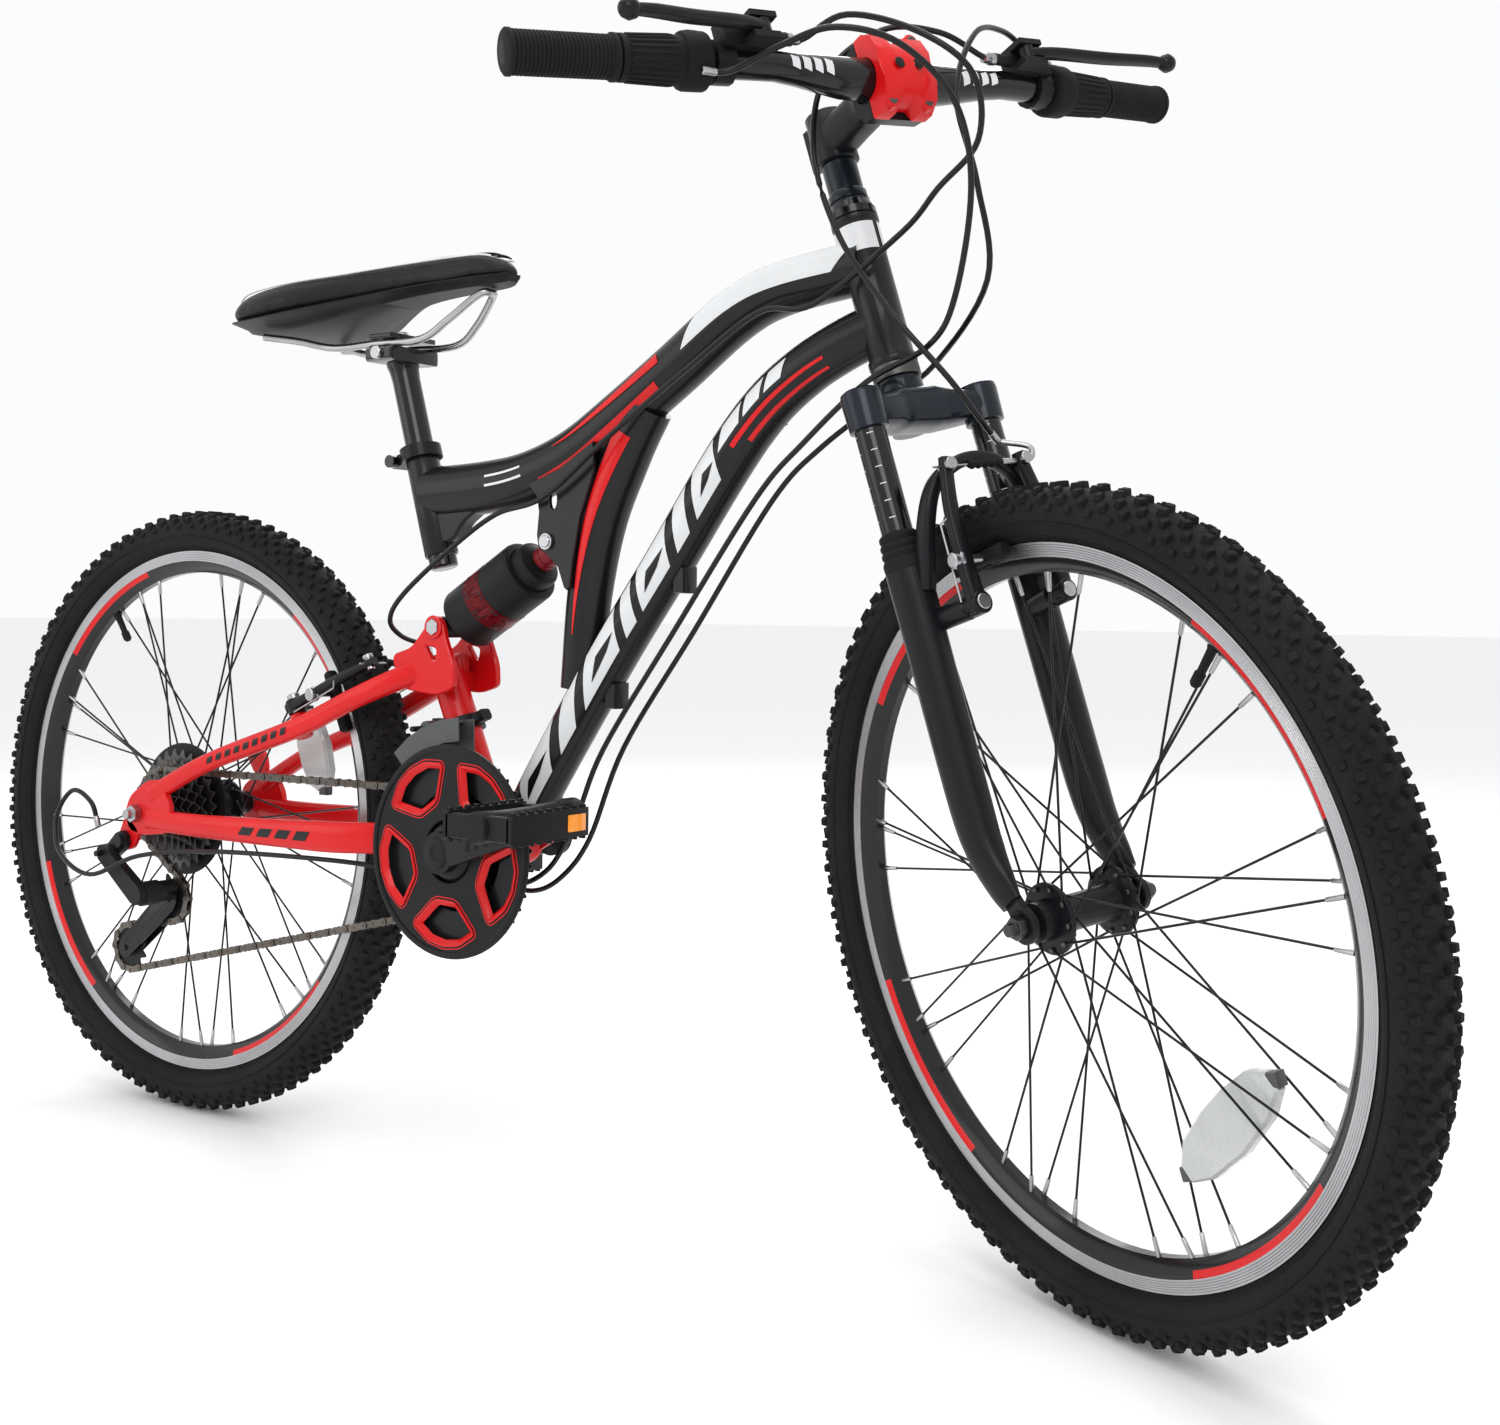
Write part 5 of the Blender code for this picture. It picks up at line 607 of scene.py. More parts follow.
# ------------------------------------------------------------------- swingarm
def build_swingarm():
    shape = Shape()
    shape.turned(both_ends([(0.034, 0.0172), (0.034, 0.0197), (0.0332, 0.0205), (0.028, 0.0205),
                            (0.027, 0.0199)]), BB, Y, 40, True)
    run = (YOKE - BB).normalized()
    shape.sweep([BB + run * 0.018, BB.lerp(YOKE, 0.5), YOKE + run * 0.004],
                [(0.015, 0.015), (0.015, 0.015), (0.0152, 0.0148)], 32)
    lug_low = (BB - PIVOT).normalized()
    across = Vector((-lug_low.z, 0, lug_low.x))
    for side in (-1, 1):
        shape.pipe([(0.356, side * 0.01, 0.454), (0.35, side * 0.012, 0.453), (0.323, side * 0.03, 0.443),
                     (0.278, side * 0.043, 0.424), (0.205, side * 0.049, 0.393), (0.095, side * 0.06, 0.356),
                     (0.018, side * 0.067, 0.32)],
                    [(0.008, 0.0115), (0.008, 0.0115), (0.008, 0.0105), (0.0075, 0.0095), (0.0075, 0.0095),
                     (0.007, 0.0085), (0.005, 0.009)], 24, Y, 2.6)
        shape.pipe([(BB.x - 0.012, side * 0.012, BB.z), (0.356, side * 0.0235, 0.2985),
                    (0.324, side * 0.0385, 0.299), (0.3, side * 0.05, 0.2985), (0.25, side * 0.059, 0.297),
                    (0.1, side * 0.0655, 0.295), (0.015, side * 0.067, 0.296)],
                   [(0.008, 0.014), (0.0075, 0.014), (0.007, 0.014), (0.007, 0.014), (0.007, 0.014),
                    (0.0065, 0.011), (0.005, 0.01)], 24, Y, 2.6)
        dropout = round_outline([(0.05, 0.285), (0.05, 0.312), (0.034, 0.336), (0.014, 0.334), (-0.012,
                                0.318),
                                 (-0.02, 0.3), (-0.012, 0.284), (0.006, 0.28)])
        shape.plate(dropout, side * 0.064, side * 0.07, 0.0008)
        ear = round_outline([(0.35, 0.49), (0.356, 0.4985), (0.365, 0.499), (0.371, 0.492), (0.374, 0.48),
                             (0.385, 0.455), (0.386, 0.435), (0.364, 0.428), (0.318, 0.433), (0.307, 0.463),
                             (0.332, 0.47)])
        window = round_outline([(0.348, 0.473), (0.364, 0.47), (0.361, 0.456)], 3)
        holed_plate(shape, ear, [window], side * 0.024, side * 0.03, 0.001)
        shape.turned([(0, 0.01), (0.0004, 0.0104), (0.0018, 0.0104), (0.0022, 0.01)],
                     SHOCK_LOW + Y * side * 0.0299, Y * side, 28)
        out = PIVOT - lug_low * 0.0145
        lug = round_outline([(p.x, p.z) for p in
                             (PIVOT + across * 0.0145, out + across * 0.006, out - across * 0.006,
                              PIVOT - across * 0.0145, BB - across * 0.016, BB + across * 0.016)])
        shape.plate(lug, side * 0.0303, side * 0.0335, 0.0006)
        boss = REAR_AXLE + BRAKE_RADIAL * BRAKE_BOSS_UP + Y * side * BRAKE_BOSS_Y
        shape.turned([(-0.01, 0.0074), (-0.009, 0.008), (0.012, 0.008), (0.013, 0.0072)], boss, BRAKE_OUT, 24)
    shape.box((0.318, -0.027, 0.434), (0.36, 0.027, 0.448), 0.003)
    hanger = round_outline([(-0.018, 0.3), (0.004, 0.284), (-0.006, 0.266), (-0.022, 0.262), (-0.03, 0.276)])
    shape.plate(hanger, -0.0645, -0.07, 0.0008)
    mount = round_outline([(0.004, 0.33), (0.024, 0.334), (0.02, 0.352), (0.004, 0.362), (-0.012, 0.356),
                           (-0.006, 0.344)])
    shape.plate(mount, 0.0645, 0.0695, 0.0008)
    shape.done("swingarm_tubes", "red_paint", "swingarm", "swingarm")
    trim = Shape()
    for side in (-1, 1):
        run = Tube([(0.205, side * 0.049, 0.393), (0.095, side * 0.06, 0.356)], [(0.0075, 0.0095),
                                                                                       (0.007, 0.0085)])
        for k in range(9):
            face = 0 if side > 0 else pi
            run.decal(trim, (0.06 + k * 0.105, 0.12 + k * 0.105), (face - 0.32, face + 0.32), (1, 1),
                      0.012 * side, 0.0006, (3, 4))
        low = Tube([(0.25, side * 0.059, 0.297), (0.1, side * 0.0655, 0.295)], [(0.007, 0.014),
                                                                                       (0.0065, 0.011)])
        for k in range(4):
            low.decal(trim, (0.05 + k * 0.16, 0.16 + k * 0.16), (face - 0.3, face + 0.3), (1, 1), 0.02 * side,
                      0.0008, (4, 4))
    trim.done("swingarm_trim", "black_paint", "swingarm")
    pins = Shape()
    for side in (-1, 1):
        boss = REAR_AXLE + BRAKE_RADIAL * BRAKE_BOSS_UP + Y * side * BRAKE_BOSS_Y
        pins.rod(boss + BRAKE_OUT * 0.0125, boss + BRAKE_OUT * 0.0326, 0.0039)
        pins.bolt(boss + BRAKE_OUT * 0.0285, BRAKE_OUT, 0.0058, 0.0045)
    pins.done("rear_brake_bolts", "steel", "swingarm")


build_swingarm()
from_cad("bottom_bracket", "dark_steel", "swingarm")
from_cad("rear_axle", "steel", "swingarm")
from_cad("shock_lower_bolt", "steel", "swingarm")


# ---------------------------------------------------------------------- shock
def build_shock():
    run = (SHOCK_TOP - SHOCK_LOW).normalized()
    can = Shape()
    can.turned([(0.0135, 0.0262), (0.015, 0.0284), (0.0165, 0.029), (0.0965, 0.029), (0.099, 0.0284),
                (0.1, 0.0272), (0.1, 0.0224), (0.096, 0.0222), (0.035, 0.0222), (0.035, 0.001)],
               SHOCK_LOW, run, 48)
    can.turned(both_ends([(0.0236, 0.0085), (0.0236, 0.0093), (0.0228, 0.0096)]), SHOCK_LOW, Y, 28)
    can.rod(SHOCK_LOW, SHOCK_LOW + run * 0.02, 0.012, 24)
    can.done("shock_can", "plastic", "shock_shaft", "shock_shaft")
    band = Shape()
    first, second = across_of(run, Y)
    turns = [2 * pi * k / 72 for k in range(72)]
    band.skin([[SHOCK_LOW + run * s + (first * cos(a) + second * sin(a)) * 0.0292 for s in (0.043, 0.0535,
              0.064)]
               for a in turns], closed=True, caps=False)
    band.done("shock_band", "dark_red", "shock_shaft")
    marks = Shape()
    for k in range(9):
        a0 = 2 * pi * k / 9
        for offset in (0.0, 0.16):
            quad = []
            for s, lean in ((0.045, 0.0), (0.062, 0.34)):
                for width in (0.0, 0.1):
                    a = a0 + offset + lean + width
                    quad.append(SHOCK_LOW + run * s + (first * cos(a) + second * sin(a)) * 0.02945)
            verts = [marks.bm.verts.new(quad[i]) for i in (0, 1, 3, 2)]
            marks.bm.faces.new(verts)
    marks.done("shock_band_marks", "black_paint", "shock_shaft")
    body = Shape()
    body.turned([(0.062, 0.0206), (0.063, 0.0216), (0.1105, 0.0216), (0.1125, 0.0206), (0.1135, 0.017),
                 (0.1165, 0.0115), (0.1165, 0.005)], SHOCK_LOW, run, 40)
    body.rod(SHOCK_TOP - Y * 0.0182, SHOCK_TOP + Y * 0.0182, 0.0085, 24)
    body.done("shock_cylinder", "plastic", "shock_body", "shock_body")
    collar = Shape()
    collar.turned([(0.116, 0.01), (0.1165, 0.0112), (0.122, 0.0112), (0.1225, 0.0104), (0.1245, 0.0104),
                   (0.125, 0.0112), (0.134, 0.0112), (0.136, 0.0092)], SHOCK_LOW, run, 32)
    collar.done("shock_collar", "dark_red", "shock_body")
    bolt = Shape()
    bolt.rod(SHOCK_TOP - Y * 0.026, SHOCK_TOP + Y * 0.026, 0.0039, 20)
    for side in (-1, 1):
        bolt.turned([(0, 0.0072), (0.0006, 0.0074), (0.0024, 0.007)], SHOCK_TOP + Y * side * 0.0234, Y * side,
                    24)
        bolt.bolt(SHOCK_TOP + Y * side * 0.025, Y * side, 0.0052, 0.0024)
    bolt.done("shock_upper_bolt", "steel", "shock_body")


build_shock()


# --------------------------------------------------------------------- saddle
RAIL_Z, RAIL_Y, RAIL_R = 0.75, 0.022, 0.0035
SADDLE = [(0.0995, 0.78, 0.7905, 0.038), (0.112, 0.7765, 0.801, 0.058), (0.135, 0.7745, 0.8085, 0.071),
          (0.17, 0.7755, 0.8125, 0.0745), (0.205, 0.78, 0.816, 0.068), (0.24, 0.787, 0.8195, 0.052),
          (0.275, 0.7935, 0.8235, 0.037), (0.315, 0.7985, 0.826, 0.0275), (0.36, 0.801, 0.827, 0.023),
          (0.395, 0.802, 0.8262, 0.021), (0.412, 0.803, 0.8215, 0.0165), (0.4214, 0.805, 0.8135, 0.009)]
PAD_SHAPE = [(-0.9, 0.02), (-0.97, 0.16), (-0.97, 0.32), (-0.92, 0.54), (-0.8, 0.74), (-0.6, 0.87), (-0.3,
             0.93),
             (0, 0.9), (0.3, 0.93), (0.6, 0.87), (0.8, 0.74), (0.92, 0.54), (0.97, 0.32), (0.97, 0.16),
             (0.9, 0.02)]
PAD_PUFF = 0.0022           # how far the cover may swell


def saddle_stations(steps):
    """The saddle's stations, smoothly filled in: x, low, top, half width."""
    low = smooth_path([(x, z, 0) for x, z, top, half in SADDLE], steps)
    high = smooth_path([(x, top, half) for x, z, top, half in SADDLE], steps)
    return [(a.x, a.y, b.y, b.z) for a, b in zip(low, high)]


def puffed(obj):
    """Swell a closed cover with a short cloth run, capped and applied."""
    context = bpy.context
    remesh = obj.modifiers.new("remesh", "REMESH")
    remesh.mode = "VOXEL"
    remesh.voxel_size = 0.0042
    graph = context.evaluated_depsgraph_get()
    start = bpy.data.meshes.new_from_object(obj.evaluated_get(graph))
    obj.modifiers.clear()
    obj.data = start
    home = [v.co.copy() for v in start.vertices]
    cloth = obj.modifiers.new("cloth", "CLOTH")
    cloth.settings.use_pressure = True
    cloth.settings.uniform_pressure_force = 4.0
    cloth.settings.effector_weights.gravity = 0.0
    cloth.settings.quality = 5
    cloth.settings.tension_stiffness = cloth.settings.compression_stiffness = 25
    for step in range(1, 21):
        context.scene.frame_set(step)
    graph = context.evaluated_depsgraph_get()
    swollen = bpy.data.meshes.new_from_object(obj.evaluated_get(graph))
    obj.modifiers.clear()
    obj.data = swollen
    for vertex, old in zip(swollen.vertices, home):
        move = vertex.co - old
        if move.length > PAD_PUFF:
            vertex.co = old + move.normalized() * PAD_PUFF
    context.scene.frame_set(1)


def build_saddle():
    shape = Shape()
    shape.skin([[Vector((x, u * half, low + v * (top - low))) for u, v in PAD_SHAPE]
                for x, low, top, half in saddle_stations(4)])
    pad = shape.done("saddle_cover", "skin", "saddle", "saddle_pad", crease=70)
    puffed(pad)
    pad.data.materials.clear()
    pad.data.materials.append(MAT["skin"])
    pad.data.shade_smooth()
    smooth = pad.modifiers.new("smooth", "SMOOTH")
    smooth.iterations = 6
    smooth.factor = 0.5
    fine = pad.modifiers.new("subsurf", "SUBSURF")
    fine.levels = fine.render_levels = 1
    shell = Shape()
    outline = [(-0.93, 0.0), (-0.99, 0.04), (-0.99, -0.1), (-0.93, -0.2), (-0.86, -0.3), (-0.66, -0.62),
               (-0.58, -0.98), (0.58, -0.98), (0.66, -0.62), (0.86, -0.3), (0.93, -0.2), (0.99, -0.1),
               (0.99, 0.04), (0.93, 0.0)]
    shell.skin([[Vector((x, u * half * 0.985, low - 0.0004 + v * 0.0072)) for u, v in outline]
                for x, low, top, half in saddle_stations(4)])
    shell.done("saddle_base", "plastic", "saddle", "saddle_shell")
    piping = Shape()
    for side in (-1, 1):
        seam = []
        for x, low, top, half in saddle_stations(3)[3:-4]:
            seam.append(Vector((x, side * half * 0.8, low + (top - low) * 0.79 + 0.0006)))
        piping.sweep(seam, (0.0009, 0.0009), 10, Z)
    piping.done("saddle_piping", "white_paint", "saddle")
    edge = Shape()
    for side in (-1, 1):
        for reach in ((0.4, 0.86), (0.22, 0.9)):
            seam = []
            for x, low, top, half in saddle_stations(3)[6:-3]:
                seam.append(Vector((x, side * half * reach[0], low + (top - low) * reach[1] + 0.0012)))
            edge.sweep(seam, (0.0008, 0.0008), 8, Z)
    edge.done("saddle_stitching", "rubber", "saddle")
    rails = Shape()
    half = [(0.148, -0.048, 0.7615), (0.18, -0.034, 0.757), (0.215, -RAIL_Y, RAIL_Z), (0.27, -RAIL_Y, RAIL_Z),
            (0.33, -RAIL_Y, RAIL_Z), (0.36, -0.018, 0.766), (0.388, -0.0085, 0.788), (0.3945, 0, 0.7895)]
    path = smooth_path(half + [(x, -y, z) for x, y, z in reversed(half[:-1])], 6)
    rails.sweep(path, (RAIL_R, RAIL_R), 16, Z)
    rails.done("saddle_rail_wires", "steel", "saddle", "saddle_rails")
    post = Shape()
    post.turned([(-0.012, 0.0115), (-0.011, 0.0127), (0.17, 0.0127), (0.18, 0.0135), (0.186, 0.015),
                 (0.19, 0.015), (0.192, 0.014)], SEAT_FOOT, SEAT_UP, 40)
    middle = (SEAT_FOOT + SEAT_UP * 0.192).x
    low = RAIL_Z - 0.0038
    high = RAIL_Z + 0.0038
    post.box((middle - 0.018, -0.03, low - 0.013), (middle + 0.018, 0.03, low), 0.0035)
    post.box((middle - 0.015, -0.028, high), (middle + 0.015, 0.028, high + 0.0045), 0.0016)
    post.done("seatpost_tube", "gloss", "saddle", "seatpost")
    bolt = Shape()
    bolt.bolt(Vector((middle, 0, high + 0.0045)), Z, 0.0055, 0.0045)
    bolt.bolt(Vector((middle, 0, low - 0.0125)), -Z, 0.0055, 0.003)
    for side in (-1, 1):
        bolt.bolt(Vector((middle, side * 0.03, low - 0.006)), Y * side, 0.0062, 0.0035)
    bolt.done("saddle_clamp_bolts", "steel", "saddle")


build_saddle()


# --------------------------------------------------------------------- wheels
KNOBS_ROUND, EDGE_KNOB, SHOULDER_KNOB, KNOB_CLEAR, KNOB_SUNK = 92, 0.002, 0.0034, 0.0002, 0.0008
ARC_LONG, ARC_STEP, ARC_TALL = 34, 90, 0.0056     # the rim's red arcs: degrees, degrees, metres
SPOKES_A_SIDE, LACE_TURN, RIM_WALL, RIM_BED = 18, radians(54), 0.0026, 0.0048
TREAD = [(0.0, TYRE_R - 0.0042), (0.008, TYRE_R - 0.0044), (0.014, TYRE_R - 0.007), (0.019, TYRE_R - 0.0115),
         (0.0218, TYRE_R - 0.0175)]     # the casing under the knobs: (y, radius)


def turn_points(centre, radius, angle, y):
    return Vector((centre.x + radius * cos(angle), y, centre.z + radius * sin(angle)))


def build_tyre(word, centre, matrix, body):
    carcass = Shape()
    half = TREAD + [(0.0224, TYRE_R - 0.024), (0.0208, TYRE_R - 0.0305), (0.016, TYRE_R - 0.036),
                    (0.012, TYRE_R - 0.0388), (0.0108, TYRE_R - 0.0405), (0.0086, RIM_R - 0.004)]
    profile = half + [(-y, r) for y, r in reversed(half[1:])]
    count = 96
    rings = [[turn_points(centre, r, 2 * pi * k / count, y) for y, r in profile] for k in range(count)]
    carcass.skin(rings, closed=True)
    for y, r in ((0.0221, TYRE_R - 0.027), (0.015, TYRE_R - 0.0372), (0.0126, TYRE_R - 0.0388)):
        for side in (-1, 1):
            rib = [[turn_points(centre, r + b, 2 * pi * k / count, side * (y + a)) for a, b in
                    ((-0.0006, -0.0006), (0.0006, -0.0002), (0.0006, 0.0006), (-0.0006, 0.0006))]
                   for k in range(count)]
            carcass.skin(rib, closed=True)
    carcass.done(word + "_tyre_casing", "tyre", body, word + "_tyre", matrix)
    knobs = Shape()
    rows = [(0.0052, 0.0036, 0.0048, 0.0, 0.0, 1.0), (0.0128, 0.003, 0.0046, 0.5, 0.28, 1.0),
            (0.018, 0.0028, 0.005, 0.0, 0.68, 1.0), (0.0212, 0.002, 0.004, 0.5, 1.02, 0.62)]
    for y, wide, long, phase, lean, tall in rows:
        surface = surface_radius(y)
        for side in (-1, 1):
            for k in range(KNOBS_ROUND):
                a = 2 * pi * (k + phase + 0.25 * (side > 0)) / KNOBS_ROUND
                normal = Vector((cos(a) * cos(lean), side * sin(lean), sin(a) * cos(lean)))
                along = Vector((-sin(a), 0, cos(a)))
                across = normal.cross(along)
                if lean < 0.1:
                    top = (TYRE_R - surface - KNOB_CLEAR) * tall
                else:
                    top = EDGE_KNOB if tall < 1 else SHOULDER_KNOB
                foot = turn_points(centre, surface - KNOB_SUNK, a, side * y)
                room = TYRE_R - KNOB_CLEAR - hypot(foot.x - centre.x, foot.z - centre.z)
                height = min(top + KNOB_SUNK, room / max(0.2, cos(lean)))
                twist = 0.35 if k % 2 else -0.1
                u = along * cos(twist) + across * sin(twist)
                v = across * cos(twist) - along * sin(twist)
                rings = []
                for h, grow in ((0, 1.15), (height * 0.85, 1.0), (height, 0.86)):
                    rings.append([foot + normal * h + u * (long * sx * grow / 2 * 1.1)
                                  + v * (wide * sy * grow)
                                  for sx, sy in ((-1, -1), (1, -1), (1, 1), (-1, 1))])
                knobs.skin(rings)
    knobs.done(word + "_tyre_knobs", "tyre", body, (), matrix)


def surface_radius(y):
    """Radius of the tyre's casing at a distance from its middle plane."""
    for (y1, r1), (y2, r2) in zip(TREAD, TREAD[1:]):
        if y <= y2:
            return r1 + (r2 - r1) * (y - y1) / (y2 - y1)
    return TREAD[-1][1]


def build_rim(word, centre, matrix, body, phase):
    """A hoop with grooved brake tracks and red arcs, told by place."""
    shape = Shape()
    half = RIM_W / 2
    right = [(half, RIM_R)]
    for k in range(1, 6):
        edge = RIM_R - TRACK_H * k / 6
        right += [(half, edge + 0.0003), (half - 0.0003, edge), (half, edge - 0.0003)]
    right += [(half, RIM_R - TRACK_H), (half - 0.0008, RIM_R - TRACK_H - 0.0006),
             (half * 0.8, RIM_R - TRACK_H - 0.005), (half * 0.42, RIM_R - RIM_DEPTH + 0.0015),
             (half * 0.3, RIM_R - RIM_DEPTH)]
    inner = half - RIM_WALL
    bed = [(-inner, RIM_R), (-inner, RIM_R - RIM_BED), (inner, RIM_R - RIM_BED), (inner, RIM_R)]
    profile = right + [(-y, r) for y, r in reversed(right)] + bed
    count = 144
    shape.skin([[turn_points(centre, r, 2 * pi * k / count, y) for y, r in profile] for k in range(count)],
               closed=True)
    hoop = shape.done(word + "_rim_hoop", "rim_paint", body, word + "_rim", matrix, crease=28)
    for mat in ("brake_track", "red_paint"):
        hoop.data.materials.append(MAT[mat])
    back = matrix.inverted()
    for face in hoop.data.polygons:
        place = back @ face.center - centre
        radius, outer = hypot(place.x, place.z), abs(place.y)
        turn = (degrees(atan2(place.z, place.x)) - phase) % ARC_STEP
        if outer > half - 0.0006 and radius > RIM_R - TRACK_H:
            face.material_index = 1
        elif turn < ARC_LONG and RIM_R - TRACK_H - ARC_TALL < radius < RIM_R - TRACK_H and outer > half * 0.6:
            face.material_index = 2


def build_hub(word, centre, matrix, body, left, right, left_end, right_end):
    shell = Shape()
    shell.turned([(-right_end, 0.01), (-right_end, 0.0138), (-right - 0.0022, 0.0145), (-right - 0.002,
                 0.0245),
                  (-right - 0.0012, 0.0254), (-right + 0.0012, 0.0254), (-right + 0.002, 0.0245),
                  (-right + 0.004, 0.015), (-right + 0.009, 0.0128), (left - 0.009, 0.0128),
                  (left - 0.004, 0.015), (left - 0.002, 0.0245), (left - 0.0012, 0.0254),
                  (left + 0.0012, 0.0254), (left + 0.002, 0.0245), (left + 0.0022, 0.0145), (left_end - 0.001,
                  0.0116),
                  (left_end, 0.01)], centre, Y, 48)
    shell.done(word + "_hub_shell", "satin", body, word + "_hub", matrix)
    spokes, nipples, heads = Shape(), Shape(), Shape()
    end_r = RIM_R - RIM_DEPTH
    for side, flange in ((1, left), (-1, right)):
        for k in range(SPOKES_A_SIDE):
            lead = 1 if k % 2 else -1
            at_hub = 2 * pi * (k + 0.5 * (side > 0)) / SPOKES_A_SIDE
            at_rim = at_hub + lead * LACE_TURN
            low = centre + Vector((cos(at_hub) * 0.0215, side * (flange + lead * 0.0028),
                                   sin(at_hub) * 0.0215))
            high = centre + Vector((cos(at_rim) * (end_r - 0.001), side * 0.0028,
                                    sin(at_rim) * (end_r - 0.001)))
            run = (high - low).normalized()
            spokes.rod(low - run * 0.002, high, 0.00095, 8, 0.0002)
            nipples.turned([(-0.013, 0.0012), (-0.0122, 0.0017), (-0.001, 0.0019), (0.001, 0.0019)], high,
                           run, 10)
            heads.turned([(-0.0006, 0.0016), (0.0006, 0.002), (0.0014, 0.0012)],
                         low + Y * side * lead * 0.0004, Y * side * lead, 10)
    spokes.done(word + "_spokes", "satin", body, (), matrix)
    nipples.done(word + "_spoke_nipples", "steel", body, (), matrix)
    heads.done(word + "_spoke_heads", "dark_steel", body, (), matrix)


def build_valve(word, centre, matrix, body, angle):
    shape = Shape()
    out = Vector((cos(angle), 0, sin(angle)))
    foot = centre + out * (RIM_R - RIM_DEPTH + 0.002)
    shape.turned([(0, 0.0046), (0.004, 0.0042), (0.006, 0.0034), (0.024, 0.003), (0.025, 0.004), (0.033,
                 0.004),
                  (0.035, 0.0028)], foot, -out, 20)
    shape.done(word + "_valve", "rubber", body, (), matrix)


def build_wheel_reflector(word, centre, matrix, body, angle, radius, scale):
    shape = Shape()
    out = Vector((cos(angle), 0, sin(angle)))
    side = Vector((-sin(angle), 0, cos(angle)))
    outline = [(-0.046, -0.006), (-0.034, -0.016), (-0.01, -0.0195), (0.012, -0.0195), (0.034, -0.016),
               (0.046, -0.006), (0.046, 0.008), (0.03, 0.0165), (0.0, 0.02), (-0.03, 0.0165), (-0.046, 0.008)]
    points = [centre + out * (radius + b) + side * a * scale for a, b in outline]
    shape.plate([(p.x, p.z) for p in points], -0.0055, 0.0055, 0.0022)
    shape.done(word + "_wheel_reflector", "white_reflector", body, (), matrix)
    clip = Shape()
    for reach in (-0.047, 0.047):
        spot = centre + out * (radius + 0.001) + side * reach * scale
        clip.box((spot.x - 0.005, -0.0045, spot.z - 0.005), (spot.x + 0.005, 0.0045, spot.z + 0.005), 0.0012)
    clip.done(word + "_reflector_clips", "grey_plastic", body, (), matrix)


LOCAL = Matrix.Identity(4)
build_tyre("rear", REAR_AXLE, LOCAL, "rear_wheel")
build_rim("rear", REAR_AXLE, LOCAL, "rear_wheel", 18)
build_hub("rear", REAR_AXLE, LOCAL, "rear_wheel", 0.034, 0.0165, 0.059, 0.02)
build_valve("rear", REAR_AXLE, LOCAL, "rear_wheel", radians(125.6))
build_tyre("front", AXLE_LOCAL, STEER, "front_wheel")
build_rim("front", AXLE_LOCAL, STEER, "front_wheel", 6)
build_hub("front", AXLE_LOCAL, STEER, "front_wheel", 0.03, 0.03, 0.045, 0.045)
build_valve("front", AXLE_LOCAL, STEER, "front_wheel", radians(36.2))
build_wheel_reflector("front", AXLE_LOCAL, STEER, "front_wheel", radians(-61), 0.176, 1.25)
build_wheel_reflector("rear", REAR_AXLE, LOCAL, "rear_wheel", radians(21), 0.186, 0.85)
disc = Shape()
disc.turned([(0.0, 0.0225), (0.0, 0.0655), (0.0012, 0.066), (0.0014, 0.064), (0.0014, 0.0225)],
            REAR_AXLE - Y * 0.0182, Y, 64, True)
disc.done("spoke_protector", "plastic", "rear_wheel")


# ----------------------------------------------------------------- drivetrain
def gear_outline(centre, teeth, phase=0.0):
    """A sprocket's outline: a roller-sized hollow between pointed teeth."""
    pitch = pitch_radius(teeth)
    points = []
    for k in range(teeth):
        for share, height in ((0.0, -0.0037), (0.13, -0.003), (0.3, 0.0002), (0.42, 0.0028), (0.5, 0.0034),
                              (0.58, 0.0028), (0.7, 0.0002), (0.87, -0.003)):
            a = phase + 2 * pi * (k + share) / teeth
            points.append((centre.x + (pitch + height) * cos(a), centre.z + (pitch + height) * sin(a)))
    return points


def gear(shape, centre, teeth, y, hole, thick=0.0018, holes=(), phase=0.0):
    holed_plate(shape, gear_outline(centre, teeth, phase=phase), [circle_points(centre, hole, 32), *holes],
                y - thick / 2, y + thick / 2, 0.0003)


def pitch_radius(teeth):
    return CHAIN_PITCH / (2 * sin(pi / teeth))


def fan_windows(centre, spans, round_by=0.18):
    outlines = []
    for index in range(5):
        angle = CRANK_ANGLE + 2 * pi * index / 5 + pi / 5
        out = Vector((cos(angle), 0, sin(angle)))
        side = Vector((-sin(angle), 0, cos(angle)))
        points = [centre + out * a + side * b for a, b in spans]
        outlines.append(round_outline([(p.x, p.z) for p in points], 4, round_by))
    return outlines


GUARD_WINDOW = [(0.042, 0.012), (0.042, -0.012), (0.066, -0.036), (0.078, -0.018), (0.081, 0.0),
                (0.078, 0.018), (0.066, 0.036)]


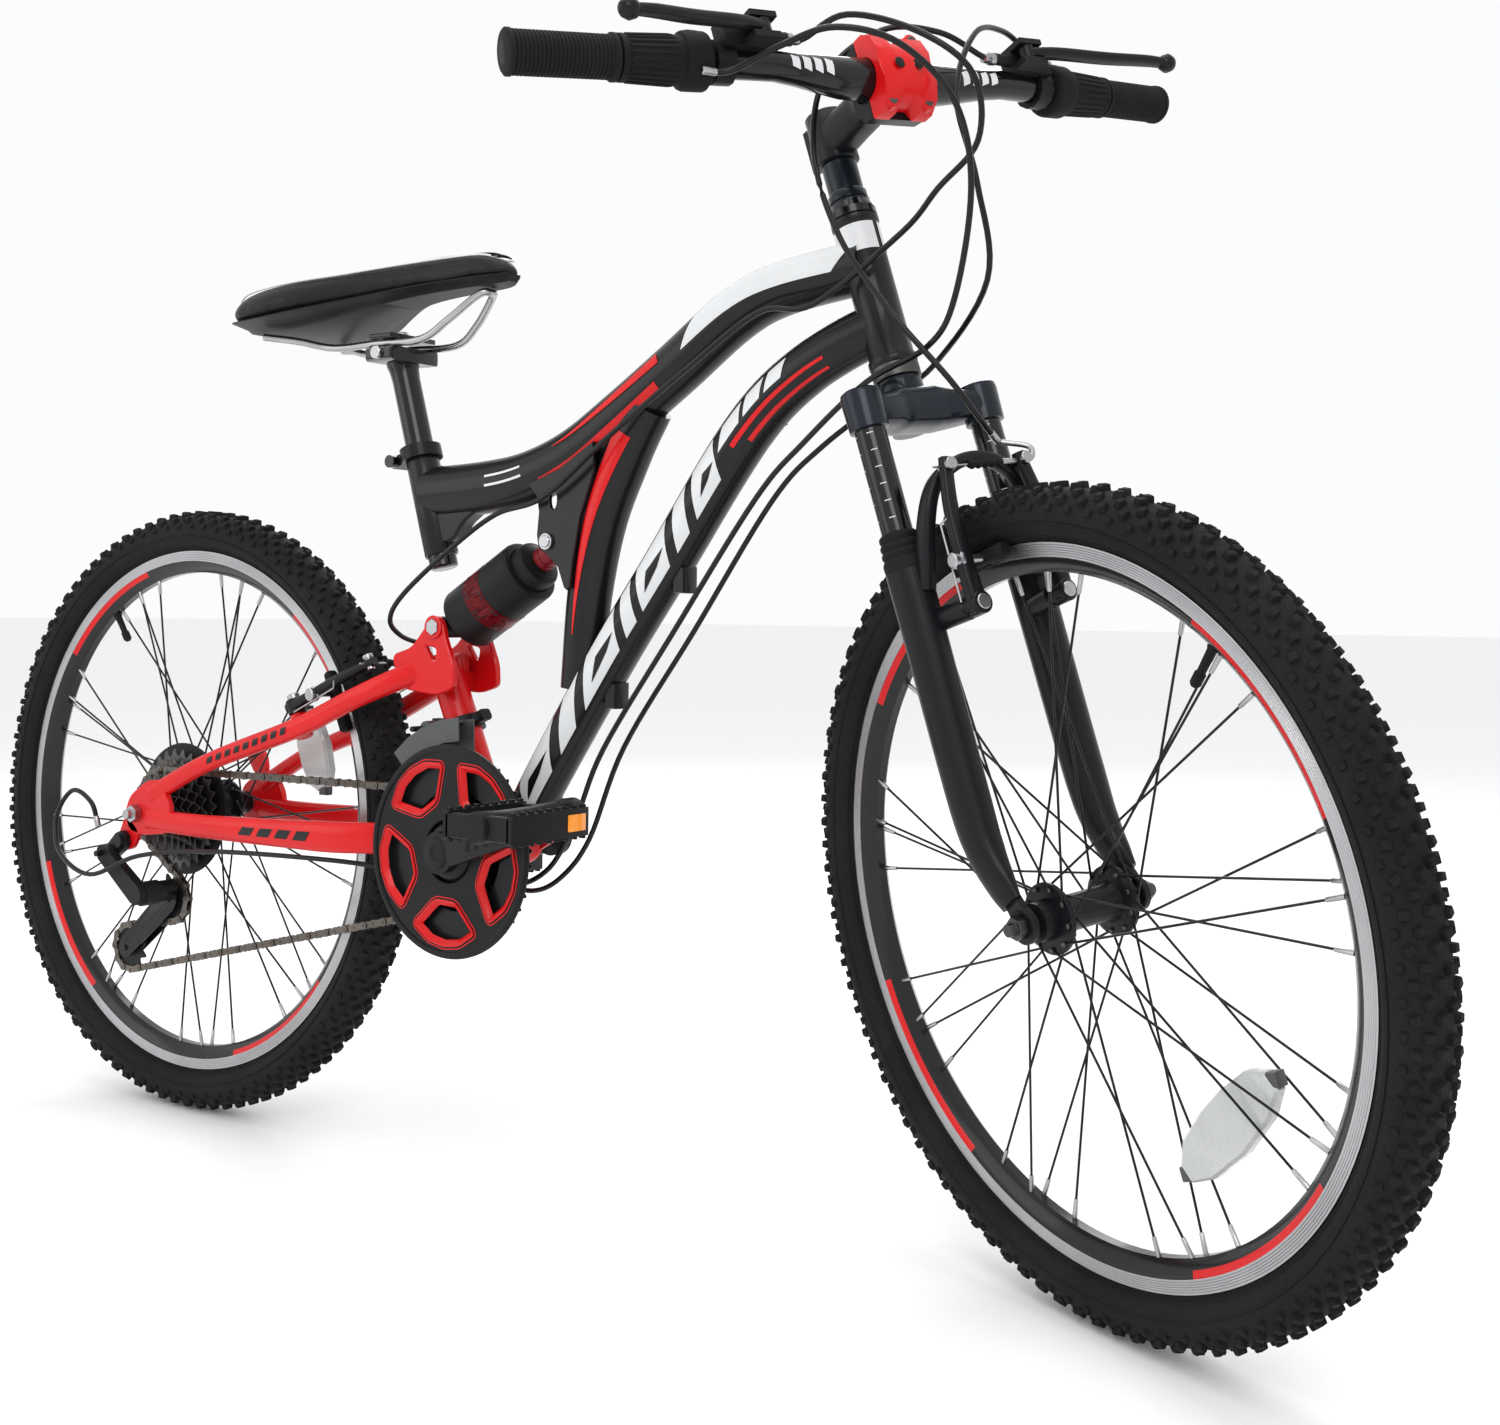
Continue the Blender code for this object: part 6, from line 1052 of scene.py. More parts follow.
def build_chainset():
    rings = Shape()
    windows = fan_windows(BB, [(0.036, 0.01), (0.036, -0.01), (0.05, -0.018), (0.0525, 0.0), (0.05, 0.018)])
    for index, teeth in enumerate(RING_TEETH):
        y = CHAIN_Y - index * RING_STEP
        gear(rings, BB, teeth, y, 0.0262, 0.0018, windows if index else ())
    rings.turned([(CHAIN_Y + 0.002, 0.024), (CHAIN_Y + 0.0018, 0.0272), (CHAIN_Y - 0.018, 0.0272),
                  (-0.064, 0.0232), (-0.066, 0.019)], BB, Y, 40)
    rings.done("chain_rings", "satin", "crank", "chainset")
    bolts = Shape()
    for index in range(5):
        angle = CRANK_ANGLE + 2 * pi * index / 5
        out = Vector((cos(angle), 0, sin(angle)))
        spot = BB + out * RING_BOLTS_R + Y * (CHAIN_Y - 2 * RING_STEP - 0.0012)
        bolts.bolt(spot, -Y, 0.0044, 0.0024)
    bolts.done("chain_ring_bolts", "steel", "crank")
    for side, direction, word in ((-1, CRANK_DIR, "right"), (1, -CRANK_DIR, "left")):
        arm = Shape()
        start = BB + Y * side * CRANK_IN
        end = BB + direction * CRANK + Y * side * 0.084
        path = [start.lerp(end, k / 12) for k in range(13)]
        sizes = [(0.006, 0.0145 - 0.003 * min(1, k / 6)) for k in range(13)]
        arm.sweep(path, sizes, 28, Y, 4.0)
        arm.turned([(-0.0068, 0.017), (-0.006, 0.018), (0.0048, 0.018), (0.0055, 0.0172), (0.0055, 0.014)],
                   start, Y * side, 36)
        arm.turned([(-0.0068, 0.013), (-0.006, 0.014), (0.006, 0.014), (0.0068, 0.013), (0.0068, 0.0075)],
                   end, Y * side, 32)
        arm.rod(end, Vector((end.x, side * 0.182, end.z)), 0.0045)
        arm.done("crank_arm_" + word + "_forging", "satin", "crank",
                 "crank_arm_left" if word == "left" else ())
        trim = Shape()
        lean = Vector((-direction.z, 0, direction.x))
        for k in range(6):
            reach = 0.042 + 0.0115 * k
            spot = BB + direction * reach + Y * side * (CRANK_IN + reach / CRANK * CRANK_SPLAY)
            quad = [spot + direction * (a * 0.0022 + b * 0.0026) + lean * (b * 0.0062) + Y * side * 0.0062
                    for a, b in ((-1, -1), (1, -1), (1, 1), (-1, 1))]
            trim.skin([[p - Y * side * 0.0012 for p in quad], quad])
        trim.done("crank_slots_" + word, "rubber", "crank")
        cap = Shape()
        cap.turned([(0.005, 0.0128), (0.0068, 0.013), (0.0075, 0.012), (0.0075, 0.006), (0.0066, 0.005)],
                   start, Y * side, 32)
        cap.done("crank_cap_" + word, "plastic", "crank")
    guard = Shape()
    holed_plate(guard, circle_points(BB, GUARD_R, 96), [circle_points(BB, 0.027, 40),
                                                       *fan_windows(BB, GUARD_WINDOW)],
                GUARD_Y + 0.0018, GUARD_Y - 0.0014, 0.0006)
    guard.turned([(GUARD_Y + 0.0018, 0.086), (GUARD_Y + 0.0018, 0.091), (GUARD_Y + 0.0005, 0.0915),
                  (GUARD_Y - 0.0022, 0.0905), (GUARD_Y - 0.003, 0.088), (GUARD_Y - 0.0022, 0.0858)],
                 BB, Y, 96, True)
    guard.done("guard_plate", "plastic", "crank", "chain_guard")
    border = Shape()
    for outline in fan_windows(BB, GUARD_WINDOW):
        wide = shrunk(outline, -0.0006)
        thin = shrunk(outline, 0.005)
        rings_of = []
        for loop, y in ((wide, GUARD_Y + 0.0012), (wide, GUARD_Y - 0.0024), (shrunk(outline, 0.0006),
                                                                             GUARD_Y - 0.003),
                        (shrunk(outline, 0.0016), GUARD_Y - 0.0024), (thin, GUARD_Y + 0.0012)):
            rings_of.append([Vector((x, y, z)) for x, z in loop])
        border.skin(rings_of, closed=True)
        line = shrunk(outline, -0.003)
        line_in = shrunk(outline, -0.0021)
        border.skin([[Vector((x, y, z)) for x, z in loop] for loop, y in
                     ((line, GUARD_Y - 0.0012), (line, GUARD_Y - 0.0017), (line_in, GUARD_Y - 0.0017),
                      (line_in, GUARD_Y - 0.0012))], closed=True)
    border.done("guard_borders", "red_paint", "crank")


def build_freewheel():
    shape = Shape()
    for index, teeth in enumerate(COG_TEETH):
        y = CHAIN_Y + (CHAIN_COG - index) * COG_STEP
        gear(shape, REAR_AXLE, teeth, y, min(pitch_radius(teeth) - 0.0115, 0.024), 0.0018, (), 0.13 * index)
    top = CHAIN_Y + CHAIN_COG * COG_STEP
    low = CHAIN_Y + (CHAIN_COG - 6) * COG_STEP
    shape.turned([(top - 0.001, 0.0245), (CHAIN_Y - 0.002, 0.0225), (CHAIN_Y - 0.006, 0.02),
                  (low + 0.001, 0.018), (low - 0.001, 0.016), (low - 0.0018, 0.01)], REAR_AXLE, Y, 36)
    shape.done("sprockets", "dark_steel", "freewheel", "freewheel")


def build_pulleys():
    for word, centre in (("guide", GUIDE_PULLEY), ("tension", TENSION_PULLEY)):
        shape = Shape()
        gear(shape, centre, PULLEY_TEETH, CHAIN_Y, 0.0032, 0.002)
        shape.turned(both_ends([(0.0024, 0.0034), (0.0024, 0.0068), (0.0014, 0.0085)]), centre, Y, 24, True)
        shape.done(word + "_pulley_wheel", "plastic", word + "_pulley", word + "_pulley")


def belt(circles):
    joins = []
    for index, (c1, r1, s1) in enumerate(circles):
        c2, r2, s2 = circles[(index + 1) % len(circles)]
        run = (c2.x - c1.x, c2.z - c1.z)
        joins.append(atan2(run[1], run[0]) + acos((r2 * s2 - r1 * s1) / hypot(*run)))
    path = []
    for index, (c, r, s) in enumerate(circles):
        start = joins[index - 1] + (pi if s > 0 else 0)
        turn = ((joins[index] + (pi if s > 0 else 0)) - start) * s % (2 * pi)
        steps = max(2, ceil(turn / radians(4)))
        for k in range(steps + 1):
            a = start + s * turn * k / steps
            path.append(Vector((c.x + r * cos(a), c.y, c.z + r * sin(a))))
    return path


def build_chain():
    path = belt([(BB + Y * CHAIN_Y, pitch_radius(RING_TEETH[0]), 1),
                 (REAR_AXLE + Y * CHAIN_Y, pitch_radius(COG_TEETH[CHAIN_COG]), 1),
                 (GUIDE_PULLEY, pitch_radius(PULLEY_TEETH), -1), (TENSION_PULLEY, pitch_radius(PULLEY_TEETH),
                                                                  1)])
    path.append(path[0])
    lengths = [0.0]
    for a, b in zip(path, path[1:]):
        lengths.append(lengths[-1] + (b - a).length)
    links = 2 * round(lengths[-1] / CHAIN_PITCH / 2)
    pins, i = [], 0
    for k in range(links):
        want = lengths[-1] * k / links
        while lengths[i + 1] < want:
            i += 1
        pins.append(path[i].lerp(path[i + 1], (want - lengths[i]) / (lengths[i + 1] - lengths[i])))
    plates, rollers = Shape(), Shape()
    for k in range(links):
        a, b = pins[k], pins[(k + 1) % links]
        run = (b - a).normalized()
        up = Vector((-run.z, 0, run.x))
        span = (b - a).length
        outline = []
        for u, v in ((-0.0036, 0.0), (-0.0028, 0.0026), (0.0, 0.0038), (span * 0.35, 0.0029), (span * 0.65,
                     0.0029),
                     (span, 0.0038), (span + 0.0028, 0.0026), (span + 0.0036, 0.0), (span + 0.0028, -0.0026),
                     (span, -0.0038), (span * 0.65, -0.0029), (span * 0.35, -0.0029), (0.0, -0.0038),
                     (-0.0028, -0.0026)):
            p = a + run * u + up * v
            outline.append((p.x, p.z))
        inner, outer = (0.0012, 0.002) if k % 2 else (0.0022, 0.003)
        for side in (-1, 1):
            plates.plate(outline, CHAIN_Y + side * inner, CHAIN_Y + side * outer, 0.00015)
        rollers.rod(a - Y * 0.0034, a + Y * 0.0034, 0.0015, 10, 0.0002)
        rollers.rod(a - Y * 0.0012, a + Y * 0.0012, 0.003, 12, 0.0002)
    plates.done("chain_plates", "chain_steel", "swingarm", "chain")
    rollers.done("chain_rollers", "dark_steel", "swingarm")


def build_pedals():
    for side, word, direction in ((-1, "right", CRANK_DIR), (1, "left", -CRANK_DIR)):
        centre = BB + direction * CRANK
        y_in, y_out = side * 0.096, side * 0.19
        shape = Shape()
        for fore in (-1, 1):
            x_in, x_out = sorted((centre.x + fore * 0.029, centre.x + fore * 0.036))
            low, high = sorted((y_in + side * 0.004, y_out - side * 0.004))
            shape.box((x_in, low, centre.z - 0.011), (x_out, high, centre.z + 0.011), 0.0016)
            for k in range(9):
                y = low + (high - low) * (k + 0.5) / 9
                for up in (-1, 1):
                    x_low, x_high = sorted((centre.x + fore * 0.03, centre.x + fore * 0.0352))
                    z = centre.z + up * 0.011
                    shape.box((x_low, y - 0.0016, min(z, z + up * 0.0022)), (x_high, y + 0.0016, max(z,
                              z + up * 0.0022)),
                              0.0005)
        for y in (y_in + side * 0.004, y_out - side * 0.012):
            low, high = sorted((y, y + side * 0.008))
            shape.box((centre.x - 0.033, low, centre.z - 0.0095), (centre.x + 0.033, high, centre.z + 0.0095),
                      0.0014)
        for y in (y_in + side * 0.034, y_in + side * 0.06):
            low, high = sorted((y, y + side * 0.004))
            shape.box((centre.x - 0.031, low, centre.z - 0.006), (centre.x + 0.031, high, centre.z + 0.006),
                      0.001)
        shape.turned([(0, 0.01), (0.003, 0.0128), (0.03, 0.0112), (0.064, 0.0112), (0.09, 0.0126),
                      (0.0935, 0.011)], Vector((centre.x, y_in, centre.z)), Y * side, 28)
        shape.done("pedal_" + word + "_body", "plastic", "pedal_" + word, "pedal_" + word)
        trim = Shape()
        for fore in (-1, 1):
            x_in, x_out = sorted((centre.x + fore * 0.035, centre.x + fore * 0.0368))
            low, high = sorted((y_in + side * 0.009, y_in + side * 0.029))
            trim.box((x_in, low, centre.z - 0.0065), (x_out, high, centre.z + 0.0065), 0.0006)
        trim.done("pedal_" + word + "_reflectors", "orange_reflector", "pedal_" + word)


build_chainset()
build_freewheel()
build_pulleys()
build_chain()
build_pedals()
from_cad("crank_spindle", "steel", "crank")
from_cad("rear_derailleur", "satin", "swingarm")
from_cad("rear_derailleur_link", "plastic", "mech_link", 0.001)
from_cad("rear_derailleur_cage", "satin", "mech_cage", 0.0003)
from_cad("front_derailleur", "plastic", "swingarm")
from_cad("front_derailleur_cage", "grey_plastic", "front_cage", 0.0003)


# ----------------------------------------------------------------------- fork
CROWN_Z, LEG_TOP = 0.386, 0.262


def build_fork():
    crown = Shape()
    t, y = STANCHION_T, STANCHION_Y
    crown.pipe([(t, -y - 0.004, CROWN_Z), (0.017, -0.04, CROWN_Z), (0.008, -0.018, CROWN_Z + 0.003),
                        (0.008, 0.018, CROWN_Z + 0.003), (0.017, 0.04, CROWN_Z), (t, y + 0.004, CROWN_Z)],
               [(0.0105, 0.014), (0.012, 0.0162), (0.016, 0.0205), (0.016, 0.0205), (0.012, 0.0162),
                    (0.0105, 0.014)], 32, Z, 3.2)
    crown.turned([(CROWN_Z - 0.012, 0.015), (CROWN_Z + 0.016, 0.0182), (0.412, 0.0182), (0.416, 0.0172),
                  (0.416, 0.014)], ORIGIN, Z, 40)
    crown.rod((0, 0, 0.4), (0, 0, 0.5985), 0.0141, 32)
    crown.turned([(0.556, 0.015), (0.5565, 0.0168), (0.564, 0.0168), (0.566, 0.015), (0.5665, 0.0158),
                  (0.572, 0.0158), (0.574, 0.0143)], ORIGIN, Z, 36)
    crown.rod((0, 0, 0.598), (0, 0, 0.637), 0.0126, 32)
    for side in (-1, 1):
        top = Vector((t, side * y, CROWN_Z))
        crown.turned([(-0.0155, 0.0138), (-0.015, 0.015), (0.0105, 0.0158), (0.014, 0.015), (0.0155, 0.0128),
                      (0.0158, 0.006)], top, Z, 36)
    crown.done("fork_crown_casting", "crown", "steering", "fork_crown", STEER)
    tubes = Shape()
    for side in (-1, 1):
        tubes.rod((t, side * y, 0.13), (t, side * y, CROWN_Z - 0.01), 0.0118, 36)
    tubes.done("fork_stanchions", "gloss", "steering", (), STEER)
    marks = Shape()
    for side in (-1, 1):
        for k in range(6):
            z = 0.366 - k * 0.013
            for a0, a1 in ((-2.35, -1.75), (-0.9, -0.5)):
                grid = [[Vector((t + cos(a) * 0.01195, side * y + sin(a) * 0.01195, z + h)) for h in (0,
                        0.0007)]
                        for a in (a0 + (a1 - a0) * i / 6 for i in range(7))]
                marks.sheet(grid)
    marks.done("fork_scale_marks", "white_paint", "steering", (), STEER)
    lowers = Shape()
    seals = Shape()
    for side in (-1, 1):
        lowers.pipe([(t, side * y, LEG_TOP), (t, side * y, 0.2), (t, side * y, 0.09),
                            (0.0245, side * y, 0.055), (0.032, side * y, 0.03), (0.0375, side * y, 0.0165)],
                    [(0.0165, 0.0165), (0.016, 0.016), (0.0155, 0.0155), (0.0135, 0.0145), (0.0085, 0.0135),
                        (0.005, 0.011)], 36, Y)
        seals.turned([(-0.002, 0.016), (0.006, 0.0166), (0.008, 0.0162), (0.0105, 0.0148), (0.0125, 0.0158),
                      (0.0145, 0.0158), (0.0165, 0.0144), (0.0185, 0.0154), (0.0205, 0.0154), (0.0225, 0.014),
                      (0.0245, 0.0148), (0.027, 0.0146), (0.029, 0.0126)], Vector((t, side * y, LEG_TOP)), Z,
                      32)
        lowers.plate(circle_points(AXLE_LOCAL, 0.013, 32), side * 0.05, side * 0.056, 0.001)
        lowers.plate(round_outline([(0.03, 0.028), (0.04, 0.029), (0.052, 0.006), (0.033, 0.004),
                                    (0.029, 0.018)]), side * 0.05, side * 0.056, 0.001)
        lowers.rod((0.026, side * 0.047, BRAKE_BOSS_UP), (0.0605, side * BRAKE_BOSS_Y, BRAKE_BOSS_UP), 0.0085,
                   28, 0.0012)
    arch = [(0.034, -0.053, 0.245), (0.048, -0.05, 0.285), (0.056, -0.04, 0.313), (0.06, -0.02, 0.327),
            (0.061, 0, 0.331)]
    lowers.pipe(arch + [(a, -b, c) for a, b, c in reversed(arch[:-1])],
                [(0.0078, 0.0062), (0.0062, 0.0055), (0.0052, 0.005), (0.0062, 0.0055), (0.0078, 0.0062)], 28,
                X, 3.0)
    lowers.done("fork_lower_castings", "satin", "fork", "fork_lowers", STEER)
    seals.done("fork_seals", "rubber", "fork", (), STEER)
    pins = Shape()
    for side in (-1, 1):
        pins.rod((0.06, side * BRAKE_BOSS_Y, BRAKE_BOSS_UP), (0.078, side * BRAKE_BOSS_Y, BRAKE_BOSS_UP),
                 0.0039)
        pins.bolt(Vector((0.075, side * BRAKE_BOSS_Y, BRAKE_BOSS_UP)), X, 0.0058, 0.0035)
    pins.done("front_brake_bolts", "steel", "fork", (), STEER)


build_fork()
from_cad("front_axle", "dark_steel", "fork")


# --------------------------------------------------------------------- brakes
def rear_point(side, out, radial, y):
    return REAR_AXLE + BRAKE_OUT * out + BRAKE_RADIAL * (BRAKE_BOSS_UP + radial) + Y * side * y


def front_point(side, out, radial, y):
    return Vector((0.049 + out, side * y, BRAKE_BOSS_UP + radial))


ARM_OUT = 0.0215                              # the arms' plane, out from their bosses
CABLE_EYE = (ARM_OUT, 0.102, 0.0352)          # out, along and across to where the wire is held


def build_brake(word, at, out, up, matrix):
    for side, hand in SIDES:
        body = word + "_brake_" + hand
        arm = Shape()
        arm.pipe([at(side, ARM_OUT, up_by, y) for up_by, y in
                  ((-0.006, 0.04), (0.025, 0.0415), (0.07, 0.041), (0.108, 0.034))],
                 [(0.0078, 0.0058), (0.0066, 0.0048), (0.0054, 0.0044), (0.0048, 0.004)], 24, Y, 3.0)
        hub = at(side, 0.02, 0, 0.04)
        arm.turned([(-0.0062, 0.0076), (-0.0054, 0.0084), (0.007, 0.0084), (0.008, 0.0074)], hub, out, 28)
        arm.done(word + "_brake_arm_" + hand + "_body", "satin", body, word + "_brake_arm_" + hand, matrix)
        pad, steel = Shape(), Shape()
        rail = up.cross(Y).normalized()
        middle = at(side, 0.012, 0.033, 0.0195)
        path = [middle + rail * s for s in (-0.03, -0.028, -0.01, 0.01, 0.028, 0.03)]
        pad.sweep(path, [(0.004, 0.0034), (0.0054, 0.0047), (0.0055, 0.0048), (0.0055, 0.0048), (0.0054,
                  0.0047),
                         (0.004, 0.0034)], 20, Y, 4.0)
        pad.done(word + "_brake_pad_" + hand, "rubber", body, (), matrix)
        post = at(side, 0.02, 0.033, 0.0475)
        inward = Y * -side
        steel.rod(post, post + inward * 0.027, 0.003, 16)
        steel.turned([(-0.004, 0.005), (-0.0036, 0.0058), (0.0008, 0.0058), (0.0012, 0.0072), (0.003,
                     0.0072)],
                     post, inward, 24)
        steel.bolt(post + inward * -0.0012, -inward, 0.005, 0.0032)
        tip = at(side, *CABLE_EYE)
        steel.rod(tip - out * 0.0062, tip + out * 0.0062, 0.0036, 18)
        steel.bolt(tip + out * 0.005, out, 0.0048, 0.0034)
        steel.rod(at(side, 0.014, 0.004, 0.0482), at(side, 0.014, 0.062, 0.0478), 0.0008, 8, 0.0002)
        steel.rod(at(side, 0.014, 0.062, 0.0478), at(side, ARM_OUT, 0.064, 0.0462), 0.0008, 8, 0.0002)
        steel.done(word + "_brake_fittings_" + hand, "steel", body, (), matrix)


def build_noodle(word, at, out, matrix, body, wire):
    """The bent pipe and bare wire that pull a pair of brake arms together."""
    pipe, cable, boot = Shape(), Shape(), Shape()
    left, right = at(1, *CABLE_EYE), at(-1, *CABLE_EYE)
    bend = [left + (right - left) * 0.26, left, left + (left - right) * 0.1 + out * 0.004, wire[0], wire[1]]
    pipe.sweep(smooth_path(bend, 8), (0.0022, 0.0022), 14, out)
    cable.sweep([left + (right - left) * k / 6 for k in range(1, 8)], (0.0008, 0.0008), 10, out)
    run = (right - left).normalized()
    boot.turned([(k * 0.003, 0.0026 + 0.0012 * (k % 2)) for k in range(11)], left + (right - left) * 0.28,
                run, 18)
    pipe.done(word + "_brake_noodle", "steel", body, (), matrix)
    cable.done(word + "_brake_wire", "steel", body, (), matrix)
    boot.done(word + "_brake_boot", "rubber", body, (), matrix)


build_brake("rear", rear_point, BRAKE_OUT, BRAKE_RADIAL, None)
build_brake("front", front_point, X, Z, STEER)
build_noodle("rear", rear_point, BRAKE_OUT, None, "rear_brake_left",
             (Vector((0.27, 0.049, 0.476)), Vector((0.29, 0.028, 0.475))))
build_noodle("front", front_point, X, STEER, "front_brake_left",
             (Vector((0.072, 0.045, 0.333)), Vector((0.061, 0.03, 0.3415))))


# --------------------------------------------------------- handlebar and stem
def on_bar(side, y, ahead=0.0, up=0.0):
    for (y1, x1, z1), (y2, x2, z2) in zip(BAR_STOPS, BAR_STOPS[1:]):
        if y <= y2:
            break
    share = (y - y1) / (y2 - y1)
    return Vector((BAR_MID.x + x1 + (x2 - x1) * share + ahead, side * y,
                   BAR_MID.z + z1 + (z2 - z1) * share + up))


def bar_tube(shape, side, stops, sides=32):
    """A round sleeve along the bar: stops of (distance out, radius)."""
    shape.sweep([on_bar(side, y) for y, r in stops], [(r, r) for y, r in stops], sides, Z)


def build_bar():
    bar = Shape()
    stops = [(0.0, 0.0158), (0.026, 0.0158), (0.045, 0.0152), (0.062, 0.0138), (0.085, 0.0117), (0.105,
             0.0111),
             (0.2, 0.0111), (0.297, 0.0111)]
    line = [(-1, y, r) for y, r in reversed(stops)] + [(1, y, r) for y, r in stops[1:]]
    bar.sweep([on_bar(side, y) for side, y, r in line], [(r, r) for side, y, r in line], 36, Z)
    bar.done("handlebar_tube", "gloss", "steering", "handlebar", STEER)
    trim = Shape()
    for side in (-1, 1):
        for k in range(4):
            rows = []
            for i in range(4):
                y = 0.06 + k * 0.0095 + 0.0065 * i / 3
                point = on_bar(side, y)
                r = 0.0139 - (y - 0.06) * 0.075 + 0.0003
                rows.append([point + Vector((cos(a), 0, sin(a))) * r
                             for a in (0.16 * j + 0.05 * i - 0.55 for j in range(6))])
            trim.sheet(rows)
    trim.done("handlebar_trim", "white_paint", "steering", (), STEER)
    for side, hand in SIDES:
        grip = Shape()
        stops = [(0.2235, 0.0135), (0.224, 0.0165), (0.2265, 0.0165), (0.2275, 0.015)]
        for k in range(24):
            y = 0.2285 + k * 0.0028
            stops += [(y, 0.0143), (y + 0.0006, 0.0151), (y + 0.0018, 0.0151), (y + 0.0023, 0.0143)]
        stops += [(0.296, 0.0146), (0.2965, 0.0158), (0.299, 0.0158), (0.3, 0.0145)]
        bar_tube(grip, side, stops)
        grip.done("grip_" + hand + "_rubber", "rubber", "steering", "grip_" + hand, STEER)
        plug = Shape()
        end = on_bar(side, 0.2999)
        plug.turned([(0, 0.0085), (0.0008, 0.0085), (0.0014, 0.007)], end - Y * side * 0.0012, Y * side, 24)
        plug.done("bar_plug_" + hand, "plastic", "steering", (), STEER)
        twist = Shape()
        stops = [(0.157, 0.015), (0.1575, 0.0182), (0.159, 0.02), (0.1605, 0.0205), (0.1745, 0.0205),
                 (0.1765, 0.0198), (0.1775, 0.0175), (0.18, 0.0172), (0.218, 0.0158), (0.219, 0.0165),
                 (0.222, 0.0163), (0.2228, 0.0135)]
        bar_tube(twist, side, stops, 36)
        for k in range(24):
            a = 2 * pi * k / 24
            first, last = on_bar(side, 0.182), on_bar(side, 0.2165)
            run = (last - first).normalized()
            one, two = across_of(run, Z)
            out = one * cos(a) + two * sin(a)
            twist.sweep([first + out * 0.0166, first.lerp(last, 0.1) + out * 0.017, last + out * 0.0159],
                        [(0.0011, 0.0009)] * 3, 6, out.cross(run))
        twist.done("twist_shifter_" + hand + "_body", "rubber", "shifter_" + hand, "twist_shifter_" + hand,
                   STEER)
        window = Shape()
        spot = on_bar(side, 0.1675)
        turns = [radians(50) + radians(80) * j / 10 for j in range(11)]
        window.sheet([[spot + Y * side * 0.0045 * i + Vector((cos(a), 0, sin(a))) * 0.0209 for a in turns]
                      for i in (-1, 0, 1)])
        window.done("shifter_window_" + hand, "grey_plastic", "shifter_" + hand, (), STEER)
        blade = Shape()
        p = on_bar(side, *LEVER_PIVOT)
        path = smooth_path([p + Vector((a, b * side, c)) for a, b, c in
                            ((0, 0, 0), (0.007, 0.024, -0.002), (0.016, 0.066, -0.008), (0.024, 0.1, -0.012),
                             (0.028, 0.121, -0.015))], 6)
        blade.sweep(path, spread([(0.004, 0.0058), (0.004, 0.006), (0.0038, 0.0062), (0.0036, 0.0058),
                                  (0.0034, 0.0046)], len(path)), 24, Z, 2.8)
        blade.turned(both_ends([(0.0053, 0.0056), (0.0048, 0.0062)]), p, Z, 24)
        blade.turned([(-0.0076, 0.001), (-0.0068, 0.0036), (-0.0046, 0.006), (0, 0.0076), (0.0046, 0.006),
                      (0.0068, 0.0036), (0.0076, 0.001)], path[-1], Y, 28)
        blade.done("brake_lever_" + hand + "_blade", "satin", "lever_" + hand, "brake_lever_" + hand, STEER)
        from_cad("lever_bracket_" + hand, "plastic", "steering", 0.0012)
        metal = Shape()
        x, z = p.x, p.z
        metal.bolt(Vector((x, p.y, z + 0.0098)), Z, 0.0042, 0.0022)
        metal.bolt(Vector((x - 0.014, side * 0.146, z + 0.0096)), Z, 0.0038, 0.0022)
        metal.turned([(0, 0.0034), (0.004, 0.0042), (0.0046, 0.005), (0.009, 0.005), (0.0096, 0.004),
                      (0.015, 0.0036)], Vector((x - 0.0116, side * 0.101, z + 0.0004)), -Y * side, 20)
        metal.done("lever_fittings_" + hand, "steel", "steering", (), STEER)
    finish_stem()


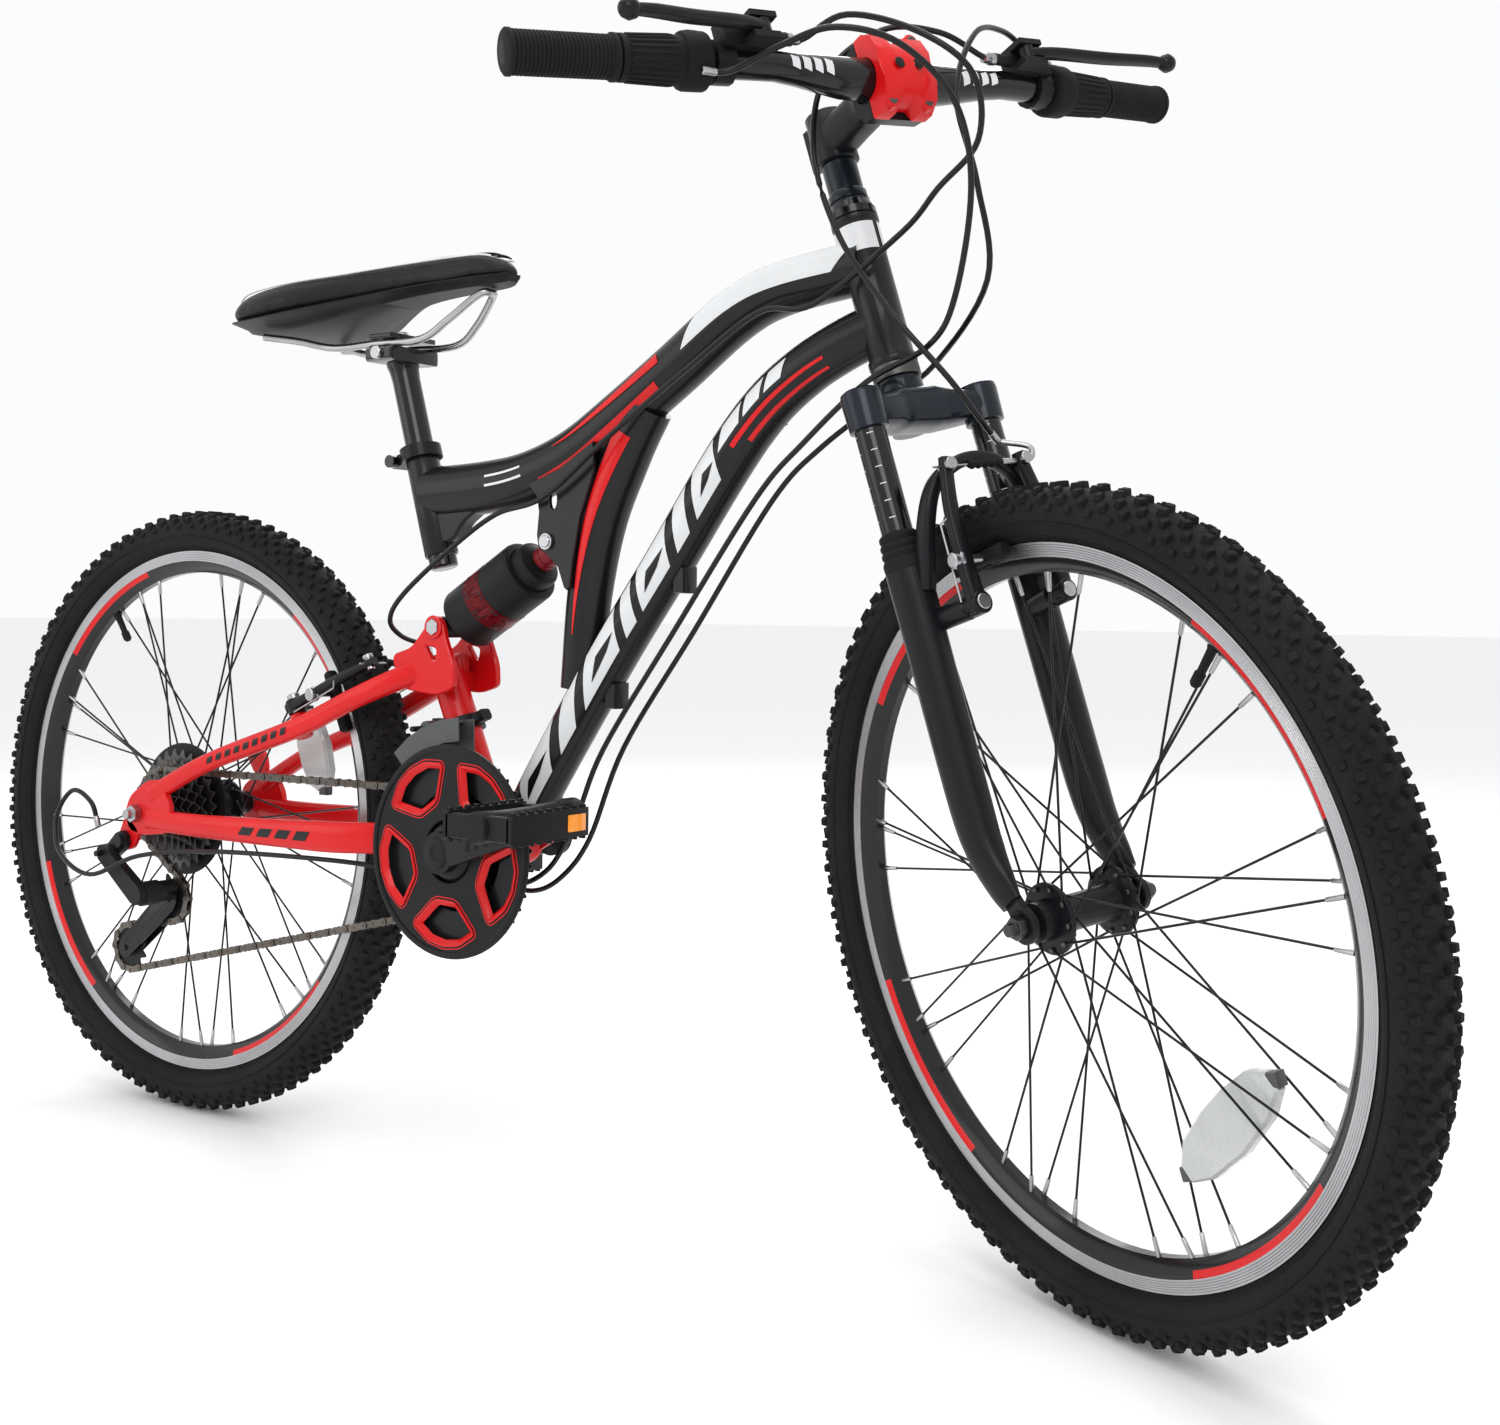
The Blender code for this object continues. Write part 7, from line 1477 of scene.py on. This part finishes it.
def finish_stem():
    stem = Shape()
    stem.turned([(0.5995, 0.016), (0.6003, 0.0172), (0.64, 0.0172), (0.641, 0.0164), (0.6412, 0.006)],
                ORIGIN, Z, 40)
    stem.pipe([(0.004, 0, 0.619), (0.03, 0, 0.6192), (0.05, 0, 0.62), (0.066, 0, 0.622)],
              [(0.015, 0.0165), (0.0142, 0.0152), (0.0142, 0.0152), (0.02, 0.02)], 28, Y, 3.2, 5)
    head = [(0.064, 0.64), (0.064, 0.604), (0.072, 0.593), (0.0835, 0.591)]
    head += [(0.0835, 0.606)] + arc_points(Vector((BAR_MID.x, 0, BAR_MID.z)), 0.0162, radians(268),
                                           radians(92), 12)
    head += [(0.0835, 0.638), (0.0835, 0.653), (0.072, 0.651)]
    stem.plate(head, -0.0235, 0.0235, 0.0012)
    for y in (-0.009, 0.002):
        stem.box((-0.024, y, 0.602), (-0.012, y + 0.007, 0.639), 0.0016)
    stem.done("stem_body", "satin", "steering", "stem", STEER)
    face = Shape()
    rings = []
    for y, wide, tall in ((-0.024, 0.82, 0.95), (-0.0232, 0.86, 1.0), (-0.0105, 0.9, 1.0), (-0.006, 1.0,
                          0.78),
                          (0.006, 1.0, 0.78), (0.0105, 0.9, 1.0), (0.0232, 0.86, 1.0), (0.024, 0.82, 0.95)):
        ring = []
        profile = [(0.0003, -0.0318 * tall), (0.01, -0.0318 * tall), (0.02, -0.025 * tall), (0.0248, -0.012),
                   (0.028 * wide, 0.0), (0.0248, 0.012), (0.02, 0.025 * tall), (0.01, 0.0318 * tall),
                   (0.0003, 0.0318 * tall)]
        profile += [(0.0003 + 0.0163 * cos(a), 0.0163 * sin(a)) for a in
                    (radians(88) - radians(176) * k / 12 for k in range(13))]
        rings.append([Vector((BAR_MID.x + a, y, BAR_MID.z + b)) for a, b in profile])
    face.skin(rings)
    face.done("stem_cap", "red_paint", "steering", "stem_faceplate", STEER)
    trim, bolts = Shape(), Shape()
    for up in (-1, 1):
        for side in (-1, 1):
            spot = BAR_MID + Vector((0.0098, side * 0.0165, up * 0.025))
            trim.turned([(0, 0.0062), (0.0075, 0.0062), (0.0085, 0.0052), (0.0085, 0.003)], spot, X, 24)
            bolts.bolt(spot + X * 0.0065, X, 0.004, 0.003)
    trim.done("stem_cap_bosses", "red_paint", "steering", (), STEER)
    dimples = Shape()
    for side in (-1, 1):
        spot = BAR_MID + Vector((0.0262, side * 0.0085, 0.0))
        dimples.turned([(0, 0.003), (0.0014, 0.0044), (0.0018, 0.0036)], spot, X, 20)
    dimples.done("stem_cap_studs", "plastic", "steering", (), STEER)
    for z in (0.611, 0.63):
        bolts.bolt(Vector((-0.018, 0.009, z)), Y, 0.0042, 0.003)
    bolts.bolt(Vector((0, 0, 0.641)), Z, 0.0058, 0.003)
    bolts.done("stem_bolts", "dark_steel", "steering", (), STEER)


build_bar()


# --------------------------------------------------------------------- cables
def lever_end(side, back=0.0):
    p = on_bar(side, *LEVER_PIVOT)
    return (p.x - 0.011 + back * 0.2, side * (0.094 - back), p.z + 0.0005)


def shifter_end(side, ahead, up, back=0.0):
    p = on_bar(side, 0.172 - back)
    return (p.x + ahead, p.y, p.z + up)


def steered(*points):
    return [STEER @ Vector(p) for p in points]


def housing(name, points, body, replaces, matrix=None):
    shape = Shape()
    path = smooth_path(points, 8)
    shape.sweep(path, (0.0023, 0.0023), 14, Z)
    shape.done(name + "_housing", "cable", body, replaces, matrix)
    ends = Shape()
    for a, b in ((path[0], path[4]), (path[-1], path[-5])):
        run = (b - a).normalized()
        ends.turned([(0, 0.0022), (0.0006, 0.0028), (0.01, 0.0028), (0.0108, 0.0024)], a, run, 18)
    ends.done(name + "_ferrules", "steel", body, (), matrix)


housing("front_brake_cable", [lever_end(1), lever_end(1, 0.012), (0.098, 0.05, 0.66), (0.08, 0.01, 0.669),
                              (0.05, -0.03, 0.645), (0.032, -0.046, 0.59), (0.034, -0.045, 0.52),
                              (0.055, -0.034, 0.45), (0.07, -0.01, 0.39), (0.068, 0.01, 0.358),
                              (0.06, 0.028, 0.342)], "steering", "front_brake_cable", STEER)
housing("rear_brake_cable",
        steered(lever_end(-1), lever_end(-1, 0.012), (0.136, -0.066, 0.64), (0.17, -0.036, 0.608),
                (0.18, -0.008, 0.572), (0.154, 0.004, 0.536), (0.108, -0.004, 0.522))
        + [(0.84, -0.03, 0.79), (0.76, -0.027, 0.744), (0.708, -0.027, 0.742),
                               (0.64, -0.029, 0.702), (0.56, -0.031, 0.65), (0.49, -0.031, 0.602),
                               (0.43, -0.027, 0.588), (0.382, -0.033, 0.558), (0.33, -0.038, 0.518),
                               (0.305, -0.03, 0.495), (0.296, -0.008, 0.48), (0.2925, 0.022, 0.472)],
        "frame", "rear_brake_cable")
housing("rear_shift_cable",
        steered(shifter_end(-1, 0.0168, -0.0168), shifter_end(-1, 0.02, -0.018, 0.02), (0.133, -0.128, 0.612),
                (0.16, -0.1, 0.612), (0.176, -0.062, 0.593),
                (0.178, -0.03, 0.55), (0.155, -0.016, 0.498), (0.105, -0.014, 0.438), (0.064, -0.016, 0.418))
        + [(0.808, -0.025, 0.681), (0.744, -0.015, 0.638), (0.698, -0.013, 0.596),
                               (0.618, -0.0135, 0.489), (0.545, -0.0135, 0.389), (0.516, -0.015, 0.326),
                               (0.49, -0.022, 0.282), (0.442, -0.029, 0.266), (0.34, -0.034, 0.27),
                               (0.26, -0.056, 0.276), (0.12, -0.074, 0.274), (0.03, -0.088, 0.264),
                               (-0.03, -0.099, 0.242), (-0.078, -0.1, 0.26), (-0.092, -0.095, 0.294),
                               (-0.076, -0.089, 0.32), (-0.05, -0.086, 0.31), (-0.042, -0.083, 0.286)],
        "frame", "rear_shift_cable")
housing("front_shift_cable",
        steered(shifter_end(1, 0.002, 0.0236), shifter_end(1, 0.004, 0.029, 0.022), (0.102, 0.112, 0.664),
                (0.124, 0.06, 0.644), (0.124, 0.024, 0.59), (0.124, 0.02, 0.52), (0.095, 0.03, 0.456))
        + [(0.83, 0.038, 0.7), (0.79, 0.033, 0.676), (0.742, 0.015, 0.638),
                               (0.696, 0.013, 0.596), (0.618, 0.0135, 0.489), (0.545, 0.0135, 0.389),
                               (0.51, 0.011, 0.308), (0.482, 0.005, 0.272), (0.448, 0.006, 0.258),
                               (0.41, 0.008, 0.264)], "frame", "front_shift_cable")

# ------------------------------------------------------------------ small clip
stay_clip = Shape()
stay_clip.box((0.296, 0.0505, 0.395), (0.302, 0.056, 0.4), 0.0005)
stay_clip.done("stay_clip", "plastic", "swingarm")
